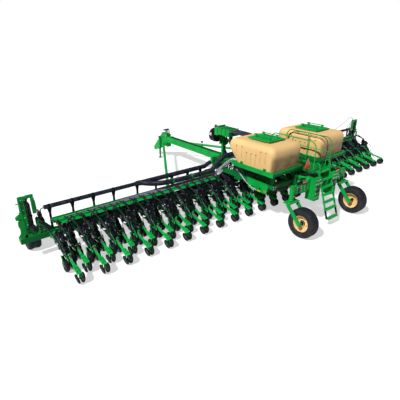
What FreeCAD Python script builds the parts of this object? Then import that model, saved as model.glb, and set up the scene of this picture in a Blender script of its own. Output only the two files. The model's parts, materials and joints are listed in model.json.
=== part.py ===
"""Towed row-crop planter in its field position: a centre frame on tyres with two seed hoppers, two wings
that fold forward, 47 row units, a telescoping tongue with draft links, and caster wheels at the rear.

Millimetres. +X is to the right, +Y is the way it travels and Z is up from the floor. While it is built, Y is
measured from the toolbar's centreline. Every piece is then shifted so that the origin is at the middle of the
footprint. Pieces are drawn for the right-hand side, and the left-hand ones are their mirror images.
"""

import math
import os

import FreeCAD
import Part

V = FreeCAD.Vector
UP = V(0, 0, 1)
RIGHT = V(1, 0, 0)
FORWARD = V(0, 1, 0)

# Clearances
PIN_GAP = 0.5
MOVING_GAP = 6.0
FLOOR_GAP = 15.0

# Rows: long units stand at odd half pitches, short units halfway between them
ROW_PITCH = 762.0
WING_ROWS = 10
CENTRE_ROWS = 2
STAGGER = 400.0

# Toolbar
BAR_DEPTH = 240.0
BAR_HEIGHT = 180.0
BAR_BOTTOM = 620.0
BAR_OVERHANG = 937.0
BAR_TOP = BAR_BOTTOM + BAR_HEIGHT
BAR_REAR = -BAR_DEPTH / 2
BAR_FRONT = BAR_DEPTH / 2
WING_END = (CENTRE_ROWS + WING_ROWS - 0.5) * ROW_PITCH + BAR_OVERHANG

# Wing hinge, at the gap between the centre's last short unit and the wing's first long unit
HINGE_X = (CENTRE_ROWS + 0.5) * ROW_PITCH - 175.0
HINGE_FORWARD = 122.5
HINGE_Y = BAR_FRONT + HINGE_FORWARD
HINGE_KNUCKLE_R = 74.0
HINGE_PIN_R = 32.0
HINGE_PLATE = 30.0
BAR_GAP = 10.0

# Row unit
UNIT_PLATE = 52.0
UNIT_HALF = 90.0
ARM_LENGTH = 420.0
ARM_THICK = 12.0
ARM_DEEP = 50.0
BODY_TOP = 840.0
OPENER_Y = 800.0
OPENER_R = 190.0
GAUGE_R = 205.0
GAUGE_WIDTH = 100.0
GAUGE_INNER = 60.0
GAUGE_Y = 850.0
CLOSING_R = 155.0
CLOSING_WIDTH = 26.0
CLOSING_Y = 1640.0
METER_R = 150.0
METER_HALF = 60.0

# Tyred wheels
CASTER_R = 540.0
CASTER_WIDTH = 400.0
CASTER_RIM_R = 295.0
MAIN_R = 480.0
MAIN_WIDTH = 330.0
MAIN_RIM_R = 240.0
WING_R = 400.0
WING_WIDTH = 420.0
WING_RIM_R = 200.0
AXLE_R = 30.0

# Main frame
BEAM_X = 1790.0
BEAM_WIDE = 120.0
BEAM_LOW = 1400.0
BEAM_HIGH = 1570.0
FRAME_REAR = -3150.0
CROSS_TUBE = 150.0
MIDDLE_CROSS_Y = -1690.0
MIDDLE_CROSS_DEEP = 120.0
STRUT_X = 570.0
STRUT_WIDE = 110.0
STRUT_TOP = BEAM_HIGH - 20
FRONT_CROSS_Y = 1380.0
FRONT_CROSS_HALF = 800.0
FRONT_CROSS_TOP = 1370.0

# Hoppers
HOPPER_X = 1425.0
HOPPER_WIDE = 1650.0
HOPPER_REAR = -3460.0
HOPPER_FRONT = -1240.0
SLOPE_RUN = 400.0
SLOPE_RISE = 450.0
FOOT_FRONT = HOPPER_FRONT - SLOPE_RUN
THROAT_Y = (HOPPER_REAR + FOOT_FRONT) / 2
HOPPER_FLOOR = 2200.0
HOPPER_TOP = 3050.0
HOPPER_WALL = 14.0
HOPPER_ROUND = 140.0
CONE_BOTTOM = 1760.0
CONE_THROAT = 360.0
SEED_BOX_HIGH = 340.0
RAIL_HIGH = 150.0
RAIL_WIDE = 70.0
RAIL_FRONT = -1600.0
RAIL_REAR = -3530.0
LID_X = 1400.0
LID_Y = -2380.0
LID_WIDE = 880.0
LID_LONG = 1060.0
LID_THICK = 30.0
COLLAR_HIGH = 34.0

# Walkway, rails and ladder
DECK_Z = 1990.0
DECK_HALF = 520.0
DECK_REAR = -3980.0
DECK_FRONT = -1660.0
RAIL_TOP = 3100.0
RAIL_R = 19.0
LADDER_HALF = 330.0
LADDER_FOOT_Y = -4640.0
LADDER_HEAD_Y = -4060.0
LADDER_FOOT_Z = 320.0
STRAP_TOP_Z = 620.0

# Casters at the rear
CASTER_X = 1620.0
CASTER_Y = -3910.0
CASTER_TRAIL = 600.0
KINGPIN_R = 42.0
HOUSING_R = 85.0
LIFT_ARM_TOP = 1690.0
LIFT_ARM_LOW = 1400.0
LIFT_BLOCK_INNER = 362.0
LIFT_BLOCK_OUTER = 680.0
LIFT_BLOCK_REAR = -4220.0
LIFT_BLOCK_TOP = 1850.0
LIFT_BLOCK_LOW = 1000.0
LIFT_PLATE = 40.0
LIFT_CYLINDER_R = 42.0
CROWN_GAP = 45.0
CROWN_THICK = 45.0
HOUSING_LOW = 2 * CASTER_R + CROWN_GAP + CROWN_THICK + MOVING_GAP
HOUSING_HIGH = LIFT_ARM_TOP + 8 - HOUSING_LOW
LEG_SIZE = 90.0

# Tongue, hitch and jack
TONGUE_HALF = 150.0
TONGUE_TOP = 1350.0
TONGUE_DEEP = 320.0
TONGUE_WALL = 14.0
SLEEVE_FRONT = 5950.0
HEAD_Y = 6080.0
INNER_REAR = 1900.0
HITCH_PIN_Y = 7640.0
HITCH_PIN_Z = 390.0
HITCH_BORE_R = 26.0
HITCH_EAR = 32.0
HITCH_GAP = 90.0
JACK_X = -245.0
JACK_Y = 6700.0
JACK_TUBE = 96.0
JACK_LEG = 76.0

# Draft links, from the hitch head to each wing
LINK_WING_X = 4000.0
LINK_WING_Y = BAR_FRONT + 182.5
LINK_HEAD_X = 340.0
LINK_HEAD_Y = 6180.0
LINK_Z = 790.0
LINK_HEAD_Z = 990.0
LINK_R = 65.0
LINK_PIN_R = 25.0
LUG_THICK = 24.0

# Wing fittings
MANIFOLD_Z = 1600.0
MANIFOLD_R = 75.0
TRUNK_R = 95.0
TRUNK_OUTER_X = 5500.0
MANIFOLD_INNER_X = 2350.0
SUPPLY_R = 98.0
SUPPLY_Y = -300.0
SUPPLY_Z = 1450.0
SUPPLY_INNER_X = 2500.0
POST_PITCH = 2 * ROW_PITCH
POST_WIDE = 50.0
TRAY_Y = -310.0
TRAY_WIDE = 320.0
TRAY_HIGH = 60.0
TRAY_Z = 1210.0
TRAY_INNER_X = 2080.0
WING_WHEEL_X = WING_END - 460.0
WING_WHEEL_Y = BAR_FRONT + 132.5 + WING_R

# Row marker, folded upright at each wing tip
MARKER_X = WING_END - 250.0
MARKER_PIVOT_Z = 1000.0
MARKER_TOP_Z = 2120.0
MARKER_SPREAD = 320.0
MARKER_BAR = 110.0
BOOM_LONG = 620.0
MARKER_DISC_R = 130.0
MARKER_DISC_OUT = 60.0
MARKER_CAMBER = 35.0

# Fan
FAN_X = -330.0
FAN_R = 310.0
FAN_Z = 2330.0
FAN_DEEP = 330.0
FAN_BACK_Y = FRONT_CROSS_Y + 60
FAN_PLATE_Z = 1900.0
FAN_PLATE_TOP = 2790.0
FAN_PLATE_INNER = -270.0
FAN_PLATE_OUTER = 70.0
PYLON = 90.0
PYLON_X = -100.0
COOLER_X = 170.0
COOLER_Z = 1960.0
COOLER_R = 175.0
GAUGE_DISC_X = -500.0
GAUGE_DISC_R = 70.0
AIR_BOX_REAR = 400.0
AIR_BOX_FRONT = 1200.0
AIR_BOX_HALF = 290.0
AIR_BOX_LOW = 2470.0
AIR_BOX_TOP = 2770.0
HOSE_R = 40.0
HOSE_PITCH = 92.0
HOSE_TOP_Z = 2700.0
HOSE_DROP_Y = -560.0
HOSE_FOOT_Y = -980.0
HOSE_TURN_Y = -1220.0
HOSE_SLANT = 0.25
DUCT_R = 98.0
DUCT_HALF = 1150.0
DUCT_Y = -200.0
DUCT_Z = 1920.0

FRONT_END = HITCH_PIN_Y + 75.0
REAR_END = CASTER_Y - CASTER_TRAIL - CASTER_R
TO_ROW_FRAME = V(0, -(FRONT_END + REAR_END) / 2, 0)


def block(x0, x1, y0, y1, z0, z1):
    return Part.makeBox(x1 - x0, y1 - y0, z1 - z0, V(x0, y0, z0))


def rod(start, end, radius):
    along = end - start
    return Part.makeCylinder(radius, along.Length, start, along)


def beam(start, end, width, height, up=UP):
    """A bar of rectangular section from start to end; height is measured towards up."""
    along = (end - start).normalize()
    side = up.cross(along).normalize()
    top = along.cross(side)
    bar = Part.makeBox((end - start).Length, width, height, V(0, -width / 2, -height / 2))
    turn = FreeCAD.Matrix(
        along.x, side.x, top.x, start.x,
        along.y, side.y, top.y, start.y,
        along.z, side.z, top.z, start.z,
        0, 0, 0, 1,
    )
    bar.Placement = FreeCAD.Placement(turn)
    return bar


def prism(points, axis, low, high):
    """A flat outline pulled along an axis: points are (y, z) for "x", (x, z) for "y" and (x, y) for "z"."""
    place = {
        "x": lambda a, b: V(low, a, b),
        "y": lambda a, b: V(a, low, b),
        "z": lambda a, b: V(a, b, low),
    }[axis]
    pull = {"x": RIGHT, "y": FORWARD, "z": UP}[axis]
    corners = [place(a, b) for a, b in points]
    face = Part.Face(Part.makePolygon(corners + corners[:1]))
    return face.extrude(pull * (high - low))


def joined(shapes):
    """One solid from pieces that touch or overlap."""
    whole = shapes[0].fuse(shapes[1:]) if len(shapes) > 1 else shapes[0]
    return whole.removeSplitter()


def mirrored(shape):
    return shape.mirror(V(0, 0, 0), RIGHT)


def both_sides(shapes):
    return shapes + [mirrored(s) for s in shapes]


def hollow_tube(x0, x1, y0, y1, z0, z1, wall, axis):
    """A box section, open at both ends along axis."""
    grow = {"x": (0, wall, wall), "y": (wall, 0, wall)}[axis]
    inside = block(x0 + grow[0], x1 - grow[0], y0 + grow[1], y1 - grow[1], z0 + grow[2], z1 - grow[2])
    return block(x0, x1, y0, y1, z0, z1).cut(inside)


def bent_tube(points, radius, share=0.42):
    """A round tube along straight runs joined by tangent arcs, each as large as its two runs allow."""
    edges = []
    last = points[0]
    for before, corner, after in zip(points, points[1:], points[2:]):
        back = (before - corner).normalize()
        ahead = (after - corner).normalize()
        cut = share * min((before - corner).Length, (after - corner).Length)
        start = corner + back * cut
        end = corner + ahead * cut
        half_turn = (math.pi - back.getAngle(ahead)) / 2
        bend = cut / math.tan(half_turn)
        centre = corner + (back + ahead).normalize() * (bend / math.cos(half_turn))
        middle = centre + (corner - centre).normalize() * bend
        edges.append(Part.LineSegment(last, start).toShape())
        edges.append(Part.Arc(start, middle, end).toShape())
        last = end
    edges.append(Part.LineSegment(last, points[-1]).toShape())
    ring = Part.Wire(Part.makeCircle(radius, points[0], points[1] - points[0]))
    return Part.Wire(edges).makePipeShell([ring], True, False)


def tyre_and_rim(centre, radius, rim_radius, width, bore):
    """A tyre and its dished rim, turning about an axis along X through centre."""
    half = width / 2
    shoulder = radius - 0.1 * (radius - rim_radius)
    profile = [
        (-0.80 * half, rim_radius),
        (-half, rim_radius + 0.40 * (radius - rim_radius)),
        (-0.97 * half, shoulder - 0.16 * (radius - rim_radius)),
        (-0.84 * half, shoulder),
        (-0.60 * half, radius - 4),
        (0, radius),
        (0.60 * half, radius - 4),
        (0.84 * half, shoulder),
        (0.97 * half, shoulder - 0.16 * (radius - rim_radius)),
        (half, rim_radius + 0.40 * (radius - rim_radius)),
        (0.80 * half, rim_radius),
    ]
    tyre = turned(profile, centre)
    barrel = 12.0
    rim_half = 0.80 * half
    hub_r = bore + 55.0
    rim = joined([
        turned([(-rim_half, rim_radius - barrel), (-rim_half, rim_radius),
                (rim_half, rim_radius), (rim_half, rim_radius - barrel)], centre),
        turned([(-15, hub_r - 10), (-15, rim_radius - barrel / 2),
                (15, rim_radius - barrel / 2), (15, hub_r - 10)], centre),
        turned([(-0.62 * half, bore), (-0.62 * half, hub_r), (0.62 * half, hub_r), (0.62 * half, bore)], centre),
    ])
    return tyre, rim


def turned(profile, centre):
    """A solid turned about the X axis through centre, from (along, radius) points."""
    corners = [V(a, 0, r) for a, r in profile]
    face = Part.Face(Part.makePolygon(corners + corners[:1]))
    ring = face.revolve(V(0, 0, 0), RIGHT, 360)
    ring.translate(centre)
    return ring


def long_unit_xs(first, count):
    return [(first + k + 0.5) * ROW_PITCH for k in range(count)]


def short_unit_xs(first, count):
    return [(first + k) * ROW_PITCH for k in range(count)]


# Row units: "head" is the Y of the plate that a unit's parallel arms start from.


def unit_head(setback):
    return BAR_REAR - UNIT_PLATE - setback


def unit_frame(x, setback):
    """Mounting plate, parallel arms, body plates, gauge-wheel arms and the closing-wheel arm of one row unit."""
    head = unit_head(setback)
    body_half = UNIT_HALF - ARM_THICK
    body_inner = body_half - ARM_THICK
    floor_z = FLOOR_GAP
    gauge_outer = GAUGE_INNER + GAUGE_WIDTH
    gauge_z = GAUGE_R + floor_z
    closing_z = CLOSING_R + floor_z
    plate_low = BAR_BOTTOM - 60
    plate_high = BAR_TOP + 50
    parts = [block(-UNIT_HALF, UNIT_HALF, BAR_REAR - UNIT_PLATE, BAR_REAR, plate_low, plate_high)]
    if setback:
        parts.append(block(-UNIT_HALF, UNIT_HALF, head, head + UNIT_PLATE, plate_low, plate_high))
    for side in (-1, 1):
        outer = sorted((side * UNIT_HALF, side * body_half))
        inner = sorted((side * body_half, side * body_inner))
        if setback:
            parts.append(block(*inner, head, BAR_REAR, plate_low + 60, plate_high - 30))
        for arm_z in (BAR_TOP - 10, BAR_BOTTOM - 20):
            parts.append(block(*outer, head - ARM_LENGTH, head, arm_z - ARM_DEEP / 2, arm_z + ARM_DEEP / 2))
        body = [(head - 370, BODY_TOP), (head - 370, 565), (head - 640, 445), (head - 900, 445),
                (head - 960, 560), (head - 800, 690), (head - 650, BODY_TOP)]
        parts.append(prism(body, "x", *inner))
        arm_face = side * (gauge_outer + 8)
        arm_low, arm_high = sorted((arm_face, arm_face + side * ARM_THICK))
        parts.append(prism([(head - 720, 540), (head - 720, 490), (head - GAUGE_Y + 30, gauge_z - 20),
                            (head - GAUGE_Y - 30, gauge_z - 20), (head - GAUGE_Y - 30, gauge_z + 30),
                            (head - 790, 540)], "x", arm_low, arm_high))
        parts.append(rod(V(side * body_inner, head - 755, 512), V(arm_face + side * ARM_THICK, head - 755, 512), 16))
        parts.append(rod(V(side * gauge_outer, head - GAUGE_Y, gauge_z), V(arm_face, head - GAUGE_Y, gauge_z), 20))
    parts.append(block(-body_inner, body_inner, head - 385, head - 370, 565, BODY_TOP))
    parts.append(block(-body_inner, body_inner, head - 915, head - 895, 455, 555))
    knee = V(0, head - 1230, 430)
    tail = V(0, head - CLOSING_Y - 60, 345)
    parts.append(beam(V(0, head - 900, 505), knee, 60, 70))
    parts.append(beam(knee + V(0, 25, 4), tail, 120, 50))
    parts.append(block(-12, 12, head - CLOSING_Y - 30, head - CLOSING_Y + 30, closing_z - 20, 350))
    parts.append(rod(V(-45, head - CLOSING_Y, closing_z), V(45, head - CLOSING_Y, closing_z), 14))
    unit = joined(parts)
    unit.translate(V(x, 0, 0))
    return unit


def unit_meter(x, setback):
    """Seed meter housing with its small hopper, standing on the body plates."""
    head = unit_head(setback)
    centre = V(0, head - 590, BODY_TOP + METER_R)
    meter = joined([
        rod(centre - RIGHT * METER_HALF, centre + RIGHT * METER_HALF, METER_R),
        block(-METER_HALF, METER_HALF, head - 640, head - 470, BODY_TOP, BODY_TOP + 90),
        block(-METER_HALF - 15, METER_HALF + 15, head - 560, head - 390, BODY_TOP + 120, BODY_TOP + 330),
    ])
    meter.translate(V(x, 0, 0))
    return meter


def unit_opener(x, setback):
    """Double-disc opener: two discs that meet at the front, their hub and the shank that holds them."""
    head = unit_head(setback)
    centre = V(0, head - OPENER_Y, OPENER_R + FLOOR_GAP)
    parts = [
        rod(centre - RIGHT * 38, centre + RIGHT * 38, 34),
        block(-8, 8, centre.y - 55, centre.y + 55, centre.z, 445),
    ]
    for side in (-1, 1):
        disc = rod(centre + RIGHT * side * 20 - RIGHT * 2, centre + RIGHT * side * 20 + RIGHT * 2, OPENER_R)
        disc.rotate(centre + RIGHT * side * 20, UP, side * 4.5)
        parts.append(disc)
    opener = joined(parts)
    opener.translate(V(x, 0, 0))
    return opener


def unit_wheels(x, setback):
    """Two gauge wheels and two cambered closing wheels, each its own solid."""
    head = unit_head(setback)
    gauge = V(0, head - GAUGE_Y, GAUGE_R + FLOOR_GAP)
    closing = V(0, head - CLOSING_Y, CLOSING_R + FLOOR_GAP)
    wheels = []
    for side in (-1, 1):
        wheel = rod(gauge + RIGHT * side * GAUGE_INNER, gauge + RIGHT * side * (GAUGE_INNER + GAUGE_WIDTH), GAUGE_R)
        wheel = wheel.makeFillet(18, [e for e in wheel.Edges if len(e.Vertexes) == 1])
        wheels.append(wheel)
        near = closing + RIGHT * side * 78
        press = rod(near - RIGHT * CLOSING_WIDTH / 2, near + RIGHT * CLOSING_WIDTH / 2, CLOSING_R - 3)
        press.rotate(near, FORWARD, side * 11)
        boss = rod(closing + RIGHT * side * 45, closing + RIGHT * side * 84, 30)
        wheels.append(joined([press, boss]))
    for wheel in wheels:
        wheel.translate(V(x, 0, 0))
    return wheels


def row_nodes(prefix, long_xs, short_xs):
    """The four kinds of row-unit piece for one stretch of toolbar."""
    places = [(x, STAGGER) for x in long_xs] + [(x, 0.0) for x in short_xs]
    return {
        prefix + "_row_frames": [unit_frame(x, s) for x, s in places],
        prefix + "_seed_meters": [unit_meter(x, s) for x, s in places],
        prefix + "_opener_discs": [unit_opener(x, s) for x, s in places],
        prefix + "_row_wheels": [w for x, s in places for w in unit_wheels(x, s)],
    }


# Centre frame


def centre_toolbar():
    """The toolbar across the centre, with the hinge plates at its ends and the main wheels' arms."""
    half = HINGE_X - BAR_GAP / 2
    parts = [block(-half, half, BAR_REAR, BAR_FRONT, BAR_BOTTOM, BAR_TOP)]
    for shape in hinge_plates():
        parts += [shape, mirrored(shape)]
    for shape in main_wheel_arm():
        parts += [shape, mirrored(shape)]
    return joined(parts)


def hinge_plates():
    """Plates above and below the wing's knuckle, with the hinge pin through them."""
    inner = HINGE_X - 330
    outer = HINGE_X + HINGE_KNUCKLE_R
    front = HINGE_Y + HINGE_KNUCKLE_R
    shapes = []
    for low in (BAR_TOP + MOVING_GAP, BAR_BOTTOM - MOVING_GAP - HINGE_PLATE):
        shapes.append(prism([(inner, 0), (HINGE_X - 20, 0), (outer, HINGE_Y - 40), (outer, front),
                             (HINGE_X - 60, front), (inner, BAR_FRONT)], "z", low, low + HINGE_PLATE))
    shapes.append(block(inner, HINGE_X - 60, 0, BAR_FRONT, BAR_TOP, BAR_TOP + MOVING_GAP))
    shapes.append(block(inner, HINGE_X - 60, 0, BAR_FRONT, BAR_BOTTOM - MOVING_GAP, BAR_BOTTOM))
    pin_reach = MOVING_GAP + HINGE_PLATE + 20
    shapes.append(rod(V(HINGE_X, HINGE_Y, BAR_BOTTOM - pin_reach), V(HINGE_X, HINGE_Y, BAR_TOP + pin_reach),
                      HINGE_PIN_R))
    return shapes


def main_wheel_x():
    return 1175.0


def main_wheel_y():
    return BAR_FRONT + 412.5 + MAIN_R


def main_wheel_arm():
    """Arm from the toolbar to a main wheel, on the wheel's inner side, and its stub axle."""
    x = main_wheel_x()
    inner_face = x - MAIN_WIDTH / 2 - 30
    axle = V(0, main_wheel_y(), MAIN_R)
    arm = prism([(BAR_FRONT - 20, BAR_TOP - 20), (BAR_FRONT - 20, BAR_BOTTOM + 20), (axle.y - 60, axle.z - 55),
                 (axle.y + 55, axle.z - 55), (axle.y + 55, axle.z + 55), (axle.y - 60, axle.z + 75)],
                "x", inner_face - 90, inner_face)
    stub = rod(V(inner_face - 10, axle.y, axle.z), V(x + 0.62 * MAIN_WIDTH / 2, axle.y, axle.z), AXLE_R)
    return [arm, stub]


def main_frame():
    """Side beams, cross tubes and the struts that tie them to the toolbar and the tongue."""
    low, high = BEAM_LOW, BEAM_HIGH
    cross_low = high - CROSS_TUBE
    strut_half = STRUT_WIDE / 2
    parts = [
        block(-BEAM_X, BEAM_X, FRAME_REAR - CROSS_TUBE / 2, FRAME_REAR + CROSS_TUBE / 2, cross_low, high),
        block(-BEAM_X, BEAM_X, -60, 90, cross_low, high),
        block(-BEAM_X, BEAM_X, MIDDLE_CROSS_Y - MIDDLE_CROSS_DEEP / 2, MIDDLE_CROSS_Y + MIDDLE_CROSS_DEEP / 2,
              cross_low, high),
    ]
    strut_z = STRUT_TOP - strut_half
    half_of_frame = [
        block(BEAM_X - BEAM_WIDE / 2, BEAM_X + BEAM_WIDE / 2, FRAME_REAR - CROSS_TUBE / 2 - 20, 90, low, high),
        block(STRUT_X - strut_half, STRUT_X + strut_half, FRAME_REAR, 60, STRUT_TOP - STRUT_WIDE, STRUT_TOP),
        beam(V(STRUT_X, 30, strut_z), V(STRUT_X, FRONT_CROSS_Y, FRONT_CROSS_TOP - 60), STRUT_WIDE, STRUT_WIDE),
        beam(V(STRUT_X, 20, BAR_TOP - 5), V(STRUT_X, FRONT_CROSS_Y, FRONT_CROSS_TOP - 180), 90, 90),
        block(HINGE_X - 460, HINGE_X - 330, -60, 60, BAR_TOP, cross_low),
        block(STRUT_X - 60, STRUT_X + 60, -60, 60, BAR_TOP, STRUT_TOP - 20),
        *beam_bracket(), *tie_cylinder(),
    ]
    bar = block(-2 * BEAM_X, 2 * BEAM_X, BAR_REAR, BAR_FRONT, BAR_BOTTOM, BAR_TOP)
    return joined(both_sides(half_of_frame) + parts).cut(bar).cut(front_cross())


def beam_bracket():
    """Open box under the side beam, with a round hole in its outer plate."""
    outer = BEAM_X + BEAM_WIDE / 2
    rear, front, low, plate = -2950.0, -2400.0, 1140.0, 16.0
    outline = [(rear, BEAM_LOW + 5), (rear + 60, low), (front - 60, low), (front, BEAM_LOW + 5)]
    hole = rod(V(outer - 40, -2640, 1290), V(outer + 40, -2640, 1290), 62)
    return [
        prism(outline, "x", outer - plate, outer).cut(hole),
        prism(outline, "x", outer - BEAM_WIDE, outer - BEAM_WIDE + plate),
        block(outer - BEAM_WIDE, outer, rear + 60, front - 60, low, low + plate),
    ]


def tie_cylinder():
    """Cylinder that lies along the underside of the rear cross tube, on two lugs."""
    y, z, radius = -3110.0, 1362.0, 42.0
    inner, outer = 340.0, 1520.0
    shapes = [rod(V(inner, y, z), V(outer, y, z), radius)]
    for x in (inner + 20, outer - 20):
        shapes.append(block(x - 15, x + 15, y - 35, y + 35, z - 45, BEAM_HIGH - CROSS_TUBE + 5))
    return shapes


def front_cross():
    """Cross tube ahead of the toolbar, on the struts, which carries the tongue's sleeve and the fan."""
    return block(-FRONT_CROSS_HALF, FRONT_CROSS_HALF, FRONT_CROSS_Y - 70, FRONT_CROSS_Y + 70,
                 TONGUE_TOP - TONGUE_DEEP, FRONT_CROSS_TOP)


def tongue_sleeve():
    """Outer box of the telescoping tongue, its gusset plates and the cross tube that it is welded to."""
    low = TONGUE_TOP - TONGUE_DEEP
    rear = FRONT_CROSS_Y + 70
    sleeve = hollow_tube(-TONGUE_HALF, TONGUE_HALF, rear, SLEEVE_FRONT, low, TONGUE_TOP, TONGUE_WALL, "y")
    parts = [sleeve, front_cross()]
    for side in (-1, 1):
        web = sorted((side * TONGUE_HALF, side * (TONGUE_HALF - TONGUE_WALL)))
        parts.append(prism([(rear, low), (rear + 700, low), (rear + 420, low - 90), (rear, low - 90)], "x", *web))
        wing = [(side * TONGUE_HALF, rear), (side * TONGUE_HALF, rear + 620), (side * 560, rear)]
        parts.append(prism(wing, "z", low + 20, low + 50))
    collar = hollow_tube(-TONGUE_HALF - 14, TONGUE_HALF + 14, SLEEVE_FRONT - 90, SLEEVE_FRONT,
                         low - 14, TONGUE_TOP + 14, 16, "y")
    return joined(parts + [collar])


def hopper_body(inset):
    """The tank's outer shape, made smaller by inset on every side: a box with a sloping front over a cone."""
    x0 = HOPPER_X - HOPPER_WIDE / 2 + inset
    x1 = HOPPER_X + HOPPER_WIDE / 2 - inset
    rear = HOPPER_REAR + inset
    front = HOPPER_FRONT - inset
    high = HOPPER_TOP - inset
    low = HOPPER_FLOOR + inset
    hip = HOPPER_FLOOR + SLOPE_RISE
    outline = [(rear + 20, low), (front - SLOPE_RUN + inset, low), (front, hip), (front, high), (rear, high)]
    tank = prism(outline, "x", x0, x1)
    tank = tank.makeFillet(HOPPER_ROUND - inset, [e for e in tank.Edges if rounded_edge(e, low)])
    edge = RAIL_WIDE + 10
    back = rear - 40 + edge
    nose = FOOT_FRONT - 20 - inset
    mouth = [V(x0 + edge, back, low + 1), V(x1 - edge, back, low + 1),
             V(x1 - edge, nose, low + 1), V(x0 + edge, nose, low + 1)]
    half = CONE_THROAT / 2 - inset
    base = CONE_BOTTOM + inset
    throat = [V(HOPPER_X - half, THROAT_Y - half, base), V(HOPPER_X + half, THROAT_Y - half, base),
              V(HOPPER_X + half, THROAT_Y + half, base), V(HOPPER_X - half, THROAT_Y + half, base)]
    rings = [Part.makePolygon(ring + ring[:1]) for ring in (mouth, throat)]
    return tank.fuse(Part.makeLoft(rings, True, True))


def rounded_edge(edge, floor):
    """True for every edge of the tank but the four round its floor."""
    return max(v.Z for v in edge.Vertexes) > floor + 1


def seed_hopper():
    """Moulded tank with an open mouth and a raised collar under the lid."""
    mouth_x = LID_WIDE / 2 - 60
    mouth_y = LID_LONG / 2 - 60
    shell = hopper_body(0).cut(hopper_body(HOPPER_WALL))
    collar = block(LID_X - mouth_x - 14, LID_X + mouth_x + 14, LID_Y - mouth_y - 14, LID_Y + mouth_y + 14,
                   HOPPER_TOP - HOPPER_WALL, HOPPER_TOP + COLLAR_HIGH)
    opening = block(LID_X - mouth_x, LID_X + mouth_x, LID_Y - mouth_y, LID_Y + mouth_y,
                    HOPPER_TOP - 60, HOPPER_TOP + 60)
    return joined([shell, collar]).cut(opening)


def lid_hinge():
    """The lid turns about an axis along Y at its outer edge."""
    return V(LID_X + LID_WIDE / 2 + 22, LID_Y, HOPPER_TOP + COLLAR_HIGH + MOVING_GAP + LID_THICK / 2)


def hopper_lid():
    """Lid plate with two clamp bars on posts and a hinge tube along its outer edge."""
    low = HOPPER_TOP + COLLAR_HIGH + MOVING_GAP
    high = low + LID_THICK
    x0 = LID_X - LID_WIDE / 2
    x1 = LID_X + LID_WIDE / 2
    y0 = LID_Y - LID_LONG / 2
    y1 = LID_Y + LID_LONG / 2
    hinge = lid_hinge()
    parts = [block(x0, x1, y0, y1, low, high),
             rod(V(hinge.x, y0 + 150, hinge.z), V(hinge.x, y1 - 150, hinge.z), 14),
             block(x1 - 10, hinge.x, y0 + 150, y1 - 150, low + 6, high - 6)]
    for x in (LID_X - 200, LID_X + 220):
        for y in (y0 + 210, y1 - 210):
            parts.append(block(x - 20, x + 20, y - 45, y + 45, high, high + 130))
        parts.append(rod(V(x, y0 + 120, high + 105), V(x, y1 - 120, high + 105), 17))
    return joined(parts)


def hopper_frame():
    """Cradle rails round each tank's foot and the posts and braces that stand on the main frame."""
    rail_top = HOPPER_FLOOR
    rail_low = rail_top - RAIL_HIGH
    x0 = HOPPER_X - HOPPER_WIDE / 2 - 10
    x1 = HOPPER_X + HOPPER_WIDE / 2 + 10
    rear = HOPPER_REAR - 40
    inner_post = 520.0
    parts = [
        block(x1 - RAIL_WIDE, x1, RAIL_REAR, RAIL_FRONT, rail_low, rail_top),
        block(x0, x0 + RAIL_WIDE, rear, FOOT_FRONT + 40, rail_low, rail_top),
        block(x0, x1, rear, rear + RAIL_WIDE, rail_low, rail_top),
        block(x0, x1, FOOT_FRONT - 10, FOOT_FRONT - 10 + RAIL_WIDE - 20, rail_low, rail_top),
    ]
    for y, reach in ((FRAME_REAR, -330), (MIDDLE_CROSS_Y, 90)):
        parts.append(block(BEAM_X - 50, BEAM_X + 50, y - 50, y + 50, BEAM_HIGH, rail_low + 5))
        parts.append(beam(V(BEAM_X, y, BEAM_HIGH + 220), V(x1 - 60, y, rail_low + 20), 70, 50))
        parts.append(block(BEAM_X - 50, x1 - 5, y - 35, y + 35, rail_low, rail_low + 60))
        parts.append(block(inner_post, inner_post + 100, y - 50, y + 50, BEAM_HIGH - 20, rail_low + 5))
        parts.append(block(inner_post, x0 + 20, y - 35, y + 35, rail_low - 60, rail_low + 30))
        parts.append(block(BEAM_X - 35, BEAM_X + 35, *sorted((y, y + reach)), rail_low, rail_low + 60))
    for y in (HOPPER_REAR + 320, FOOT_FRONT - 380):
        parts.append(block(x1 - 10, x1 + 4, y - 60, y + 60, rail_top, rail_top + 90))
    return joined(parts).cut(hopper_body(0)).cut(main_frame())


def seed_box():
    """Air-fed seed box under a tank's throat."""
    half = CONE_THROAT / 2
    low = CONE_BOTTOM - SEED_BOX_HIGH
    shoulder = CONE_BOTTOM - 40
    wide = half + 60
    outer = BEAM_X - BEAM_WIDE / 2 - 15
    return joined([
        block(HOPPER_X - wide, outer, THROAT_Y - wide, THROAT_Y + wide, low, shoulder),
        block(HOPPER_X - half, outer, THROAT_Y - half, THROAT_Y + half, shoulder, CONE_BOTTOM),
    ])


def walkway():
    """Deck between the hoppers, with a kick plate at each side and bearers down to the main frame."""
    bearers = (FRAME_REAR + 160, -1980.0)
    half_of_deck = [block(DECK_HALF - 8, DECK_HALF, DECK_REAR, DECK_FRONT, DECK_Z, DECK_Z + 70),
                    block(430, 500, FRAME_REAR - 40, FRAME_REAR + 40, BEAM_HIGH, DECK_Z - 40),
                    beam(V(465, FRAME_REAR, BEAM_HIGH + 120), V(465, DECK_REAR + 90, DECK_Z - 50), 60, 60)]
    parts = [block(-DECK_HALF, DECK_HALF, DECK_REAR, DECK_FRONT, DECK_Z - 40, DECK_Z)]
    for y in bearers:
        parts.append(block(-DECK_HALF + 20, DECK_HALF - 20, y - 35, y + 35, DECK_Z - 100, DECK_Z - 40))
        half_of_deck.append(block(410, 480, y - 35, y + 35, STRUT_TOP, DECK_Z - 100))
        half_of_deck.append(block(400, STRUT_X + 30, y - 50, y + 50, STRUT_TOP, STRUT_TOP + 20))
    return joined(parts + both_sides(half_of_deck))


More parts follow.
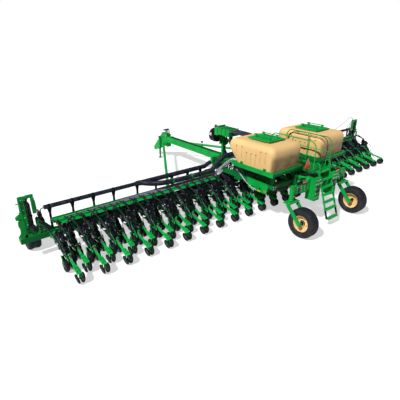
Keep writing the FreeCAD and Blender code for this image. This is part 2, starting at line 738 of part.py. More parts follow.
def handrail():
    """Bent tube rail along one side of the walkway, with a middle rail."""
    x = DECK_HALF - 30.0
    rear = DECK_REAR + 70
    front = DECK_FRONT - 200
    bend = 150
    path = [V(x, rear, DECK_Z), V(x, rear, RAIL_TOP - bend), V(x, rear + bend, RAIL_TOP),
            V(x, front - bend, RAIL_TOP), V(x, front, RAIL_TOP - bend), V(x, front, DECK_Z)]
    middle = (rear + front) / 2
    return joined([
        bent_tube(path, RAIL_R, 0.45),
        rod(V(x, rear, 2560), V(x, front, 2560), RAIL_R - 3),
        rod(V(x, middle, DECK_Z), V(x, middle, RAIL_TOP), RAIL_R - 3),
    ])


def ladder_point(z):
    share = (z - LADDER_FOOT_Z) / (DECK_Z - LADDER_FOOT_Z)
    return LADDER_FOOT_Y + share * (LADDER_HEAD_Y - LADDER_FOOT_Y)


def ladder():
    """Steep ladder with grab loops, hung on the rear edge of the deck."""
    parts = []
    for side in (-1, 1):
        x = side * LADDER_HALF
        low = V(x, ladder_point(STRAP_TOP_Z), STRAP_TOP_Z)
        high = V(x, ladder_point(DECK_Z), DECK_Z)
        parts.append(beam(low, high, 30, 60))
        loop = [high + V(0, 0, -10), V(x, high.y - 20, DECK_Z + 200), V(x, high.y + 60, DECK_Z + 330),
                V(x, high.y + 200, DECK_Z + 300), V(x, high.y + 215, DECK_Z)]
        parts.append(bent_tube(loop, 17, 0.4))
        parts.append(block(*sorted((x - 25, x + 25)), high.y - 20, DECK_REAR + 155, DECK_Z, DECK_Z + 12))
    steps = 5
    for k in range(steps):
        z = STRAP_TOP_Z + 30 + k * (DECK_Z - STRAP_TOP_Z - 60) / steps
        y = ladder_point(z)
        parts.append(block(-LADDER_HALF, LADDER_HALF, y - 70, y + 70, z - 14, z + 14))
    parts.append(block(-LADDER_HALF - 25, LADDER_HALF + 25, ladder_point(DECK_Z) - 40, DECK_REAR,
                       DECK_Z - 40, DECK_Z))
    return joined(parts).cut(walkway())


def ladder_step():
    """Bottom step, hung from the ladder on two flexible straps."""
    parts = []
    for side in (-1, 1):
        x = side * LADDER_HALF
        low = V(x, ladder_point(LADDER_FOOT_Z), LADDER_FOOT_Z)
        high = V(x, ladder_point(STRAP_TOP_Z), STRAP_TOP_Z)
        parts.append(beam(low, high, 26, 70))
    y = ladder_point(LADDER_FOOT_Z)
    parts.append(block(-LADDER_HALF, LADDER_HALF, y - 75, y + 75, LADDER_FOOT_Z - 20, LADDER_FOOT_Z + 15))
    step = joined(parts)
    return step.cut(ladder())


def slow_vehicle_sign():
    """Triangular plate on a stalk at the left of the walkway's rear end."""
    x = -DECK_HALF - 45.0
    y = DECK_REAR + 300
    plate = prism([(x - 180, DECK_Z + 130), (x + 180, DECK_Z + 130), (x, DECK_Z + 460)], "y", y - 4, y)
    stalk = block(x - 15, x + 15, y, y + 12, DECK_Z - 60, DECK_Z + 330)
    foot = block(x - 15, -DECK_HALF, y, y + 12, DECK_Z - 30, DECK_Z - 5)
    return joined([plate, stalk, foot])


# Rear casters


def lift_arm():
    """Rear arm: two plates and a block behind the main frame, and a beam out to the caster's swivel housing."""
    front = FRAME_REAR - CROSS_TUBE / 2
    block_front = CASTER_Y + 80
    plate_low, plate_high = LIFT_ARM_LOW - 20, LIFT_ARM_TOP - 60
    housing = Part.makeCylinder(HOUSING_R, HOUSING_HIGH, V(CASTER_X, CASTER_Y, HOUSING_LOW), UP)
    bore = Part.makeCylinder(KINGPIN_R + PIN_GAP, HOUSING_HIGH, V(CASTER_X, CASTER_Y, HOUSING_LOW), UP)
    profile = [(LIFT_BLOCK_OUTER - 20, LIFT_ARM_LOW - 20), (LIFT_BLOCK_OUTER - 20, LIFT_BLOCK_TOP),
               (LIFT_BLOCK_OUTER + 40, LIFT_BLOCK_TOP), (LIFT_BLOCK_OUTER + 320, LIFT_ARM_TOP),
               (CASTER_X, LIFT_ARM_TOP), (CASTER_X, LIFT_ARM_LOW), (LIFT_BLOCK_OUTER + 220, LIFT_ARM_LOW)]
    cylinder_x = LIFT_BLOCK_OUTER - LIFT_PLATE / 2 - 10
    parts = [
        block(LIFT_BLOCK_INNER + 20, LIFT_BLOCK_INNER + 20 + LIFT_PLATE, LIFT_BLOCK_REAR + 20, front,
              plate_low, plate_high),
        block(LIFT_BLOCK_OUTER - 20 - LIFT_PLATE, LIFT_BLOCK_OUTER - 20, LIFT_BLOCK_REAR + 20, front,
              plate_low, plate_high),
        block(LIFT_BLOCK_INNER, LIFT_BLOCK_OUTER, LIFT_BLOCK_REAR, block_front, LIFT_BLOCK_LOW, LIFT_BLOCK_TOP),
        prism(profile, "y", CASTER_Y - 75, CASTER_Y + 75),
        prism([(LIFT_BLOCK_OUTER - 30, front - 250), (LIFT_BLOCK_OUTER - 30, CASTER_Y),
               (CASTER_X - 260, CASTER_Y)], "z", LIFT_ARM_LOW + 90, LIFT_ARM_LOW + 130),
        rod(V(cylinder_x, front - 180, LIFT_ARM_TOP + 40), V(cylinder_x, block_front - 40, LIFT_ARM_TOP + 100),
            LIFT_CYLINDER_R),
        block(cylinder_x - 15, cylinder_x + 15, front - 250, front - 170, plate_high - 40, LIFT_ARM_TOP + 60),
        housing,
    ]
    return joined(parts).cut(bore)


def caster_axle():
    return V(CASTER_X, CASTER_Y - CASTER_TRAIL, CASTER_R)


def caster_fork():
    """Kingpin, crown and two raked legs with the axle between them."""
    crown_low = 2 * CASTER_R + CROWN_GAP
    crown_high = crown_low + CROWN_THICK
    leg_x = CASTER_WIDTH / 2 + 25 + 30
    axle = caster_axle()
    pin_top = crown_high + MOVING_GAP + HOUSING_HIGH + MOVING_GAP
    parts = [
        Part.makeCylinder(KINGPIN_R, pin_top - crown_low, V(CASTER_X, CASTER_Y, crown_low), UP),
        Part.makeCylinder(KINGPIN_R + 30, 24, V(CASTER_X, CASTER_Y, pin_top), UP),
        block(CASTER_X - leg_x - 30, CASTER_X + leg_x + 30, CASTER_Y - 160, CASTER_Y + 110, crown_low, crown_high),
        rod(axle - RIGHT * (leg_x + 30), axle + RIGHT * (leg_x + 30), AXLE_R),
    ]
    for side in (-1, 1):
        top = V(CASTER_X + side * leg_x, CASTER_Y - 40, crown_low + 10)
        foot = V(CASTER_X + side * leg_x, axle.y, axle.z)
        parts.append(beam(top, foot, 60, LEG_SIZE + 30, FORWARD))
        parts.append(rod(foot - RIGHT * 34, foot + RIGHT * 34, 68))
    return joined(parts)


def pair_on_axle(centre, radius, rim_radius, width):
    return tyre_and_rim(centre, radius, rim_radius, width, AXLE_R + PIN_GAP)


# Tongue head, jack and draft links


def tongue_inner():
    """Sliding tongue beam with the hitch head, the draft links' lugs and the jack's tube."""
    gap = TONGUE_WALL + MOVING_GAP
    low = TONGUE_TOP - TONGUE_DEEP + gap
    high = TONGUE_TOP - gap
    half = TONGUE_HALF - gap
    beam_tube = hollow_tube(-half, half, INNER_REAR, HEAD_Y + 20, low, high, TONGUE_WALL, "y")
    ear_low = HITCH_PIN_Z - HITCH_GAP / 2 - HITCH_EAR
    ear_high = HITCH_PIN_Z + HITCH_GAP / 2 + HITCH_EAR
    nose = HITCH_PIN_Y - 130
    side = [(HEAD_Y, TONGUE_TOP + 130), (HEAD_Y + 520, TONGUE_TOP + 130), (HEAD_Y + 700, TONGUE_TOP - 60),
            (nose, ear_high + 60), (nose, ear_low), (nose - 160, ear_low), (HEAD_Y + 330, TONGUE_TOP - TONGUE_DEEP - 230),
            (HEAD_Y, TONGUE_TOP - TONGUE_DEEP - 280)]
    parts = [beam_tube]
    for s in (-1, 1):
        parts.append(prism(side, "x", *sorted((s * (half + 4), s * (half - 26)))))
    parts.append(block(-half, half, HEAD_Y, HEAD_Y + 24, TONGUE_TOP - TONGUE_DEEP - 280, TONGUE_TOP + 130))
    parts.append(block(-half, half, HEAD_Y, HEAD_Y + 520, TONGUE_TOP + 106, TONGUE_TOP + 130))
    parts.append(block(-half, half, nose - 24, nose, ear_low, ear_high + 60))
    for ear in (ear_low, HITCH_PIN_Z + HITCH_GAP / 2):
        tab = prism([(-half, nose - 20), (-75, HITCH_PIN_Y), (75, HITCH_PIN_Y), (half, nose - 20)],
                    "z", ear, ear + HITCH_EAR)
        parts.append(tab)
        parts.append(Part.makeCylinder(75, HITCH_EAR, V(0, HITCH_PIN_Y, ear), UP))
    for s in (-1, 1):
        lug = prism([(s * (half - 10), LINK_HEAD_Y - 90), (s * (LINK_HEAD_X + 70), LINK_HEAD_Y - 60),
                     (s * (LINK_HEAD_X + 70), LINK_HEAD_Y + 60), (s * (half - 10), LINK_HEAD_Y + 130)],
                    "z", LINK_HEAD_Z - 1.5 * LUG_THICK - MOVING_GAP, LINK_HEAD_Z - LUG_THICK / 2 - MOVING_GAP)
        parts.append(lug)
    tube_half = JACK_TUBE / 2
    jack_outer = block(JACK_X - tube_half, JACK_X + tube_half, JACK_Y - tube_half, JACK_Y + tube_half, 560, 1240)
    parts.append(jack_outer)
    parts.append(block(JACK_X + tube_half - 5, -half, JACK_Y - 60, JACK_Y + 60, 900, 1080))
    leg_half = JACK_LEG / 2 + MOVING_GAP / 2
    bore = block(JACK_X - leg_half, JACK_X + leg_half, JACK_Y - leg_half, JACK_Y + leg_half, 400, 1200)
    pin_hole = Part.makeCylinder(HITCH_BORE_R, 2 * HITCH_EAR + HITCH_GAP + 2, V(0, HITCH_PIN_Y, ear_low - 1), UP)
    return joined(parts).cut(bore).cut(pin_hole)


def jack_leg():
    """Sliding leg of the parking jack, with its foot on the floor."""
    half = JACK_LEG / 2
    return joined([
        block(JACK_X - half, JACK_X + half, JACK_Y - half, JACK_Y + half, 10, 780),
        block(JACK_X - 110, JACK_X + 110, JACK_Y - 110, JACK_Y + 110, 0, 14),
        block(JACK_X - 55, JACK_X + 55, JACK_Y - 55, JACK_Y + 55, 14, 40),
    ])


def draft_link():
    """Tube from the wing's bracket up to the hitch head, with a flat eye at each end."""
    wing = V(LINK_WING_X, LINK_WING_Y, LINK_Z)
    head = V(LINK_HEAD_X, LINK_HEAD_Y, LINK_HEAD_Z)
    level = V(head.x - wing.x, head.y - wing.y, 0).normalize()
    side = UP.cross(level) * 60
    along = (head - wing).normalize()
    parts = [rod(wing + along * 240, head - along * 240, LINK_R)]
    for eye, inward in ((wing, level * 320), (head, level * -320)):
        corners = [eye - side, eye + inward - side, eye + inward + side, eye + side]
        parts.append(prism([(p.x, p.y) for p in corners], "z", eye.z - LUG_THICK / 2, eye.z + LUG_THICK / 2))
        parts.append(Part.makeCylinder(60, LUG_THICK, eye - UP * LUG_THICK / 2, UP))
    parts.append(Part.makeCylinder(LINK_PIN_R + 12, 22, head + UP * LUG_THICK / 2, UP))
    bore = Part.makeCylinder(LINK_PIN_R + PIN_GAP, LUG_THICK + 2, wing - UP * (LUG_THICK / 2 + 1), UP)
    return joined(parts).cut(bore)


# Wings


def wing_toolbar():
    """Wing tube with its hinge knuckle, draft-link bracket, wheel arm and marker bracket."""
    inner = HINGE_X + BAR_GAP / 2
    knuckle_low = BAR_BOTTOM + 4
    knuckle_high = BAR_TOP - 4
    tube = block(inner, WING_END, BAR_REAR, BAR_FRONT, BAR_BOTTOM, BAR_TOP)
    knuckle = Part.makeCylinder(HINGE_KNUCKLE_R, knuckle_high - knuckle_low, V(HINGE_X, HINGE_Y, knuckle_low), UP)
    tie = prism([(HINGE_X, HINGE_Y - 50), (HINGE_X + 20, BAR_FRONT), (HINGE_X + 420, BAR_FRONT),
                 (HINGE_X, HINGE_Y + HINGE_KNUCKLE_R)], "z", knuckle_low, knuckle_high)
    parts = [tube, knuckle, tie]
    pivot = V(LINK_WING_X, LINK_WING_Y, 0)
    for low in (LINK_Z - LUG_THICK / 2 - MOVING_GAP - LUG_THICK, LINK_Z + LUG_THICK / 2 + MOVING_GAP):
        parts.append(prism([(LINK_WING_X - 120, BAR_FRONT - 60), (LINK_WING_X - 65, pivot.y + 50),
                            (LINK_WING_X + 65, pivot.y + 50), (LINK_WING_X + 120, BAR_FRONT - 60)],
                           "z", low, low + LUG_THICK))
    parts.append(block(LINK_WING_X - 120, LINK_WING_X + 120, BAR_FRONT - 60, BAR_FRONT - 20,
                       BAR_TOP - 20, LINK_Z + LUG_THICK * 1.5 + MOVING_GAP))
    pin_reach = 1.5 * LUG_THICK + MOVING_GAP + 12
    parts.append(rod(V(pivot.x, pivot.y, LINK_Z - pin_reach), V(pivot.x, pivot.y, LINK_Z + pin_reach), LINK_PIN_R))
    parts += wing_wheel_arm() + marker_bracket()
    hinge_bore = Part.makeCylinder(HINGE_PIN_R + PIN_GAP, BAR_HEIGHT, V(HINGE_X, HINGE_Y, BAR_BOTTOM), UP)
    link_sweep = Part.makeCylinder(72, LUG_THICK + 2 * MOVING_GAP - 2,
                                   V(pivot.x, pivot.y, LINK_Z - LUG_THICK / 2 - MOVING_GAP + 1), UP)
    pin = rod(V(pivot.x, pivot.y, LINK_Z - pin_reach), V(pivot.x, pivot.y, LINK_Z + pin_reach), LINK_PIN_R)
    return joined([joined(parts).cut(hinge_bore).cut(link_sweep), pin])


def wing_wheel_arm():
    """Arm from the wing tube to its wheel, on the wheel's inner side, and the stub axle."""
    inner_face = WING_WHEEL_X - WING_WIDTH / 2 - 30
    axle = V(0, WING_WHEEL_Y, WING_R)
    arm = prism([(BAR_FRONT - 20, BAR_TOP - 20), (BAR_FRONT - 20, BAR_BOTTOM + 10), (axle.y - 60, axle.z - 50),
                 (axle.y + 50, axle.z - 50), (axle.y + 50, axle.z + 50), (BAR_FRONT + 160, BAR_TOP - 20)],
                "x", inner_face - 80, inner_face)
    stub = rod(V(inner_face - 10, axle.y, axle.z), V(WING_WHEEL_X + 0.62 * WING_WIDTH / 2, axle.y, axle.z), AXLE_R)
    return [arm, stub]


def marker_bracket():
    """Two cheeks on the wing tube that hold the marker arm's pivot pin."""
    reach = MARKER_BAR / 2
    shapes = []
    for y in (-reach - MOVING_GAP - 25, reach + MOVING_GAP):
        shapes.append(prism([(MARKER_X - 330, BAR_TOP - 10), (WING_END, BAR_TOP - 10),
                             (MARKER_X + 60, MARKER_PIVOT_Z + 60), (MARKER_X - 60, MARKER_PIVOT_Z + 60)],
                            "y", y, y + 25))
    shapes.append(rod(V(MARKER_X, -reach - 45, MARKER_PIVOT_Z), V(MARKER_X, reach + 45, MARKER_PIVOT_Z), 24))
    return shapes


def marker_top():
    """The hinge between the marker's two sections, midway between them at the top."""
    return V(MARKER_X - MARKER_SPREAD / 2, 0, MARKER_TOP_Z - MARKER_BAR / 2)


def marker_arm():
    """Upright inner section of the marker."""
    half = MARKER_BAR / 2
    top = marker_top()
    parts = [
        block(MARKER_X - half, MARKER_X + half, -half, half, MARKER_PIVOT_Z, MARKER_TOP_Z),
        rod(V(MARKER_X, -half, MARKER_PIVOT_Z), V(MARKER_X, half, MARKER_PIVOT_Z), half),
        block(top.x, MARKER_X, -half, -MOVING_GAP, MARKER_TOP_Z - MARKER_BAR, MARKER_TOP_Z),
        rod(V(top.x, -half, top.z), V(top.x, -MOVING_GAP, top.z), half),
        rod(V(top.x, -half, top.z), V(top.x, half, top.z), 22),
    ]
    bore = rod(V(MARKER_X, -half - 1, MARKER_PIVOT_Z), V(MARKER_X, half + 1, MARKER_PIVOT_Z), 24 + PIN_GAP)
    lap = block(MARKER_X - half - 1, MARKER_X + half + 1, -MOVING_GAP, half + 1, top.z - half - 5, MARKER_TOP_Z + 1)
    return joined(parts).cut(bore).cut(lap)


def marker_boom():
    """Outer section of the marker, folded down beside the inner one, with the marking disc on its stalk."""
    half = MARKER_BAR / 2 - 8
    top = marker_top()
    x = MARKER_X - MARKER_SPREAD
    low = MARKER_TOP_Z - BOOM_LONG
    disc_x = x - MARKER_DISC_OUT
    parts = [
        block(x - half, x + half, -half, half, low, MARKER_TOP_Z - 8),
        block(x, top.x, 0, half, top.z - half, top.z + half),
        rod(V(top.x, 0, top.z), V(top.x, half, top.z), half),
        beam(V(x, 0, low + 60), V(disc_x, 0, low + 60), 40, 40),
    ]
    disc = Part.makeCylinder(MARKER_DISC_R, 6, V(0, 0, 20), UP).fuse(Part.makeCylinder(34, 60, V(0, 0, -20), UP))
    disc.rotate(V(0, 0, 0), FORWARD, -MARKER_CAMBER)
    disc.translate(V(disc_x, 0, low + 60))
    parts.append(disc)
    bore = rod(V(top.x, -half, top.z), V(top.x, half + 20, top.z), 22 + PIN_GAP)
    lap = block(x - half - 1, x + half + 1, -half - 1, 0, top.z - half - 13, MARKER_TOP_Z + 1)
    return joined(parts).cut(bore).cut(lap)


def post_xs(inner, outer):
    count = int((outer - inner) // POST_PITCH)
    return [outer - k * POST_PITCH for k in range(count + 1)]


def air_manifold():
    """Air pipe along the wing on posts, stepped up to a larger trunk at its inner half, and the supply hose."""
    outer_x = WING_END - 850
    trunk = rod(V(MANIFOLD_INNER_X, 0, MANIFOLD_Z), V(TRUNK_OUTER_X, 0, MANIFOLD_Z), TRUNK_R)
    pipe = rod(V(TRUNK_OUTER_X, 0, MANIFOLD_Z), V(outer_x, 0, MANIFOLD_Z), MANIFOLD_R)
    elbow = bent_tube([V(MANIFOLD_INNER_X - 300, 0, MANIFOLD_Z + 130), V(MANIFOLD_INNER_X - 160, 0, MANIFOLD_Z + 70),
                       V(MANIFOLD_INNER_X, 0, MANIFOLD_Z), V(MANIFOLD_INNER_X + 300, 0, MANIFOLD_Z)], TRUNK_R - 2, 0.4)
    parts = [trunk, pipe, elbow]
    for x in post_xs(MANIFOLD_INNER_X + 300, outer_x - 300):
        parts.append(block(x - POST_WIDE / 2, x + POST_WIDE / 2, -25, 25, BAR_TOP, MANIFOLD_Z - 20))
    supply = bent_tube([
        V(SUPPLY_INNER_X, SUPPLY_Y, SUPPLY_Z), V(TRUNK_OUTER_X - 1500, SUPPLY_Y, SUPPLY_Z),
        V(TRUNK_OUTER_X - 500, SUPPLY_Y, SUPPLY_Z + 60), V(TRUNK_OUTER_X - 150, 0, MANIFOLD_Z),
    ], SUPPLY_R, 0.4)
    return joined(parts + [supply])


def seed_tray():
    """Channel that carries the seed hoses along the wing, on cranked brackets from the toolbar."""
    outer_x = WING_END - 950
    low = TRAY_Z
    half = TRAY_WIDE / 2
    channel = block(TRAY_INNER_X, outer_x, TRAY_Y - half, TRAY_Y + half, low, low + TRAY_HIGH)
    inside = block(TRAY_INNER_X, outer_x, TRAY_Y - half + 8, TRAY_Y + half - 8, low + 8, low + TRAY_HIGH)
    parts = [channel.cut(inside)]
    arm_low = low - 40
    for x in post_xs(TRAY_INNER_X + 430, outer_x - 760):
        x0, x1 = x - 25, x + 25
        parts.append(block(x0, x1, BAR_REAR + 5, BAR_REAR + 45, BAR_TOP, arm_low + 40))
        parts.append(block(x0, x1, TRAY_Y - half, BAR_REAR + 45, arm_low, low))
    return joined(parts)


# Fan and hoses


def fan_stand():
    """Post on the front cross tube, the mounting plate at its top, a round cooler and a gauge beside it."""
    half = PYLON / 2
    foot = FRONT_CROSS_TOP
    post_top = FAN_PLATE_Z + 400
    return joined([
        block(PYLON_X - half, PYLON_X + half, FRONT_CROSS_Y - half, FRONT_CROSS_Y + half, foot, post_top),
        block(PYLON_X - 90, PYLON_X + 90, FRONT_CROSS_Y - 65, FRONT_CROSS_Y + 65, foot, foot + 20),
        block(FAN_PLATE_INNER, FAN_PLATE_OUTER, FAN_BACK_Y - 15, FAN_BACK_Y, FAN_PLATE_Z, FAN_PLATE_TOP),
        block(PYLON_X - half, PYLON_X + half, FRONT_CROSS_Y, FAN_BACK_Y, FAN_PLATE_Z - 60, post_top),
        rod(V(COOLER_X, FAN_BACK_Y - 10, COOLER_Z), V(COOLER_X, FAN_BACK_Y + 80, COOLER_Z), COOLER_R),
        block(GAUGE_DISC_X, FAN_PLATE_INNER + 10, FAN_BACK_Y - 15, FAN_BACK_Y, FAN_PLATE_TOP - 30, FAN_PLATE_TOP),
        rod(V(GAUGE_DISC_X, FAN_BACK_Y - 15, FAN_PLATE_TOP), V(GAUGE_DISC_X, FAN_BACK_Y + 30, FAN_PLATE_TOP),
            GAUGE_DISC_R),
    ])


def fan_housing():
    """Round fan casing in front of the plate, open at its mouth."""
    start = V(FAN_X, FAN_BACK_Y, FAN_Z)
    mouth = start + FORWARD * FAN_DEEP
    wall = 14.0
    lip_start = mouth - FORWARD * 40
    shell = rod(start, mouth, FAN_R).cut(rod(start + FORWARD * 20, mouth, FAN_R - wall))
    lip = rod(lip_start, mouth, FAN_R).cut(rod(lip_start, mouth, FAN_R - 70))
    return joined([shell, lip])


def fan_rotor():
    """Impeller: a back plate, a hub and blades, turning about an axis along Y."""
    start = V(FAN_X, FAN_BACK_Y + 20 + MOVING_GAP, FAN_Z)
    parts = [rod(start, start + FORWARD * 8, 240), rod(start, start + FORWARD * 200, 40)]
    blades = 10
    for k in range(blades):
        blade = block(38, 225, -3, 3, 0, 170)
        blade.rotate(V(0, 0, 0), RIGHT, -90)
        blade.translate(V(0, 4, 0))
        blade.rotate(V(0, 0, 0), FORWARD, 360.0 * k / blades)
        blade.translate(start)
        parts.append(blade)
    return joined(parts)


def air_box():
    """Box behind the fan that shares its air between the hoses."""
    middle = FAN_X
    return joined([
        block(middle - AIR_BOX_HALF, middle + AIR_BOX_HALF, AIR_BOX_REAR, AIR_BOX_FRONT, AIR_BOX_LOW, AIR_BOX_TOP),
        block(middle - AIR_BOX_HALF + 40, FAN_PLATE_INNER - 5, AIR_BOX_FRONT, FAN_BACK_Y,
              AIR_BOX_LOW - 70, AIR_BOX_TOP - 60),
    ])


def air_hoses():
    """Hoses from the air box back between the tanks, down and out to the two seed boxes, three to each."""
    end_y = THROAT_Y + CONE_THROAT / 2 + 60
    end_z = BEAM_HIGH + HOSE_R + 12
    shift = math.tan(math.atan(1 / HOSE_SLANT) / 2)
    hoses = []
    for side in (-1, 1):
        for k in range(3):
            offset = (k - 1) * HOSE_PITCH
            x0 = FAN_X + side * 1.5 * HOSE_PITCH + offset
            x1 = side * (HOPPER_X - 60) + offset
            bend = side * offset * shift
            turn_y = HOSE_TURN_Y + bend
            out_y = turn_y - abs(x1 - x0) * HOSE_SLANT
            hoses.append(bent_tube([
                V(x0, AIR_BOX_REAR, HOSE_TOP_Z), V(x0, HOSE_DROP_Y, HOSE_TOP_Z), V(x0, HOSE_FOOT_Y, end_z),
                V(x0, turn_y, end_z), V(x1, out_y, end_z), V(x1, end_y, end_z),
            ], HOSE_R, 0.45))
    return hoses


def centre_duct():
    """Duct across the frame above the toolbar, fed by a riser from the air box, that feeds both wings."""
    z = DUCT_Z
    parts = [rod(V(-DUCT_HALF, DUCT_Y, z), V(DUCT_HALF, DUCT_Y, z), DUCT_R)]
    for x in (-STRUT_X, STRUT_X):
        parts.append(block(x - 40, x + 40, DUCT_Y - 40, DUCT_Y + 40, STRUT_TOP, z - DUCT_R + 30))
    riser_y = AIR_BOX_REAR + 200
    riser = bent_tube([
        V(FAN_X, riser_y, AIR_BOX_LOW), V(FAN_X, riser_y, z + 180),
        V(FAN_X, DUCT_Y + 250, z), V(FAN_X, DUCT_Y, z),
    ], DUCT_R - 8, 0.42)
    return joined(parts + [riser])


def hinge_hoses():
    """Air hose from the centre duct's end to the wing's trunk, past the fold hinge."""
    return [bent_tube([
        V(DUCT_HALF, DUCT_Y, DUCT_Z), V(DUCT_HALF + 420, DUCT_Y, DUCT_Z),
        V(SUPPLY_INNER_X - 200, SUPPLY_Y, SUPPLY_Z), V(SUPPLY_INNER_X, SUPPLY_Y, SUPPLY_Z),
    ], SUPPLY_R, 0.45)]


def write(name, shapes):
    solids = []
    for shape in shapes:
        for solid in shape.Solids:
            copy = solid.copy()
            copy.translate(TO_ROW_FRAME)
            solids.append(copy)
    whole = solids[0] if len(solids) == 1 else Part.makeCompound(solids)
    whole.exportStep("parts/" + name + ".step")


def main():
    os.makedirs("parts", exist_ok=True)
    nodes = {
        "centre_toolbar": [centre_toolbar()],
        "main_frame": [main_frame()],
        "hopper_frame": both_sides([hopper_frame()]),
        "seed_boxes": both_sides([seed_box()]),
        "walkway": [walkway()],
        "handrails": both_sides([handrail()]),
        "ladder": [ladder()],
        "ladder_step": [ladder_step()],
        "slow_vehicle_sign": [slow_vehicle_sign()],
        "tongue_sleeve": [tongue_sleeve()],
        "fan_stand": [fan_stand()],
        "fan_housing": [fan_housing()],
        "fan_rotor": [fan_rotor()],
        "air_box": [air_box()],
        "air_hoses": air_hoses(),
        "centre_duct": [centre_duct()],
        "tongue_inner": [tongue_inner()],
        "jack_leg": [jack_leg()],
    }
    centre_long = [x * s for x in long_unit_xs(0, CENTRE_ROWS) for s in (-1, 1)]
    centre_short = [0.0] + [x * s for x in short_unit_xs(1, CENTRE_ROWS) for s in (-1, 1)]
    nodes.update(row_nodes("centre", centre_long, centre_short))
    caster_tyre, caster_rim = pair_on_axle(caster_axle(), CASTER_R, CASTER_RIM_R, CASTER_WIDTH)
    main_pair = pair_on_axle(V(main_wheel_x(), main_wheel_y(), MAIN_R), MAIN_R, MAIN_RIM_R, MAIN_WIDTH)
    wing_pair = pair_on_axle(V(WING_WHEEL_X, WING_WHEEL_Y, WING_R), WING_R, WING_RIM_R, WING_WIDTH)
    right = {
        "seed_hopper": [seed_hopper()],
        "hopper_lid": [hopper_lid()],
        "lift_arm": [lift_arm()],
        "caster_fork": [caster_fork()],
        "caster_tyre": [caster_tyre],
        "caster_rim": [caster_rim],
        "main_wheel": [joined(list(main_pair))],
        "wing_wheel": [joined(list(wing_pair))],
        "draft_link": [draft_link()],
        "toolbar": [wing_toolbar()],
        "marker_arm": [marker_arm()],
        "marker_boom": [marker_boom()],
        "air_manifold": [air_manifold()],
        "seed_tray": [seed_tray()],
        "hinge_hoses": hinge_hoses(),
    }
    long_xs = long_unit_xs(CENTRE_ROWS, WING_ROWS)
    short_xs = short_unit_xs(CENTRE_ROWS + 1, WING_ROWS - 1)
    for name, shapes in row_nodes("", long_xs, short_xs).items():
        right[name.strip("_")] = shapes
    for name, shapes in right.items():
        nodes["right_" + name] = shapes
        nodes["left_" + name] = [mirrored(s) for s in shapes]
    for name, shapes in nodes.items():
        write(name, shapes)


main()
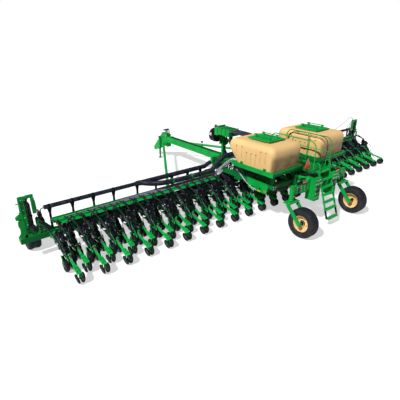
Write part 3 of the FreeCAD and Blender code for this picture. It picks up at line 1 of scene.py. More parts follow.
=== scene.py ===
import bpy
import bmesh
import json
import math
import random
from mathutils import Matrix, Vector
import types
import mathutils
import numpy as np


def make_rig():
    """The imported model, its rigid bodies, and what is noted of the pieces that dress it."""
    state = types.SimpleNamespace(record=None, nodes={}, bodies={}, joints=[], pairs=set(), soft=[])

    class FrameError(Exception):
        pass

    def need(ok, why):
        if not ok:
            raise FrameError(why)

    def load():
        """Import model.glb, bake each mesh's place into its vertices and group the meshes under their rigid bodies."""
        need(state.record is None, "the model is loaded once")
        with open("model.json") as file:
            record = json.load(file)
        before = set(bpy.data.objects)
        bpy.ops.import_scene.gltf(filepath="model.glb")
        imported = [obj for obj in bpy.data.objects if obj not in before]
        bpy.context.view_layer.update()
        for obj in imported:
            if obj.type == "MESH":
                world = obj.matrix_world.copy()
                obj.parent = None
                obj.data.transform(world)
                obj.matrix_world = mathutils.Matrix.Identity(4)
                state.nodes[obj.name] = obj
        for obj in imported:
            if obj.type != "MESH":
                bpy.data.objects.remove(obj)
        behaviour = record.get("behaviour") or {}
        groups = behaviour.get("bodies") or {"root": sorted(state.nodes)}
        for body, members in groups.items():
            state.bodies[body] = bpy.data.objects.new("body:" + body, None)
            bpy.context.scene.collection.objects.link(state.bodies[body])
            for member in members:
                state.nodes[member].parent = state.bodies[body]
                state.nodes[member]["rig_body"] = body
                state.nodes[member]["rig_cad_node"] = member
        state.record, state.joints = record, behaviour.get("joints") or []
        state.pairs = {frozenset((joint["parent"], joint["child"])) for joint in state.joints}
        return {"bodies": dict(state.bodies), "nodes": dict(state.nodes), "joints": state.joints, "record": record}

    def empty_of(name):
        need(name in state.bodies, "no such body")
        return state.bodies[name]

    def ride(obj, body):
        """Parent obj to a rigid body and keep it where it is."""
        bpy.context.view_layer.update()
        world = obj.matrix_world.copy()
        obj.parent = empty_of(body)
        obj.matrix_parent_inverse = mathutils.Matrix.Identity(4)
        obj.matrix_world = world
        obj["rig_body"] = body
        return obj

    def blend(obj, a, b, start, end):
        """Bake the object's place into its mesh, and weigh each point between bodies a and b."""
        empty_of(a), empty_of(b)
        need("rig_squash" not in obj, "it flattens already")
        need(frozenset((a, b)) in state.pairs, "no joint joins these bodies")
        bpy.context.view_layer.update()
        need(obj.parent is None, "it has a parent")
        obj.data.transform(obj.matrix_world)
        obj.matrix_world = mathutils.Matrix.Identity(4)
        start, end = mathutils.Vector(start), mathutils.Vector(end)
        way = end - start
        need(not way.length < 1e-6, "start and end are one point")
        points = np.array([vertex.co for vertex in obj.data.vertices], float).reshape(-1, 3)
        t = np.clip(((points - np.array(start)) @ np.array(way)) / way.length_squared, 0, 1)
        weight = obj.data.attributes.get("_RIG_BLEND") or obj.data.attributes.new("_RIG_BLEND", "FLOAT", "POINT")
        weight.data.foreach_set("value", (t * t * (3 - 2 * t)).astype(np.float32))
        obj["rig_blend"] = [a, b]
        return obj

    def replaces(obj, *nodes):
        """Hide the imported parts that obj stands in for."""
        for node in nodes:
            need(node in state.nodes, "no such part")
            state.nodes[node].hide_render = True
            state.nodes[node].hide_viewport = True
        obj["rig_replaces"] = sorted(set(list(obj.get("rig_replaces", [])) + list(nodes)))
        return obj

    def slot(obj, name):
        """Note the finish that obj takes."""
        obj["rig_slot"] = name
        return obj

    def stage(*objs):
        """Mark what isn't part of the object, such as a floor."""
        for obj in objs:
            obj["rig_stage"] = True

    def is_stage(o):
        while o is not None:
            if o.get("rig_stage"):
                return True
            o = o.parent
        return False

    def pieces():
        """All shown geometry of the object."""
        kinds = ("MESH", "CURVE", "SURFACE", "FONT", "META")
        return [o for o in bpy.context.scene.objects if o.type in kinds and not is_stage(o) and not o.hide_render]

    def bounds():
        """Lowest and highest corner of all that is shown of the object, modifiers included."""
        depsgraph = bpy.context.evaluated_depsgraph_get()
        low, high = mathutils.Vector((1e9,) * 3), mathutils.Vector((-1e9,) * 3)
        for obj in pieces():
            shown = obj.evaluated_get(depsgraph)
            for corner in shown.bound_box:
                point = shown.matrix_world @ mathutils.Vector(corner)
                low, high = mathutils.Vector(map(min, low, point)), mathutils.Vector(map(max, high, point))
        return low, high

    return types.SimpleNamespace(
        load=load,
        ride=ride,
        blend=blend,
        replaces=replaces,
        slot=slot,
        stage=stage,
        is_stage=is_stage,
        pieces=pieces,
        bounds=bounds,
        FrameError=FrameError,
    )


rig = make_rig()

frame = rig.load()
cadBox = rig.bounds()

# All sizes are metres. +X is to the machine's right, +Y the way it travels, Z up from the floor.
barY = -1.3325  # the toolbar's centreline
plateTop = 0.812  # top of the plates that lie on the toolbar
kingpin = (1.62, -3.91)  # where a caster swivels, on the right side
layout = {"pitch": 0.762, "setback": 0.4, "barRear": -0.12, "unitPlate": 0.052}
sides = ((-1, "left"), (1, "right"))


def newMaterial(name):
    mat = bpy.data.materials.new(name)
    mat.use_nodes = True
    tree = mat.node_tree
    shader = tree.nodes["Principled BSDF"]
    place = tree.nodes.new("ShaderNodeTexCoord")
    return mat, tree, shader, place.outputs["Object"]


def noiseOf(tree, where, scale, detail=4.0, roughness=0.55, stretch=(1, 1, 1)):
    source = where
    if stretch != (1, 1, 1):
        mapping = tree.nodes.new("ShaderNodeMapping")
        mapping.inputs["Scale"].default_value = stretch
        tree.links.new(where, mapping.inputs["Vector"])
        source = mapping.outputs["Vector"]
    noise = tree.nodes.new("ShaderNodeTexNoise")
    noise.inputs["Scale"].default_value = scale
    noise.inputs["Detail"].default_value = detail
    noise.inputs["Roughness"].default_value = roughness
    tree.links.new(source, noise.inputs["Vector"])
    return noise.outputs["Fac"]


def rampOf(tree, fac, stops):
    ramp = tree.nodes.new("ShaderNodeValToRGB")
    tree.links.new(fac, ramp.inputs["Fac"])
    cells = ramp.color_ramp.elements
    while len(cells) < len(stops):
        cells.new(0.5)
    for cell, (at, colour) in zip(cells, stops):
        cell.position = at
        cell.color = (*colour, 1)
    return ramp.outputs["Color"]


def rangeOf(tree, fac, low, high, outLow, outHigh):
    node = tree.nodes.new("ShaderNodeMapRange")
    for key, value in (("From Min", low), ("From Max", high), ("To Min", outLow), ("To Max", outHigh)):
        node.inputs[key].default_value = value
    tree.links.new(fac, node.inputs["Value"])
    return node.outputs["Result"]


def blendOf(tree, fac, first, second):
    node = tree.nodes.new("ShaderNodeMix")
    node.data_type = "RGBA"
    tree.links.new(fac, node.inputs["Factor"])
    for socket, value in ((node.inputs[6], first), (node.inputs[7], second)):
        if isinstance(value, tuple):
            socket.default_value = (*value, 1)
        else:
            tree.links.new(value, socket)
    return node.outputs[2]


def bumpOf(tree, shader, height, strength, distance):
    bump = tree.nodes.new("ShaderNodeBump")
    bump.inputs["Strength"].default_value = strength
    bump.inputs["Distance"].default_value = distance
    tree.links.new(height, bump.inputs["Height"])
    tree.links.new(bump.outputs["Normal"], shader.inputs["Normal"])


def axisOf(tree, where, axis):
    split = tree.nodes.new("ShaderNodeSeparateXYZ")
    tree.links.new(where, split.inputs["Vector"])
    return split.outputs[axis]


def mathOf(tree, operation, *values):
    node = tree.nodes.new("ShaderNodeMath")
    node.operation = operation
    for socket, value in zip(node.inputs, values):
        if isinstance(value, (int, float)):
            socket.default_value = value
        else:
            tree.links.new(value, socket)
    return node.outputs[0]


def tint(colour, by):
    return tuple(min(1, c * by) for c in colour)


def surface(tree, shader, tone, rough, shine=0.5):
    # colour, roughness (one number, or a socket that varies it) and shine
    tree.links.new(tone, shader.inputs["Base Color"])
    if isinstance(rough, float):
        shader.inputs["Roughness"].default_value = rough
    else:
        tree.links.new(rough, shader.inputs["Roughness"])
    shader.inputs["Specular IOR Level"].default_value = shine


def enamel(name, colour, dust=(0.2, 0.2, 0.13), dustTop=0.7, rough=0.4):
    mat, tree, shader, where = newMaterial(name)
    cloud = noiseOf(tree, where, 1.7, 5)
    speck = noiseOf(tree, where, 23, 6, 0.7)
    tone = rampOf(tree, cloud, [(0.28, tint(colour, 0.74)), (0.52, colour), (0.78, tint(colour, 1.16))])
    low = rangeOf(tree, axisOf(tree, where, "Z"), 0.0, dustTop, 0.42, 0.03)
    patch = rangeOf(tree, speck, 0.42, 0.72, 0.0, 1.0)
    surface(tree, shader, blendOf(tree, mathOf(tree, "MULTIPLY", low, patch), tone, dust),
            rangeOf(tree, speck, 0.3, 0.7, rough - 0.07, rough + 0.16), 0.14)
    bumpOf(tree, shader, noiseOf(tree, where, 160, 2), 0.05, 0.002)
    return mat


def mouldedPlastic(name, colour, deep, rough=0.42, grain=90, lowZ=2.2, highZ=2.9, shine=0.3, dirtAndShade=0.0):
    mat, tree, shader, where = newMaterial(name)
    mottle = noiseOf(tree, where, 1.1, 3, 0.5)
    fleck = noiseOf(tree, where, 42, 5, 0.65)
    tone = rampOf(tree, mottle, [(0.25, tint(colour, 0.9)), (0.55, colour), (0.8, tint(colour, 1.07))])
    # darker towards the bottom, by height: partly dust, partly painted shade on the low parts and the tank cone
    tone = blendOf(tree, rangeOf(tree, axisOf(tree, where, "Z"), lowZ, highZ, 0.3, 0.0), tone, deep)
    tone = blendOf(tree, rangeOf(tree, fleck, 0.62, 0.78, 0.0, 0.16), tone, deep)
    if dirtAndShade:    # darker patches low on the faces that look back: partly field dirt, partly painted shade on the rear faces the sun misses
        dirtShadeMask = rangeOf(tree, noiseOf(tree, where, 2.6, 6, 0.6), 0.35, 0.6, 0.55, 1.0)
        height = rangeOf(tree, axisOf(tree, where, "Z"), 2.6, 2.78, dirtAndShade, 0.0)
        facing = tree.nodes.new("ShaderNodeNewGeometry").outputs["Normal"]
        behind = rangeOf(tree, axisOf(tree, facing, "Y"), -0.85, -0.5, 1.0, 0.0)
        for part in (height, behind):
            dirtShadeMask = mathOf(tree, "MULTIPLY", dirtShadeMask, part)
        tone = blendOf(tree, dirtShadeMask, tone, tint(deep, 0.55))
    surface(tree, shader, tone, rangeOf(tree, fleck, 0.3, 0.7, rough - 0.06, rough + 0.14), shine)
    bumpOf(tree, shader, noiseOf(tree, where, grain, 3), 0.12, 0.004)
    return mat


def rubber(name, colour, dusty):
    mat, tree, shader, where = newMaterial(name)
    cloud = noiseOf(tree, where, 6, 6, 0.65)
    fine = noiseOf(tree, where, 120, 3)
    tone = blendOf(tree, rangeOf(tree, cloud, 0.45, 0.83, 0.0, 0.75), colour, dusty)
    surface(tree, shader, tone, rangeOf(tree, fine, 0.3, 0.7, 0.52, 0.74), 0.22)
    bumpOf(tree, shader, fine, 0.25, 0.002)
    return mat


def ribbedHose(name, colour, dusty, ribsPerMetre, rough=0.4, depth=0.6):
    mat, tree, shader, where = newMaterial(name)
    run = axisOf(tree, tree.nodes.new("ShaderNodeUVMap").outputs["UV"], "X")
    wave = mathOf(tree, "SINE", mathOf(tree, "MULTIPLY", run, ribsPerMetre * 2 * math.pi))
    cloud = noiseOf(tree, where, 5, 5, 0.6)
    # painted shade: the colour darkens in the grooves between the ribs
    grooveShade = rangeOf(tree, wave, -1, 0.2, 0.62, 0.0)
    tone = blendOf(tree, rangeOf(tree, cloud, 0.45, 0.8, 0.0, 0.6), colour, dusty)
    surface(tree, shader, blendOf(tree, grooveShade, tone, tint(colour, 0.35)), rough, 0.3)
    bumpOf(tree, shader, wave, depth, 0.006)
    return mat


def wornSteel(name, colour, rust, rough=0.34):
    mat, tree, shader, where = newMaterial(name)
    cloud = noiseOf(tree, where, 11, 6, 0.7)
    streak = noiseOf(tree, where, 60, 3, 0.5, (1, 0.15, 1))
    stain = rangeOf(tree, cloud, 0.5, 0.74, 0.0, 0.65)
    surface(tree, shader, blendOf(tree, stain, colour, rust),
            rangeOf(tree, streak, 0.3, 0.7, rough - 0.1, rough + 0.2))
    shader.inputs["Metallic"].default_value = 0.85
    bumpOf(tree, shader, streak, 0.1, 0.001)
    return mat


def reflector(name, colour, cells=150, coat=0.8):
    mat, tree, shader, where = newMaterial(name)
    cell = tree.nodes.new("ShaderNodeTexVoronoi")
    cell.inputs["Scale"].default_value = cells
    tree.links.new(where, cell.inputs["Vector"])
    bright = tuple(min(1, c * 1.5 + 0.03) for c in colour)
    surface(tree, shader, rampOf(tree, cell.outputs["Distance"], [(0.0, bright), (0.6, colour)]), 0.22)
    shader.inputs["Coat Weight"].default_value = coat
    bumpOf(tree, shader, cell.outputs["Distance"], 0.3, 0.002)
    return mat


finishes = {
    # the green paint comes in four copies: the second and third are darker, painted shade for the frame, wing tubes,
    # trims, marker parts and the row units' fronts; the fourth is lighter, painted light for the closing arms, row
    # frames and tray lip
    "green": enamel("greenEnamel", (0.001, 0.345, 0.052)),
    "deepGreen": enamel("frameGreenEnamel", (0.001, 0.15, 0.032), rough=0.45),
    "frontGreen": enamel("unitFrameEnamel", (0.001, 0.255, 0.045), dustTop=0.35),
    "unitGreen": enamel("unitGreenEnamel", (0.001, 0.43, 0.068), dustTop=0.35),
    "cream": enamel("rimEnamel", (0.92, 0.6, 0.26), dust=(0.22, 0.17, 0.1), dustTop=1.4),
    "tank": mouldedPlastic("tankWall", (0.82, 0.53, 0.225), (0.36, 0.21, 0.085), dirtAndShade=0.9),
    "black": mouldedPlastic("blackPlastic", (0.0035, 0.004, 0.008), (0.016, 0.016, 0.018), 0.36, 70, 0.1, 0.9, 0.17),
    "slate": mouldedPlastic("slatePlastic", (0.01, 0.013, 0.022), (0.03, 0.03, 0.032), 0.4, 60, 0.1, 0.9, 0.35),
    "tyre": rubber("tyreRubber", (0.012, 0.014, 0.019), (0.046, 0.045, 0.043)),
    "wheel": rubber("smallWheelRubber", (0.0035, 0.004, 0.006), (0.018, 0.017, 0.016)),
    "hose": ribbedHose("blackHose", (0.005, 0.006, 0.011), (0.025, 0.025, 0.03), 60),
    "duct": ribbedHose("airDuctHose", (0.012, 0.016, 0.03), (0.05, 0.054, 0.07), 30, 0.36),
    "paleHose": ribbedHose("paleSeedHose", (0.62, 0.65, 0.7), (0.45, 0.44, 0.42), 40, 0.3, 0.25),
    "trayHose": ribbedHose("greySeedHose", (0.25, 0.27, 0.37), (0.14, 0.15, 0.19), 40, 0.35, 0.3),
    "greyWire": ribbedHose("greyCable", (0.2, 0.22, 0.26), (0.12, 0.12, 0.13), 40, 0.45, 0.3),
    "steel": wornSteel("wornSteel", (0.52, 0.53, 0.55), (0.16, 0.09, 0.05)),
    "zinc": wornSteel("zincPlate", (0.62, 0.63, 0.66), (0.36, 0.34, 0.3), 0.42),
    "amber": reflector("amberReflector", (0.95, 0.42, 0.01)),
    "red": reflector("redReflector", (0.75, 0.02, 0.01)),
    "orange": reflector("orangeSheet", (0.96, 0.05, 0.008), 90, 0.25),
    "hole": mouldedPlastic("innerShadow", (0.004, 0.01, 0.006), (0.01, 0.02, 0.01), 0.7, 40),
}

nodeFinish = {
    "tank": ["left_seed_hopper", "right_seed_hopper"],
    "cream": ["left_caster_rim", "right_caster_rim"],
    "tyre": ["left_caster_tyre", "right_caster_tyre", "left_main_wheel", "right_main_wheel",
             "left_wing_wheel", "right_wing_wheel"],
    "wheel": ["left_row_wheels", "right_row_wheels", "centre_row_wheels"],
    "duct": ["air_hoses", "left_hinge_hoses", "right_hinge_hoses", "centre_duct"],
    "black": ["left_seed_meters", "right_seed_meters", "centre_seed_meters", "fan_housing", "fan_rotor",
              "left_air_manifold", "right_air_manifold"],
    "steel": ["left_opener_discs", "right_opener_discs", "centre_opener_discs"],
    "orange": ["slow_vehicle_sign"],
    "unitGreen": ["left_row_frames", "right_row_frames", "centre_row_frames"],
    "deepGreen": ["main_frame", "hopper_frame", "walkway", "seed_boxes"],
}
finishOf = {node: key for key, nodes in nodeFinish.items() for node in nodes}
for name, obj in frame["nodes"].items():
    obj.data.materials.clear()
    obj.data.materials.append(finishes[finishOf.get(name, "green")])
print("finishes on", len(frame["nodes"]), "frame pieces")


def tubeFaces(n, rows=2):
    # faces of a closed tube whose outlines have n points: both ends, then round between each outline and the next
    last = (rows - 1) * n
    between = [[k + i, k + (i + 1) % n, k + n + (i + 1) % n, k + n + i] for k in range(0, last, n) for i in range(n)]
    return [list(range(n)), list(range(last, last + n))] + between


class Shape:
    # gathers closed parts into one mesh; Y is measured from the toolbar's centreline
    def __init__(self):
        self.mesh = bmesh.new()

    def faces(self, verts, loops, smooth=False, sharp=()):
        made = [self.mesh.verts.new(v) for v in verts]
        new = []
        for loop in loops:
            try:
                face = self.mesh.faces.new([made[i] for i in loop])
            except ValueError:
                continue
            face.smooth = smooth if isinstance(smooth, bool) else len(new) in smooth
            new.append(face)
        for ring in sharp:
            for i, j in zip(ring, ring[1:] + ring[:1]):
                edge = self.mesh.edges.get((made[i], made[j]))
                if edge:
                    edge.smooth = False
        bmesh.ops.recalc_face_normals(self.mesh, faces=new)
        return self

    def prism(self, outline, axis, low, high):
        def point(u, v, w):
            return {"x": (w, u, v), "y": (u, w, v), "z": (u, v, w)}[axis]
        return self.faces([point(u, v, w) for w in (low, high) for u, v in outline], tubeFaces(len(outline)))

    def plates(self, outline, near, far):
        # the same plate on both sides of the middle plane
        for side in (-1, 1):
            self.prism(outline, "x", *sorted((side * near, side * far)))
        return self

    def box(self, x0, x1, y0, y1, z0, z1):
        return self.prism([(x0, y0), (x1, y0), (x1, y1), (x0, y1)], "z", z0, z1)

    def boxes(self, *rows):
        for row in rows:
            self.box(*row)
        return self

    def beam(self, start, end, wide, deep, up=(0, 0, 1)):
        # a straight bar: wide is across it, deep is along up
        a, b = Vector(start), Vector(end)
        along = (b - a).normalized()
        side = along.cross(Vector(up)).normalized() * wide / 2
        rise = side.cross(along).normalized() * deep / 2
        corners = ((-1, -1), (1, -1), (1, 1), (-1, 1))
        return self.faces([p + side * s + rise * t for p in (a, b) for s, t in corners], tubeFaces(4))

    def turned(self, profile, centre, axis, sides=16, ring=False):
        # profile: (distance along the axis, radius); ring joins the last point to the first
        axis = Vector(axis).normalized()
        aside = axis.orthogonal().normalized() if abs(axis.x) < 0.9 else Vector((0, 0, 1))
        aside = (aside - axis * aside.dot(axis)).normalized()
        across = axis.cross(aside)
        verts, rows = [], []
        for along, radius in profile:
            if radius < 1e-6:
                rows.append([len(verts)])
                verts.append(Vector(centre) + axis * along)
                continue
            rows.append(list(range(len(verts), len(verts) + sides)))
            for k in range(sides):
                angle = 2 * math.pi * k / sides
                ray = aside * math.cos(angle) + across * math.sin(angle)
                verts.append(Vector(centre) + axis * along + ray * radius)
        pairs = list(zip(rows, rows[1:])) + ([(rows[-1], rows[0])] if ring else [])
        loops = []
        for one, two in pairs:
            for k in range(sides):
                m = (k + 1) % sides
                if len(one) == 1:
                    loops.append([one[0], two[k], two[m]])
                elif len(two) == 1:
                    loops.append([one[k], one[m], two[0]])
                else:
                    loops.append([one[k], one[m], two[m], two[k]])
        sharp = []
        count = len(profile)
        for i, row in enumerate(rows):
            before, here, after = profile[i - 1], profile[i], profile[(i + 1) % count]
            if len(row) == 1 or (not ring and i in (0, count - 1)):
                continue
            first = Vector((here[0] - before[0], here[1] - before[1]))
            second = Vector((after[0] - here[0], after[1] - here[1]))
            if first.length > 1e-6 and second.length > 1e-6 and first.angle(second) > math.radians(38):
                sharp.append(row)
        return self.faces(verts, loops, True, sharp)

    def rod(self, start, end, radius, sides=12):
        along = Vector(end) - Vector(start)
        return self.turned([(0, 0), (0, radius), (along.length, radius), (along.length, 0)], start, along, sides)

    def rods(self, *rows):
        for row in rows:
            self.rod(*row)
        return self

    def disc(self, centre, axis, inner, outer, thick, sides=20):
        # flat ring or washer, centred on its thickness
        h = thick / 2
        return self.turned([(-h, inner), (-h, outer), (h, outer), (h, inner)], centre, axis, sides, True)

    def path(self, points, radius, sides=8, arc=0.3, steps=4):
        # round bar through the points, with a fillet at each corner
        pts = [Vector(p) for p in points]
        line = [pts[0]]
        for before, here, after in zip(pts, pts[1:], pts[2:]):
            reach = arc * min((here - before).length, (after - here).length)
            one = here + (before - here).normalized() * reach
            two = here + (after - here).normalized() * reach
            for k in range(steps + 1):
                t = k / steps
                line.append(one * (1 - t) ** 2 + here * 2 * t * (1 - t) + two * t * t)
        line.append(pts[-1])
        side = (line[1] - line[0]).orthogonal().normalized()
        verts, loops = [], []
        for i, p in enumerate(line):
            ahead = (line[min(i + 1, len(line) - 1)] - line[max(i - 1, 0)]).normalized()
            side = (side - ahead * side.dot(ahead)).normalized()
            other = ahead.cross(side)
            verts += [p + (side * math.cos(a) + other * math.sin(a)) * radius
                      for a in (2 * math.pi * k / sides for k in range(sides))]
        for i in range(len(line) - 1):
            loops += [[i * sides + k, i * sides + (k + 1) % sides, (i + 1) * sides + (k + 1) % sides,
                       (i + 1) * sides + k] for k in range(sides)]
        count = len(loops)
        first, last = list(range(sides)), list(range((len(line) - 1) * sides, len(line) * sides))
        return self.faces(verts, loops + [first, last], set(range(count)), [first, last])

    def bevel(self, width):
        edges = [e for e in self.mesh.edges
                 if len(e.link_faces) == 2 and e.smooth and e.calc_face_angle(0) > math.radians(40)]
        bmesh.ops.bevel(self.mesh, geom=edges, offset=width, segments=1, affect="EDGES", clamp_overlap=True,
                        profile=0.6)
        return self

    def add(self, other, matrix=None):
        # other's parts, moved by matrix; a matrix that mirrors has its faces turned round again
        copy = other.mesh.copy()
        if matrix is not None:
            copy.transform(matrix)
            if matrix.determinant() < 0:
                bmesh.ops.reverse_faces(copy, faces=copy.faces)
        spare = bpy.data.meshes.new("spare")
        copy.to_mesh(spare)
        copy.free()
        self.mesh.from_mesh(spare)
        bpy.data.meshes.remove(spare)
        return self

    def mirrored(self):
        return Shape().add(self, Matrix.Diagonal((-1, 1, 1, 1)))

    def bothSides(self):
        return self.add(self.mirrored())

    def data(self, name):
        data = bpy.data.meshes.new(name)
        bmesh.ops.triangulate(self.mesh, faces=[f for f in self.mesh.faces if len(f.verts) > 4])
        self.mesh.to_mesh(data)
        return data


def place(x, y, z):
    return Matrix.Translation((x, y, z))


slotFinishes = {"tank_plastic": ["tank"], "rim_paint": ["cream"], "tyre": ["tyre"], "bare_steel": ["steel", "zinc"],
                "black_rubber": ["wheel", "hose", "duct", "greyWire", "paleHose", "trayHose"],
                "sign_orange": ["orange", "red", "amber"], "black_plastic": ["black", "slate", "hole"]}
slots = {finish: slot for slot, used in slotFinishes.items() for finish in used}


def settle(obj, finish, body, stands):
    # the last step of every piece: its place goes into its mesh, and it gets a finish and a body
    obj.data.transform(place(0, barY, 0))
    if finish and not obj.data.materials:
        obj.data.materials.append(finishes[finish])
    if obj.name not in bpy.context.scene.collection.objects:
        bpy.context.scene.collection.objects.link(obj)
    if body:    # a piece without one is blended between two bodies by its maker
        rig.ride(obj, body)
    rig.slot(obj, slots.get(finish, "green_paint"))
    if stands:
        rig.replaces(obj, *stands)
    return obj


def piece(name, shape, finish, bevel=0.0, body="centre_frame", stands=()):
    obj = bpy.data.objects.new(name, shape.data(name))
    if bevel:
        soft = obj.modifiers.new("edges", "BEVEL")
        soft.width = bevel
        soft.limit_method = "ANGLE"
        soft.angle_limit = math.radians(40)
    return settle(obj, finish, body, stands)


def newTree(name, inputs):
    # a geometry tree with one mesh in, one mesh out, and the named inputs
    tree = bpy.data.node_groups.new(name, "GeometryNodeTree")
    tree.interface.new_socket("Geometry", in_out="INPUT", socket_type="NodeSocketGeometry")
    tree.interface.new_socket("Geometry", in_out="OUTPUT", socket_type="NodeSocketGeometry")
    for label, kind in inputs:
        tree.interface.new_socket(label, in_out="INPUT", socket_type="NodeSocket" + kind)
    return tree, tree.nodes.new("NodeGroupInput"), tree.nodes.new("NodeGroupOutput")


def finishTree(tree, given, result, geometry):
    # every tree ends in Realize Instances and Set Material
    whole = tree.nodes.new("GeometryNodeRealizeInstances")
    paint = tree.nodes.new("GeometryNodeSetMaterial")
    linked(tree, (geometry, whole.inputs["Geometry"]), (whole.outputs["Geometry"], paint.inputs["Geometry"]),
           (given.outputs["Finish"], paint.inputs["Material"]), (paint.outputs["Geometry"], result.inputs["Geometry"]))


def linked(tree, *pairs):
    for start, end in pairs:
        tree.links.new(start, end)


def named(tree, name, kind):
    node = tree.nodes.new("GeometryNodeInputNamedAttribute")
    node.data_type = kind
    node.inputs["Name"].default_value = name
    return node.outputs["Attribute"]


def repeatTree():
    # a copy of Part at each point, turned and sized by the point's own turn and size
    tree, given, result = newTree("repeatPart", [("Part", "Object"), ("Finish", "Material"), ("Scale", "Float")])
    info = tree.nodes.new("GeometryNodeObjectInfo")
    info.inputs["As Instance"].default_value = True
    onPoints = tree.nodes.new("GeometryNodeInstanceOnPoints")
    turn = tree.nodes.new("FunctionNodeEulerToRotation")
    size = tree.nodes.new("ShaderNodeVectorMath")
    size.operation = "SCALE"
    linked(tree, (given.outputs["Part"], info.inputs["Object"]),
           (given.outputs["Geometry"], onPoints.inputs["Points"]),
           (info.outputs["Geometry"], onPoints.inputs["Instance"]),
           (named(tree, "turn", "FLOAT_VECTOR"), turn.inputs["Euler"]),
           (turn.outputs["Rotation"], onPoints.inputs["Rotation"]),
           (named(tree, "size", "FLOAT_VECTOR"), size.inputs[0]), (given.outputs["Scale"], size.inputs["Scale"]),
           (size.outputs["Vector"], onPoints.inputs["Scale"]))
    finishTree(tree, given, result, onPoints.outputs["Instances"])
    return tree


def hoseTree():
    # a round hose along each chain of edges, ringed along its length
    tree, given, result = newTree("ringedHose", [
        ("Radius", "Float"), ("Ring pitch", "Float"), ("Ring depth", "Float"), ("Step", "Float"),
        ("Sides", "Int"), ("Finish", "Material")])
    chain = tree.nodes.new("GeometryNodeMeshToCurve")
    smooth = tree.nodes.new("GeometryNodeCurveSplineType")
    smooth.spline_type = "CATMULL_ROM"
    fine = tree.nodes.new("GeometryNodeSetSplineResolution")
    fine.inputs["Resolution"].default_value = 10
    even = tree.nodes.new("GeometryNodeResampleCurve")
    even.mode = "LENGTH"
    run = tree.nodes.new("GeometryNodeSplineParameter")
    keep = tree.nodes.new("GeometryNodeStoreNamedAttribute")
    keep.data_type, keep.domain = "FLOAT", "POINT"
    keep.inputs["Name"].default_value = "run"
    ring = tree.nodes.new("GeometryNodeCurvePrimitiveCircle")
    skin = tree.nodes.new("GeometryNodeCurveToMesh")
    skin.inputs["Fill Caps"].default_value = True
    shade = tree.nodes.new("GeometryNodeSetShadeSmooth")
    uv = tree.nodes.new("GeometryNodeStoreNamedAttribute")
    uv.data_type, uv.domain = "FLOAT2", "CORNER"
    uv.inputs["Name"].default_value = "UVMap"
    flat = tree.nodes.new("ShaderNodeCombineXYZ")

    runLength = named(tree, "run", "FLOAT")
    turns = mathOf(tree, "DIVIDE", mathOf(tree, "MULTIPLY", runLength, 2 * math.pi), given.outputs["Ring pitch"])
    depth = mathOf(tree, "MULTIPLY", mathOf(tree, "SINE", turns), given.outputs["Ring depth"])
    size = mathOf(tree, "ADD", depth, 1.0)
    linked(tree, (given.outputs["Geometry"], chain.inputs["Mesh"]), (chain.outputs["Curve"], smooth.inputs["Curve"]),
           (smooth.outputs["Curve"], fine.inputs["Geometry"]), (fine.outputs["Geometry"], even.inputs["Curve"]),
           (given.outputs["Step"], even.inputs["Length"]), (even.outputs["Curve"], keep.inputs["Geometry"]),
           (run.outputs["Length"], keep.inputs["Value"]), (given.outputs["Sides"], ring.inputs["Resolution"]),
           (given.outputs["Radius"], ring.inputs["Radius"]), (keep.outputs["Geometry"], skin.inputs["Curve"]),
           (ring.outputs["Curve"], skin.inputs["Profile Curve"]), (size, skin.inputs["Scale"]),
           (skin.outputs["Mesh"], shade.inputs["Geometry"]), (shade.outputs["Geometry"], uv.inputs["Geometry"]),
           (runLength, flat.inputs["X"]), (flat.outputs["Vector"], uv.inputs["Value"]))
    finishTree(tree, given, result, uv.outputs["Geometry"])
    return tree


trees = {"repeat": repeatTree(), "hose": hoseTree()}


def grown(name, base, tree, values, finish, body, stands):
    # runs a tree on a base mesh and keeps the result as a plain mesh
    obj = bpy.data.objects.new(name, base)
    bpy.context.scene.collection.objects.link(obj)
    maker = obj.modifiers.new("maker", "NODES")
    maker.node_group = trees[tree]
    values = {**values, "Finish": finishes[finish]}
    for item in trees[tree].interface.items_tree:
        if item.item_type == "SOCKET" and item.in_out == "INPUT" and item.name in values:
            maker[item.identifier] = values[item.name]
    seen = obj.evaluated_get(bpy.context.evaluated_depsgraph_get())
    plain = bpy.data.meshes.new_from_object(seen)
    obj.modifiers.remove(maker)
    obj.data = plain
    bpy.data.meshes.remove(base)
    plain.name = name
    return settle(obj, finish, body, stands)


def repeated(name, shape, spots, finish, body="centre_frame", stands=()):
    # spots: a place for each copy, or (place, turn in degrees, size)
    spots = [s if isinstance(s[0], tuple) else (s, (0, 0, 0), 1) for s in spots]
    source = bpy.data.objects.new(name + ".source", shape.data(name + ".source"))
    bpy.context.scene.collection.objects.link(source)
    points = bpy.data.meshes.new(name)
    points.from_pydata([tuple(s[0]) for s in spots], [], [])
    turn = points.attributes.new("turn", "FLOAT_VECTOR", "POINT")
    size = points.attributes.new("size", "FLOAT_VECTOR", "POINT")
    for i, (_, angles, sizes) in enumerate(spots):
        turn.data[i].vector = [math.radians(a) for a in angles]
        size.data[i].vector = sizes if isinstance(sizes, tuple) else (sizes,) * 3
    obj = grown(name, points, "repeat", {"Part": source, "Scale": 1.0}, finish, body, stands)
    data = source.data
    bpy.data.objects.remove(source)
    bpy.data.meshes.remove(data)
    return obj


def plainHose(radius, step, sides=6):
    return {"radius": radius, "ringPitch": 1.0, "ringDepth": 0.0, "step": step, "sides": sides}


def mirroredTo(side, routes):
    # routes given for the right side, as they run on this side
    return [[(side * x, y, z) for x, y, z in route] for route in routes]


def sided(shape, side):
    return shape if side > 0 else shape.mirrored()


def hoses(name, routes, size, finish, body="centre_frame", stands=()):
    # one hose along each route; size: radius, ringPitch, ringDepth, step, sides
    base = bpy.data.meshes.new(name)
    verts, edges = [], []
    for route in routes:
        edges += [(len(verts) + k, len(verts) + k + 1) for k in range(len(route) - 1)]
        verts += [tuple(p) for p in route]
    base.from_pydata(verts, edges, [])
    values = {"Radius": size["radius"], "Ring pitch": size["ringPitch"], "Ring depth": size["ringDepth"],
              "Step": size["step"], "Sides": size["sides"]}
    return grown(name, base, "hose", values, finish, body, stands)


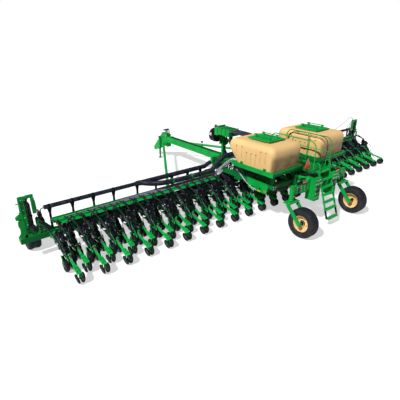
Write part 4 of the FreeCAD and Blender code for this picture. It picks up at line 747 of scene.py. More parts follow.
rowUnit = {
    "armTop": 0.79, "armLow": 0.6,
    "gaugeR": 0.205, "gaugeY": -0.85, "gaugeZ": 0.22, "gaugeInner": 0.06, "gaugeWide": 0.1,
    "openerR": 0.19, "openerY": -0.8, "openerZ": 0.205, "openerLean": 4.5,
    "closingR": 0.152, "closingY": -1.64, "closingZ": 0.17, "closingX": 0.078, "closingCamber": 11,
    "meterR": 0.15, "meterY": -0.59, "meterZ": 0.99, "slots": 3,
}


def unitFrame():
    # painted steel of one row unit: head, parallel arms, body plates and gauge-wheel arms
    u, s = rowUnit, Shape()
    s.box(-0.088, 0.088, 0.0, 0.012, 0.565, 0.848)
    s.plates([(0.012, 0.57), (0.012, 0.845), (0.05, 0.82), (0.05, 0.6)], 0.076, 0.088)
    for z in (u["armTop"], u["armLow"]):
        arm = [(0.0, z - 0.026), (0.0, z + 0.026), (-0.06, z + 0.018), (-0.36, z + 0.018), (-0.42, z + 0.027),
               (-0.44, z), (-0.42, z - 0.027), (-0.36, z - 0.018), (-0.06, z - 0.018)]
        s.plates(arm, 0.08, 0.089)
    body = [(-0.372, 0.838), (-0.372, 0.568), (-0.46, 0.52), (-0.64, 0.447), (-0.9, 0.447), (-0.958, 0.5),
            (-0.956, 0.562), (-0.86, 0.632), (-0.8, 0.69), (-0.72, 0.735), (-0.65, 0.838)]
    s.plates(body, 0.067, 0.077)
    gaugeArm = [(-0.715, 0.545), (-0.715, 0.5), (-0.76, 0.43), (-0.815, 0.215), (-0.85, 0.19), (-0.885, 0.21),
                (-0.88, 0.25), (-0.83, 0.44), (-0.79, 0.54), (-0.755, 0.56)]
    s.plates(gaugeArm, 0.169, 0.179)
    for side in (-1, 1):
        s.rods(((side * 0.067, -0.755, 0.512), (side * 0.182, -0.755, 0.512), 0.02, 8),
               ((side * 0.165, u["gaugeY"], u["gaugeZ"]), (side * 0.19, u["gaugeY"], u["gaugeZ"]), 0.03, 8))
    s.boxes((-0.067, 0.067, -0.385, -0.372, 0.568, 0.838), (-0.067, 0.067, -0.912, -0.897, 0.458, 0.552),
            (-0.076, 0.076, -0.64, -0.4, 0.832, 0.842), (-0.03, 0.03, -0.3, -0.08, 0.64, 0.652))
    return s


def closingArm():
    # a narrow neck that dips behind the body, then a broad slotted channel over the closing wheels
    s = Shape()
    neck = [(-0.885, 0.535), (-0.96, 0.54), (-1.06, 0.5), (-1.36, 0.442), (-1.4, 0.42), (-1.36, 0.375), (-1.06, 0.425),
            (-0.96, 0.46), (-0.885, 0.462)]
    s.plates(neck, 0.02, 0.029)
    s.prism([(-0.905, 0.532), (-0.96, 0.541), (-1.06, 0.501), (-1.36, 0.443), (-1.36, 0.433), (-1.06, 0.491),
             (-0.96, 0.531), (-0.905, 0.522)], "x", -0.029, 0.029)
    front, rear = (-1.19, 0.462), (-1.712, 0.366)
    slope = (front[1] - rear[1]) / (front[0] - rear[0])

    def topZ(y):
        return front[1] + (y - front[0]) * slope
    plan = [(-0.03, -1.3), (0.03, -1.3), (0.074, -1.395), (0.074, -1.665), (0.056, -1.712), (-0.056, -1.712),
            (-0.074, -1.665), (-0.074, -1.395)]
    s.faces([(x, y, topZ(y) - thick) for thick in (0.01, 0) for x, y in plan], tubeFaces(len(plan)))
    cheek = [(-1.395, topZ(-1.395) - 0.004), (-1.395, topZ(-1.395) - 0.045), (-1.58, topZ(-1.58) - 0.062),
             (-1.64, 0.26), (-1.685, 0.3), (-1.7, topZ(-1.7) - 0.004)]
    s.plates(cheek, 0.065, 0.074)
    s.prism([(-1.61, 0.345), (-1.585, 0.15), (-1.64, 0.138), (-1.69, 0.15), (-1.672, 0.345)], "x", -0.014, 0.014)
    # lugs and a handle that stand off the body
    for x in (-0.066, 0.052):
        s.prism([(-0.93, 0.5), (-0.93, 0.4), (-0.985, 0.385), (-1.01, 0.44), (-0.99, 0.5)], "x", x, x + 0.014)
    s.path([(0, -0.945, 0.545), (0, -0.985, 0.64), (0, -1.02, 0.665)], 0.01, 6, 0.4, 2)
    s.rod((-0.045, -1.02, 0.665), (0.045, -1.02, 0.665), 0.013, 6)
    return s


def unitDark():
    # moulded parts of one row unit: meter, mini hopper, motor, seed tube, down-pressure cylinder and control box
    u, s = rowUnit, Shape()
    y, z, r = u["meterY"], u["meterZ"], u["meterR"]
    s.turned([(-0.06, 0), (-0.06, 0.04), (-0.052, 0.05), (-0.046, 0.118), (-0.038, 0.14), (-0.012, r), (0.012, r),
              (0.03, 0.138), (0.036, 0.105), (0.055, 0.085), (0.06, 0.03), (0.06, 0)], (0, y, z), (1, 0, 0), 20)
    for k in range(8):
        a = 2 * math.pi * k / 8
        p, q = (math.cos(a), math.sin(a)), (math.cos(a) * 0.132, math.sin(a) * 0.132)
        s.beam((-0.05, y + p[0] * 0.045, z + p[1] * 0.045), (-0.043, y + q[0], z + q[1]), 0.012, 0.012, (1, 0, 0))
    s.prism([(y + 0.115, z - 0.13), (y + 0.12, z + 0.02), (y + 0.04, z - 0.13)], "x", -0.05, 0.05)
    hopper = [(y + 0.03, 0.985), (y + 0.075, 1.13), (y + 0.085, 1.168), (y + 0.185, 1.168), (y + 0.2, 1.12),
              (y + 0.19, 0.98), (y + 0.12, 0.88)]
    s.prism(hopper, "x", -0.068, 0.068)
    s.box(-0.074, 0.074, y + 0.08, y + 0.196, 1.15, 1.172)
    s.rods(((-0.055, y - 0.06, z - 0.11), (-0.055, y - 0.17, z - 0.16), 0.038, 10),
           ((0.03, y - 0.1, z + 0.02), (0.085, y - 0.1, z + 0.02), 0.045, 10),
           ((-0.055, y + 0.02, z + 0.05), (-0.094, y + 0.02, z + 0.05), 0.034, 10))
    tube = [(-0.56, 0.86), (-0.66, 0.86), (-0.74, 0.62), (-0.87, 0.16), (-0.83, 0.1), (-0.79, 0.16), (-0.67, 0.55)]
    s.prism(tube, "x", -0.015, 0.015)
    s.rod((0, -0.06, 0.76), (0, -0.24, 0.675), 0.036, 10)
    s.boxes((-0.06, 0.06, -0.115, -0.005, 0.85, 0.95), (-0.04, 0.04, -0.15, -0.115, 0.865, 0.935))
    s.prism([(-0.36, 0.845), (-0.36, 0.9), (-0.4, 0.93), (-0.47, 0.9), (-0.47, 0.845)], "x", -0.062, 0.062)
    s.box(-0.064, 0.064, -0.88, -0.76, 0.56, 0.64)
    s.prism([(-0.76, 0.64), (-0.7, 0.745), (-0.76, 0.8), (-0.85, 0.74), (-0.9, 0.62), (-0.88, 0.56)],
            "x", -0.052, 0.052)
    # air bag between the parallel arms, a black block that fills the body as painted shade inside it, wheel covers,
    # and small boxes and clips about them
    s.turned([(0, 0), (0, 0.04), (0.02, 0.062), (0.06, 0.066), (0.075, 0.052), (0.09, 0.066), (0.13, 0.062),
              (0.15, 0.04), (0.15, 0)], (0, -0.11, 0.65), (0, -0.72, 0.69), 12)
    s.boxes((-0.063, 0.063, -0.64, -0.39, 0.47, 0.828), (-0.082, 0.082, -0.3, -0.16, 0.56, 0.59),
            (0.088, 0.128, -0.56, -0.43, 0.64, 0.8), (-0.13, -0.088, -0.52, -0.42, 0.6, 0.72))
    inset = [(-0.4, 0.8), (-0.4, 0.59), (-0.5, 0.53), (-0.65, 0.48), (-0.82, 0.48), (-0.89, 0.52), (-0.83, 0.6),
             (-0.76, 0.665), (-0.69, 0.71), (-0.64, 0.8)]
    s.plates(inset, 0.076, 0.083)
    s.prism([(-0.9, 0.56), (-0.985, 0.52), (-1.06, 0.47), (-1.06, 0.35), (-0.96, 0.33), (-0.9, 0.4)],
            "x", -0.045, 0.045)
    s.path([(0.05, -1.02, 0.42), (0.07, -1.12, 0.4), (0.045, -1.22, 0.3)], 0.016, 6, 0.4, 2)
    s.plates([(-0.7, 0.47), (-0.88, 0.43), (-0.96, 0.36), (-0.94, 0.35), (-0.87, 0.405), (-0.7, 0.44)], 0.085, 0.16)
    return s


def closingAxle(side):
    # centre and axle direction of a closing wheel; both wheels lean out at the top
    lean = math.radians(rowUnit["closingCamber"])
    centre = Vector((side * rowUnit["closingX"], rowUnit["closingY"], rowUnit["closingZ"]))
    return centre, Vector((math.cos(lean) * side, 0, -math.sin(lean)))


def unitRubber():
    # gauge-wheel and closing-wheel tyres of one row unit
    u, s = rowUnit, Shape()
    r, w = u["gaugeR"], u["gaugeWide"]
    for side in (-1, 1):
        edge = u["gaugeInner"] * side
        profile = [(0.0, r * 0.74), (0.0, r * 0.93), (0.014, r * 0.985), (0.03, r), (0.07, r), (0.088, r * 0.98),
                   (w, r * 0.91), (w, r * 0.77), (0.09, r * 0.74)]
        s.turned(profile, (edge, u["gaugeY"], u["gaugeZ"]), (side, 0, 0), 24, True)
        centre, axis = closingAxle(side)
        c = u["closingR"]
        ring = [(-0.018, c * 0.64), (-0.026, c * 0.88), (-0.014, c * 1.01), (0.014, c * 1.01), (0.026, c * 0.88),
                (0.018, c * 0.64)]
        s.turned(ring, centre, axis, 20, True)
    return s


def unitRims():
    # dished discs, spokes and hubs inside those tyres
    u, s = rowUnit, Shape()
    r = u["gaugeR"]
    for side in (-1, 1):
        edge = u["gaugeInner"] * side
        dish = [(0.01, 0), (0.01, r * 0.76), (0.088, r * 0.76), (0.076, r * 0.68), (0.046, r * 0.6), (0.04, r * 0.34),
                (0.07, r * 0.28), (0.094, r * 0.22), (0.094, 0)]
        s.turned(dish, (edge, u["gaugeY"], u["gaugeZ"]), (side, 0, 0), 20)
        for k in range(6):
            a = 2 * math.pi * k / 6
            y, z = u["gaugeY"] + math.cos(a) * 0.097, u["gaugeZ"] + math.sin(a) * 0.097
            s.rod((edge + side * 0.04, y, z), (edge + side * 0.056, y, z), 0.01, 6)
        centre, axis = closingAxle(side)
        c = u["closingR"]
        s.turned([(-0.02, 0), (-0.02, c * 0.22), (-0.006, c * 0.3), (-0.008, c * 0.68), (0.008, c * 0.68),
                  (0.004, c * 0.34), (0.024, c * 0.26), (0.024, c * 0.14), (0.034, c * 0.1), (0.034, 0)],
                 centre, axis, 16)
        up = axis.orthogonal().normalized()
        across = axis.cross(up)
        for k in range(5):
            a = 2 * math.pi * k / 5
            ray = up * math.cos(a) + across * math.sin(a)
            s.beam(centre + ray * c * 0.24 + axis * 0.004, centre + ray * c * 0.66 + axis * 0.004, 0.016, 0.012, axis)
    return s


def unitBright():
    # bare steel: opener discs, pins, the cylinder's rod and the closing arm's spring
    u, s = rowUnit, Shape()
    for side in (-1, 1):
        centre = (side * 0.02, u["openerY"], u["openerZ"])
        lean = math.radians(u["openerLean"]) * side
        axis = (math.cos(lean), math.sin(lean), 0)
        s.turned([(-0.002, 0), (-0.002, u["openerR"] * 0.93), (0.0, u["openerR"]), (0.002, u["openerR"] * 0.93),
                  (0.002, 0)], centre, axis, 28)
        s.turned([(0, 0.05), (side * 0.014, 0.044), (side * 0.02, 0.026), (side * 0.02, 0)], centre, (1, 0, 0), 12)
    for y, z in ((-0.004, u["armTop"]), (-0.004, u["armLow"]), (-0.418, u["armTop"]), (-0.418, u["armLow"])):
        s.rod((-0.098, y, z), (0.098, y, z), 0.013, 8)
    s.rod((0, -0.24, 0.675), (0, -0.37, 0.612), 0.014, 8)
    meter = (u["meterY"], u["meterZ"])
    s.disc((0.062, *meter), (1, 0, 0), 0.02, 0.062, 0.006, 16)
    s.disc((-0.063, *meter), (1, 0, 0), 0.014, 0.044, 0.006, 14)
    s.boxes((0.128, 0.133, -0.55, -0.44, 0.66, 0.78), (-0.03, 0.03, -0.118, -0.112, 0.88, 0.94))
    for y, z in ((-0.47, 1.176), (-0.43, 1.176)):
        s.rod((-0.05, y, z), (0.05, y, z), 0.006, 6)
    s.rod((-0.088, u["closingY"], u["closingZ"]), (0.088, u["closingY"], u["closingZ"]), 0.012, 8)
    for k in range(7):
        t = k / 6
        s.disc((0, -0.985 - 0.17 * t, 0.56 - 0.04 * t), (0, -1, -0.24), 0.014, 0.024, 0.009, 10)
    s.rod((0, -0.93, 0.573), (0, -1.19, 0.511), 0.008, 6)
    return s


def unitSlots():
    # dark strips on the closing channel's top plate: painted shadow where slots go through it
    s = Shape()
    for k in range(rowUnit["slots"]):
        y = -1.42 - 0.085 * k
        z = 0.462 + (y + 1.19) * 0.1875
        s.beam((0.03, y, z + 0.0005), (0.03, y - 0.052, z - 0.0093), 0.026, 0.004)
    s.beam((-0.032, -1.42, 0.4194), (-0.032, -1.5, 0.4044), 0.02, 0.004)
    s.beam((-0.032, -1.59, 0.3875), (-0.032, -1.65, 0.3762), 0.02, 0.004)
    return s


def reachFrame():
    # stand-off that carries a long unit behind the toolbar; its front face is on the toolbar
    s = Shape()
    back = layout["setback"]
    s.box(-0.088, 0.088, back + 0.04, back + 0.052, 0.565, 0.848)
    s.plates([(0.01, 0.61), (0.01, 0.818), (0.1, 0.8), (back - 0.05, 0.8), (back + 0.045, 0.828), (back + 0.045, 0.6),
              (back - 0.05, 0.64), (0.1, 0.64)], 0.064, 0.076)
    for y in (0.1, 0.26):
        s.rod((-0.064, y, 0.72), (0.064, y, 0.72), 0.02, 8)
    s.box(-0.064, 0.064, 0.07, back - 0.02, 0.79, 0.8)
    return s


def unitSpots(body):
    # every unit's head, at the middle of its mounting face, as (x, y, long)
    pitch, rear = layout["pitch"], layout["barRear"] - layout["unitPlate"]
    if body == "centre_frame":
        longs = [s * (k + 0.5) * pitch for k in (0, 1) for s in (-1, 1)]
        shorts = [k * pitch for k in (-2, -1, 0, 1, 2)]
    else:
        side = -1 if body == "left_wing" else 1
        longs = [side * (k + 0.5) * pitch for k in range(2, 12)]
        shorts = [side * k * pitch for k in range(3, 12)]
    return [(x, rear - layout["setback"], True) for x in longs] + [(x, rear, False) for x in shorts]


def unitHoses(spots, seed):
    # seed hose from the tray to the mini hopper, air hose down to the meter's cover, and oil hoses at the head
    rng = random.Random(seed)
    seedLines, airLines, oilLines, wires = [], [], [], []
    for x, y, isLong in spots:
        def near(value, size):
            return value + rng.uniform(-size, size)
        lean = near(0.12, 0.05) - (0.05 if isLong else 0)
        hop = y - 0.47
        seedLines.append([(x + lean + 0.1, -0.38, 1.262), (x + lean + 0.05, -0.49, 1.29),
                          (x + lean, (hop - 0.47) / 2, near(1.262, 0.02)), (x + 0.02, hop + 0.02, near(1.235, 0.01)),
                          (x, hop - 0.005, 1.16)])
        drop = y + rowUnit["meterY"]
        side = -1 if x > 0 else 1
        low = near(0.7, 0.05)
        airLines.append([(x - side * 0.36, -0.33, 1.262), (x - side * 0.34, -0.5, 1.285),
                         (x - side * near(0.26, 0.03), (drop * 0.35 - 0.36), near(1.215, 0.02)),
                         (x - side * near(0.185, 0.02), drop * 0.72 - 0.16, 1.06), (x - side * 0.15, drop - 0.02, 0.9),
                         (x - side * 0.135, drop - 0.12, low), (x - side * 0.11, drop - 0.2, low - 0.1),
                         (x - side * 0.07, drop - 0.22, low - 0.08), (x - side * 0.03, drop - 0.2, low - 0.01)])
        oilLines.append([(x + 0.05, y - 0.06, 0.945), (near(x + 0.07, 0.02), y - 0.1, near(1.01, 0.02)),
                         (near(x + 0.1, 0.03), y - 0.25, near(0.985, 0.03)), (x + 0.09, y - 0.42, 0.93),
                         (x + 0.085, y - 0.56, 0.895), (x + 0.072, y - 0.68, 0.93)])
        oilLines.append([(x - 0.04, y - 0.12, 0.935), (x - 0.06, y - 0.17, near(0.985, 0.02)),
                         (x - 0.04, y - 0.19, 0.9), (x - 0.01, y - 0.13, 0.78)])
        side = rng.choice((-1, 1))
        oilLines.append([(x + side * 0.055, y - 0.72, 0.98), (x + side * 0.075, y - 0.84, near(0.93, 0.02)),
                         (x + side * 0.06, y - 0.96, near(0.8, 0.03)), (x + side * 0.03, y - 0.98, 0.66),
                         (x, y - 0.9, 0.57)])
        for _ in range(2):
            tilt = rng.choice((-1, 1))
            wires.append([(x + tilt * near(0.05, 0.02), y - 0.02, near(0.93, 0.02)),
                          (x + tilt * near(0.1, 0.03), y - 0.2, near(1.0, 0.04)),
                          (x + tilt * near(0.12, 0.03), y - 0.42, near(0.88, 0.05)),
                          (x + tilt * near(0.11, 0.02), y - 0.62, near(0.78, 0.05)),
                          (x + tilt * near(0.085, 0.01), y - 0.8, near(0.64, 0.04)),
                          (x + tilt * 0.04, y - 0.96, near(0.52, 0.02))])
    return seedLines, airLines, oilLines, wires


# each part's shape, finish and bevel, and whether it stands for the frame's piece of that name
unitParts = {
    "row_frames": (unitFrame(), "frontGreen", 0.0025, True),
    "closing_arms": (closingArm(), "unitGreen", 0.0025, False),
    "seed_meters": (unitDark(), "black", 0.004, True), "row_wheels": (unitRubber(), "wheel", 0, True),
    "opener_discs": (unitBright(), "steel", 0, True), "row_rims": (unitRims(), "slate", 0, False),
    "arm_slots": (unitSlots(), "hole", 0, False),
}
for shape, _, width, _ in unitParts.values():
    if width:
        shape.bevel(width)
for body, prefix in (("centre_frame", "centre"), ("left_wing", "left"), ("right_wing", "right")):
    spots = unitSpots(body)
    for label, (shape, finish, _, stands) in unitParts.items():
        repeated(prefix + "_unit_" + label, shape, [(x, y, 0) for x, y, _ in spots], finish, body,
                 [prefix + "_" + label] if stands else [])
    repeated(prefix + "_unit_reach", reachFrame().bevel(0.003), [(x, y, 0) for x, y, isLong in spots if isLong],
             "frontGreen", body)
    seedLines, airLines, oilLines, wires = unitHoses(spots, 11)
    small = {"ringPitch": 0.016, "ringDepth": 0.035, "step": 0.018, "sides": 8}
    hoses(prefix + "_seed_hoses", seedLines, {**small, "radius": 0.022}, "hose", body)
    hoses(prefix + "_meter_hoses", airLines, {**small, "radius": 0.029}, "duct", body)
    hoses(prefix + "_unit_oil_hoses", oilLines, {**small, "radius": 0.01, "step": 0.035, "sides": 5}, "hose", body)
    hoses(prefix + "_unit_wires", wires, {**small, "radius": 0.0055, "ringDepth": 0.0, "step": 0.06, "sides": 5},
          "greyWire", body)
print("row units built")


wheels = {
    "caster": {"centre": (1.62, -4.51, 0.54), "radius": 0.54, "rim": 0.295, "width": 0.4,
               "lugs": 44, "lugHigh": 0.013, "bolts": 8},
    "main": {"centre": (1.175, 1.0125, 0.48), "radius": 0.48, "rim": 0.24, "width": 0.33,
             "lugs": 40, "lugHigh": 0.012, "bolts": 6},
    "wing": {"centre": (9.24, 0.6525, 0.4), "radius": 0.4, "rim": 0.2, "width": 0.42,
             "lugs": 34, "lugHigh": 0.012, "bolts": 6},
}


def tyreShape(w):
    # one closed carcass: beads, bulging walls with two raised rings, rounded shoulders and a grooved crown
    s, half, r, rim = Shape(), w["width"] / 2, w["radius"], w["rim"]
    tread = r - w["lugHigh"]
    wall = [(0.66, rim - 0.004), (0.72, rim + 0.012), (0.86, rim + (r - rim) * 0.14), (0.975, rim + (r - rim) * 0.34),
            (0.985, rim + (r - rim) * 0.37), (1.0, rim + (r - rim) * 0.4), (1.0, rim + (r - rim) * 0.52),
            (0.985, rim + (r - rim) * 0.55), (0.975, rim + (r - rim) * 0.62), (0.955, rim + (r - rim) * 0.76),
            (0.9, tread - 0.02), (0.8, tread - 0.006)]
    crown = [(0.36, tread), (0.35, tread - 0.016), (0.27, tread - 0.016), (0.26, tread), (0.1, tread),
             (0.09, tread - 0.012), (0.02, tread - 0.012)]
    right = [(half * a, b) for a, b in wall + crown]
    s.turned(right + [(-a, b) for a, b in reversed(right)], (0, 0, 0), (1, 0, 0), 56, True)
    return s


def lugShape(w):
    # one tread block, slanted across half the crown and turned down over the shoulder
    s, half, r = Shape(), w["width"] / 2, w["radius"]
    low = r - w["lugHigh"] - 0.012
    long = 2 * math.pi * r / w["lugs"] * 0.3
    for side in (-1, 1):
        xs = (half * 0.4, half * 0.66, half * 0.93)
        tops = (r - 0.0005, r - 0.003, r - 0.03)
        shifts = (0.0, -0.5 * long * side, -0.9 * long * side)
        verts = []
        for x, top, shift in zip(xs, tops, shifts):
            foot = low - (0.03 if x == xs[2] else 0)
            verts += [(side * x, shift - long, foot), (side * x, shift + long, foot),
                      (side * x, shift + long * 0.8, top), (side * x, shift - long * 0.8, top)]
        s.faces(verts, tubeFaces(4, 3))
    return s


def rimShape(w, outward):
    # pressed rim: flange, drop centre and a solid dished disc; its hand holes are painted shadows in the hub piece
    s, half, rim = Shape(), w["width"] / 2, w["rim"]
    barrel = [(half * 0.7, rim - 0.012), (half * 0.78, rim + 0.004), (half * 0.74, rim - 0.016),
              (half * 0.6, rim - 0.024), (half * 0.3, rim - 0.034), (half * 0.24, rim - 0.07),
              (-half * 0.24, rim - 0.07), (-half * 0.3, rim - 0.034), (-half * 0.6, rim - 0.024),
              (-half * 0.74, rim - 0.016), (-half * 0.78, rim + 0.004), (-half * 0.7, rim - 0.012),
              (-half * 0.6, rim - 0.002), (half * 0.6, rim - 0.002)]
    s.turned(barrel, (0, 0, 0), (1, 0, 0), 44, True)
    dish = [(0.016, 0.05), (0.03, 0.052), (0.03, rim * 0.46), (0.012, rim * 0.54), (0.018, rim * 0.7),
            (0.036, rim - 0.066), (0.022, rim - 0.066), (0.004, rim * 0.72), (-0.004, rim * 0.5), (0.014, rim * 0.44)]
    s.turned([(a * outward, b) for a, b in dish], (0, 0, 0), (1, 0, 0), 40, True)
    return s


def hubShape(w, outward):
    # black hub, its flange ring and the hand-hole shadows
    s, rim = Shape(), w["rim"]
    s.turned([(-0.13, 0), (-0.13, 0.052), (-0.05, 0.06), (0.03, 0.06), (0.034, rim * 0.36), (0.044, rim * 0.36),
              (0.05, 0.066), (0.105, 0.058), (0.118, 0.046), (0.122, 0)], (0, 0, 0), (outward, 0, 0), 24)
    for k in range(w["bolts"]):
        a = 2 * math.pi * (k + 0.5) / w["bolts"]
        c, q = math.cos(a) * rim * 0.61, math.sin(a) * rim * 0.61
        s.turned([(-0.002, 0), (0.017, rim * 0.055), (0.021, rim * 0.055), (0.021, 0)], (0, c, q), (outward, 0, 0), 10)
    return s


def nutShape():
    s = Shape()
    s.turned([(0, 0), (0, 0.016), (0.01, 0.016), (0.01, 0.012), (0.026, 0.012), (0.028, 0.006), (0.028, 0)], (0, 0, 0),
             (1, 0, 0), 6)
    return s


def buildWheel(label, kind, side, body, tyreNodes, rimNodes):
    w = wheels[kind]
    x, y, z = w["centre"]
    x *= side
    spots = [((x, y, z), (360 * k / w["lugs"], 0, 0), 1) for k in range(w["lugs"])]
    piece(label + "_tyre", Shape().add(tyreShape(w), place(x, y, z)), "tyre", body=body, stands=tyreNodes)
    repeated(label + "_tread", lugShape(w), spots, "tyre", body)
    piece(label + "_rim_pressing", Shape().add(rimShape(w, side), place(x, y, z)), "cream", body=body, stands=rimNodes)
    piece(label + "_hub", Shape().add(hubShape(w, side), place(x, y, z)), "black", body=body)
    ring = w["rim"] * 0.27
    angles = [2 * math.pi * k / w["bolts"] for k in range(w["bolts"])]
    nuts = [((x + side * 0.044, y + math.cos(a) * ring, z + math.sin(a) * ring), (0, 0 if side > 0 else 180, 0), 1)
            for a in angles]
    repeated(label + "_wheel_nuts", nutShape(), nuts, "zinc", body)


for side, label in sides:
    buildWheel(label + "_caster", "caster", side, label + "_caster_wheel", [label + "_caster_tyre"],
               [label + "_caster_rim"])
    buildWheel(label + "_main", "main", side, label + "_main_wheel", [label + "_main_wheel"], [])
    buildWheel(label + "_wing_tip", "wing", side, label + "_wing_wheel", [label + "_wing_wheel"], [])
print("wheels built")


tank = {
    "x": 1.425, "wide": 1.65, "rear": -3.46, "front": -1.24, "low": 2.2, "high": 3.05,
    "slopeRun": 0.4, "slopeRise": 0.45, "sideRound": 0.205, "noseRound": 0.265, "hipRound": 0.225, "backRound": 0.235,
    "roundSteps": 7, "wall": 0.014,
    "coneLow": 1.76, "throatY": -2.55, "throatHalf": 0.18, "coneIn": 0.08,
    "lidX": 1.4, "lidY": -2.38, "mouthHalfX": 0.38, "mouthHalfY": 0.47, "collar": 0.034,
    "grooveWide": 0.044, "grooveDeep": 0.011,
    "grooves": [(-1.71, 2.43, 2.82), (-2.0, 2.42, 2.83), (-2.23, 2.25, 2.66), (-2.455, 2.25, 2.66),
                (-2.68, 2.25, 2.66), (-2.9, 2.42, 2.82), (-3.13, 2.42, 2.83)],
}


def roundedOutline(corners, steps):
    # outline through the corners, each (y, z, radius), with an arc in place of every corner that has a radius
    points = []
    for i, (y, z, radius) in enumerate(corners):
        here = Vector((y, z))
        if radius <= 0:
            points.append((y, z))
            continue
        back = (Vector(corners[i - 1][:2]) - here).normalized()
        ahead = (Vector(corners[(i + 1) % len(corners)][:2]) - here).normalized()
        half = back.angle(ahead) / 2
        middle = here + (back + ahead).normalized() * (radius / math.sin(half))
        reach = radius / math.tan(half)
        first, last = here + back * reach - middle, here + ahead * reach - middle
        for k in range(steps + 1):
            ray = first.slerp(last, k / steps).normalized() * radius
            points.append(tuple(middle + ray))
    return points


def tankBlock(inset):
    # loaf with a long front slope and large rounded edges, less inset all round
    t, s = tank, Shape()
    x0, x1 = t["x"] - t["wide"] / 2 + inset, t["x"] + t["wide"] / 2 - inset
    rear, front, low, high = t["rear"] + inset, t["front"] - inset, t["low"] + inset, t["high"] - inset
    hip = t["low"] + t["slopeRise"]
    corners = [(rear + 0.05, low, 0), (front - t["slopeRun"] + inset, low, 0), (front, hip, t["hipRound"] - inset),
               (front, high, t["noseRound"] - inset), (rear, high, t["backRound"] - inset)]
    s.prism(roundedOutline(corners, t["roundSteps"]), "x", x0, x1)
    edges = [e for e in s.mesh.edges
             if max(v.co.z for v in e.verts) > low + 0.001 and abs(e.verts[0].co.x - e.verts[1].co.x) < 0.001]
    bmesh.ops.bevel(s.mesh, geom=edges, offset=t["sideRound"] - inset, segments=t["roundSteps"], affect="EDGES",
                    profile=0.5, clamp_overlap=False)
    for face in s.mesh.faces:
        face.smooth = face.normal.z > -0.95
    return s


def tankCone(inset):
    t, s = tank, Shape()
    x0, x1 = t["x"] - t["wide"] / 2 + inset + t["coneIn"], t["x"] + t["wide"] / 2 - inset - t["coneIn"]
    rear, front = t["rear"] + 0.04 + inset, t["front"] - t["slopeRun"] - 0.02 - inset
    top, low, half = t["low"] + 0.03, t["coneLow"] + inset, t["throatHalf"] - inset
    mouth = [(x0, rear, top), (x1, rear, top), (x1, front, top), (x0, front, top)]
    y = t["throatY"]
    throat = [(t["x"] - half, y - half, low), (t["x"] + half, y - half, low), (t["x"] + half, y + half, low),
              (t["x"] - half, y + half, low)]
    s.faces(mouth + throat, tubeFaces(4))
    return s


def grooveCutters():
    # upright round-ended grooves in both long sides, each with a deeper dimple at its top
    t, s = tank, Shape()
    depth, half = t["grooveDeep"], t["grooveWide"] / 2
    for side in (-1, 1):
        face = t["x"] + side * t["wide"] / 2
        for y, low, high in t["grooves"]:
            s.prism([(y - half, low), (y - half, high), (y, high + half), (y + half, high), (y + half, low),
                     (y, low - half)], "x", face - side * depth, face + side * 0.05)
            s.turned([(0, 0), (0, 0.022), (0.09, 0.03), (0.09, 0)], (face - side * (depth + 0.03), y, high + 0.004),
                     (side, 0, 0), 12)
    return s


def carved(name, shape, steps, finish, body, stands, mirror):
    # shape with each step's cutter joined to it or taken from it
    work = bpy.data.objects.new(name, shape.data(name))
    bpy.context.scene.collection.objects.link(work)
    cutters = []
    for i, (how, cutter) in enumerate(steps):
        other = bpy.data.objects.new(name + ".cut" + str(i), cutter.data(name + ".cut" + str(i)))
        bpy.context.scene.collection.objects.link(other)
        change = work.modifiers.new(how + str(i), "BOOLEAN")
        change.operation, change.solver, change.object, change.use_self = how, "EXACT", other, True
        cutters.append(other)
    seen = work.evaluated_get(bpy.context.evaluated_depsgraph_get())
    plain = bpy.data.meshes.new_from_object(seen)
    work.modifiers.clear()
    for other in cutters:
        data = other.data
        bpy.data.objects.remove(other)
        bpy.data.meshes.remove(data)
    whole = bmesh.new()
    whole.from_mesh(plain)
    if mirror:
        bmesh.ops.transform(whole, matrix=Matrix.Diagonal((-1, 1, 1, 1)), verts=whole.verts)
        bmesh.ops.reverse_faces(whole, faces=whole.faces)
    for edge in whole.edges:
        edge.smooth = len(edge.link_faces) == 2 and edge.calc_face_angle(3) < math.radians(32)
    for face in whole.faces:
        face.smooth = True
    whole.to_mesh(plain)
    whole.free()
    work.data = plain
    plain.name = name
    return settle(work, finish, body, stands)


def buildTanks():
    t = tank

    def around(wider, low, high):
        x, y = t["mouthHalfX"] + wider, t["mouthHalfY"] + wider
        return Shape().box(t["lidX"] - x, t["lidX"] + x, t["lidY"] - y, t["lidY"] + y, t["high"] + low,
                           t["high"] + high)

    mouth, collar = around(0, -0.1, 0.1), around(0.014, -0.012, t["collar"])
    for label in ("left", "right"):
        steps = [("UNION", tankCone(0)), ("DIFFERENCE", grooveCutters()), ("DIFFERENCE", tankBlock(t["wall"])),
                 ("DIFFERENCE", tankCone(t["wall"])), ("UNION", collar), ("DIFFERENCE", mouth)]
        carved(label + "_tank_shell", tankBlock(0), steps, "tank", "centre_frame", [label + "_seed_hopper"],
               label == "left")


buildTanks()
print("tanks built")


rear = {
    "deckZ": 1.99, "deckHalf": 0.52, "deckRear": -3.98, "deckFront": -1.66, "slatPitch": 0.06,
    "beamX": 1.85, "tankInner": 0.6, "ladderHalf": 0.33, "stepZ": 0.32, "strapZ": 0.62,
    "signX": -0.565, "signY": -3.69, "signLow": 2.085, "signTop": 2.47, "signHalf": 0.2,
}

clampBolt = Shape().turned([(0, 0), (0, 0.022), (0.004, 0.022), (0.004, 0.015), (0.015, 0.015), (0.015, 0)], (0, 0, 0),
                           (0, 0, 1), 6)


def ladderY(z):
    # the ladder leans: its lowest step stands 0.58 m behind its top
    return -4.64 + (z - rear["stepZ"]) / (rear["deckZ"] - rear["stepZ"]) * 0.58


def bluntTriangle(x, low, top, halfWide, cut):
    return [(x - halfWide + cut, low), (x + halfWide - cut, low), (x + halfWide - cut * 0.45, low + cut * 0.9),
            (x + cut * 0.55, top), (x - cut * 0.55, top), (x - halfWide + cut * 0.45, low + cut * 0.9)]


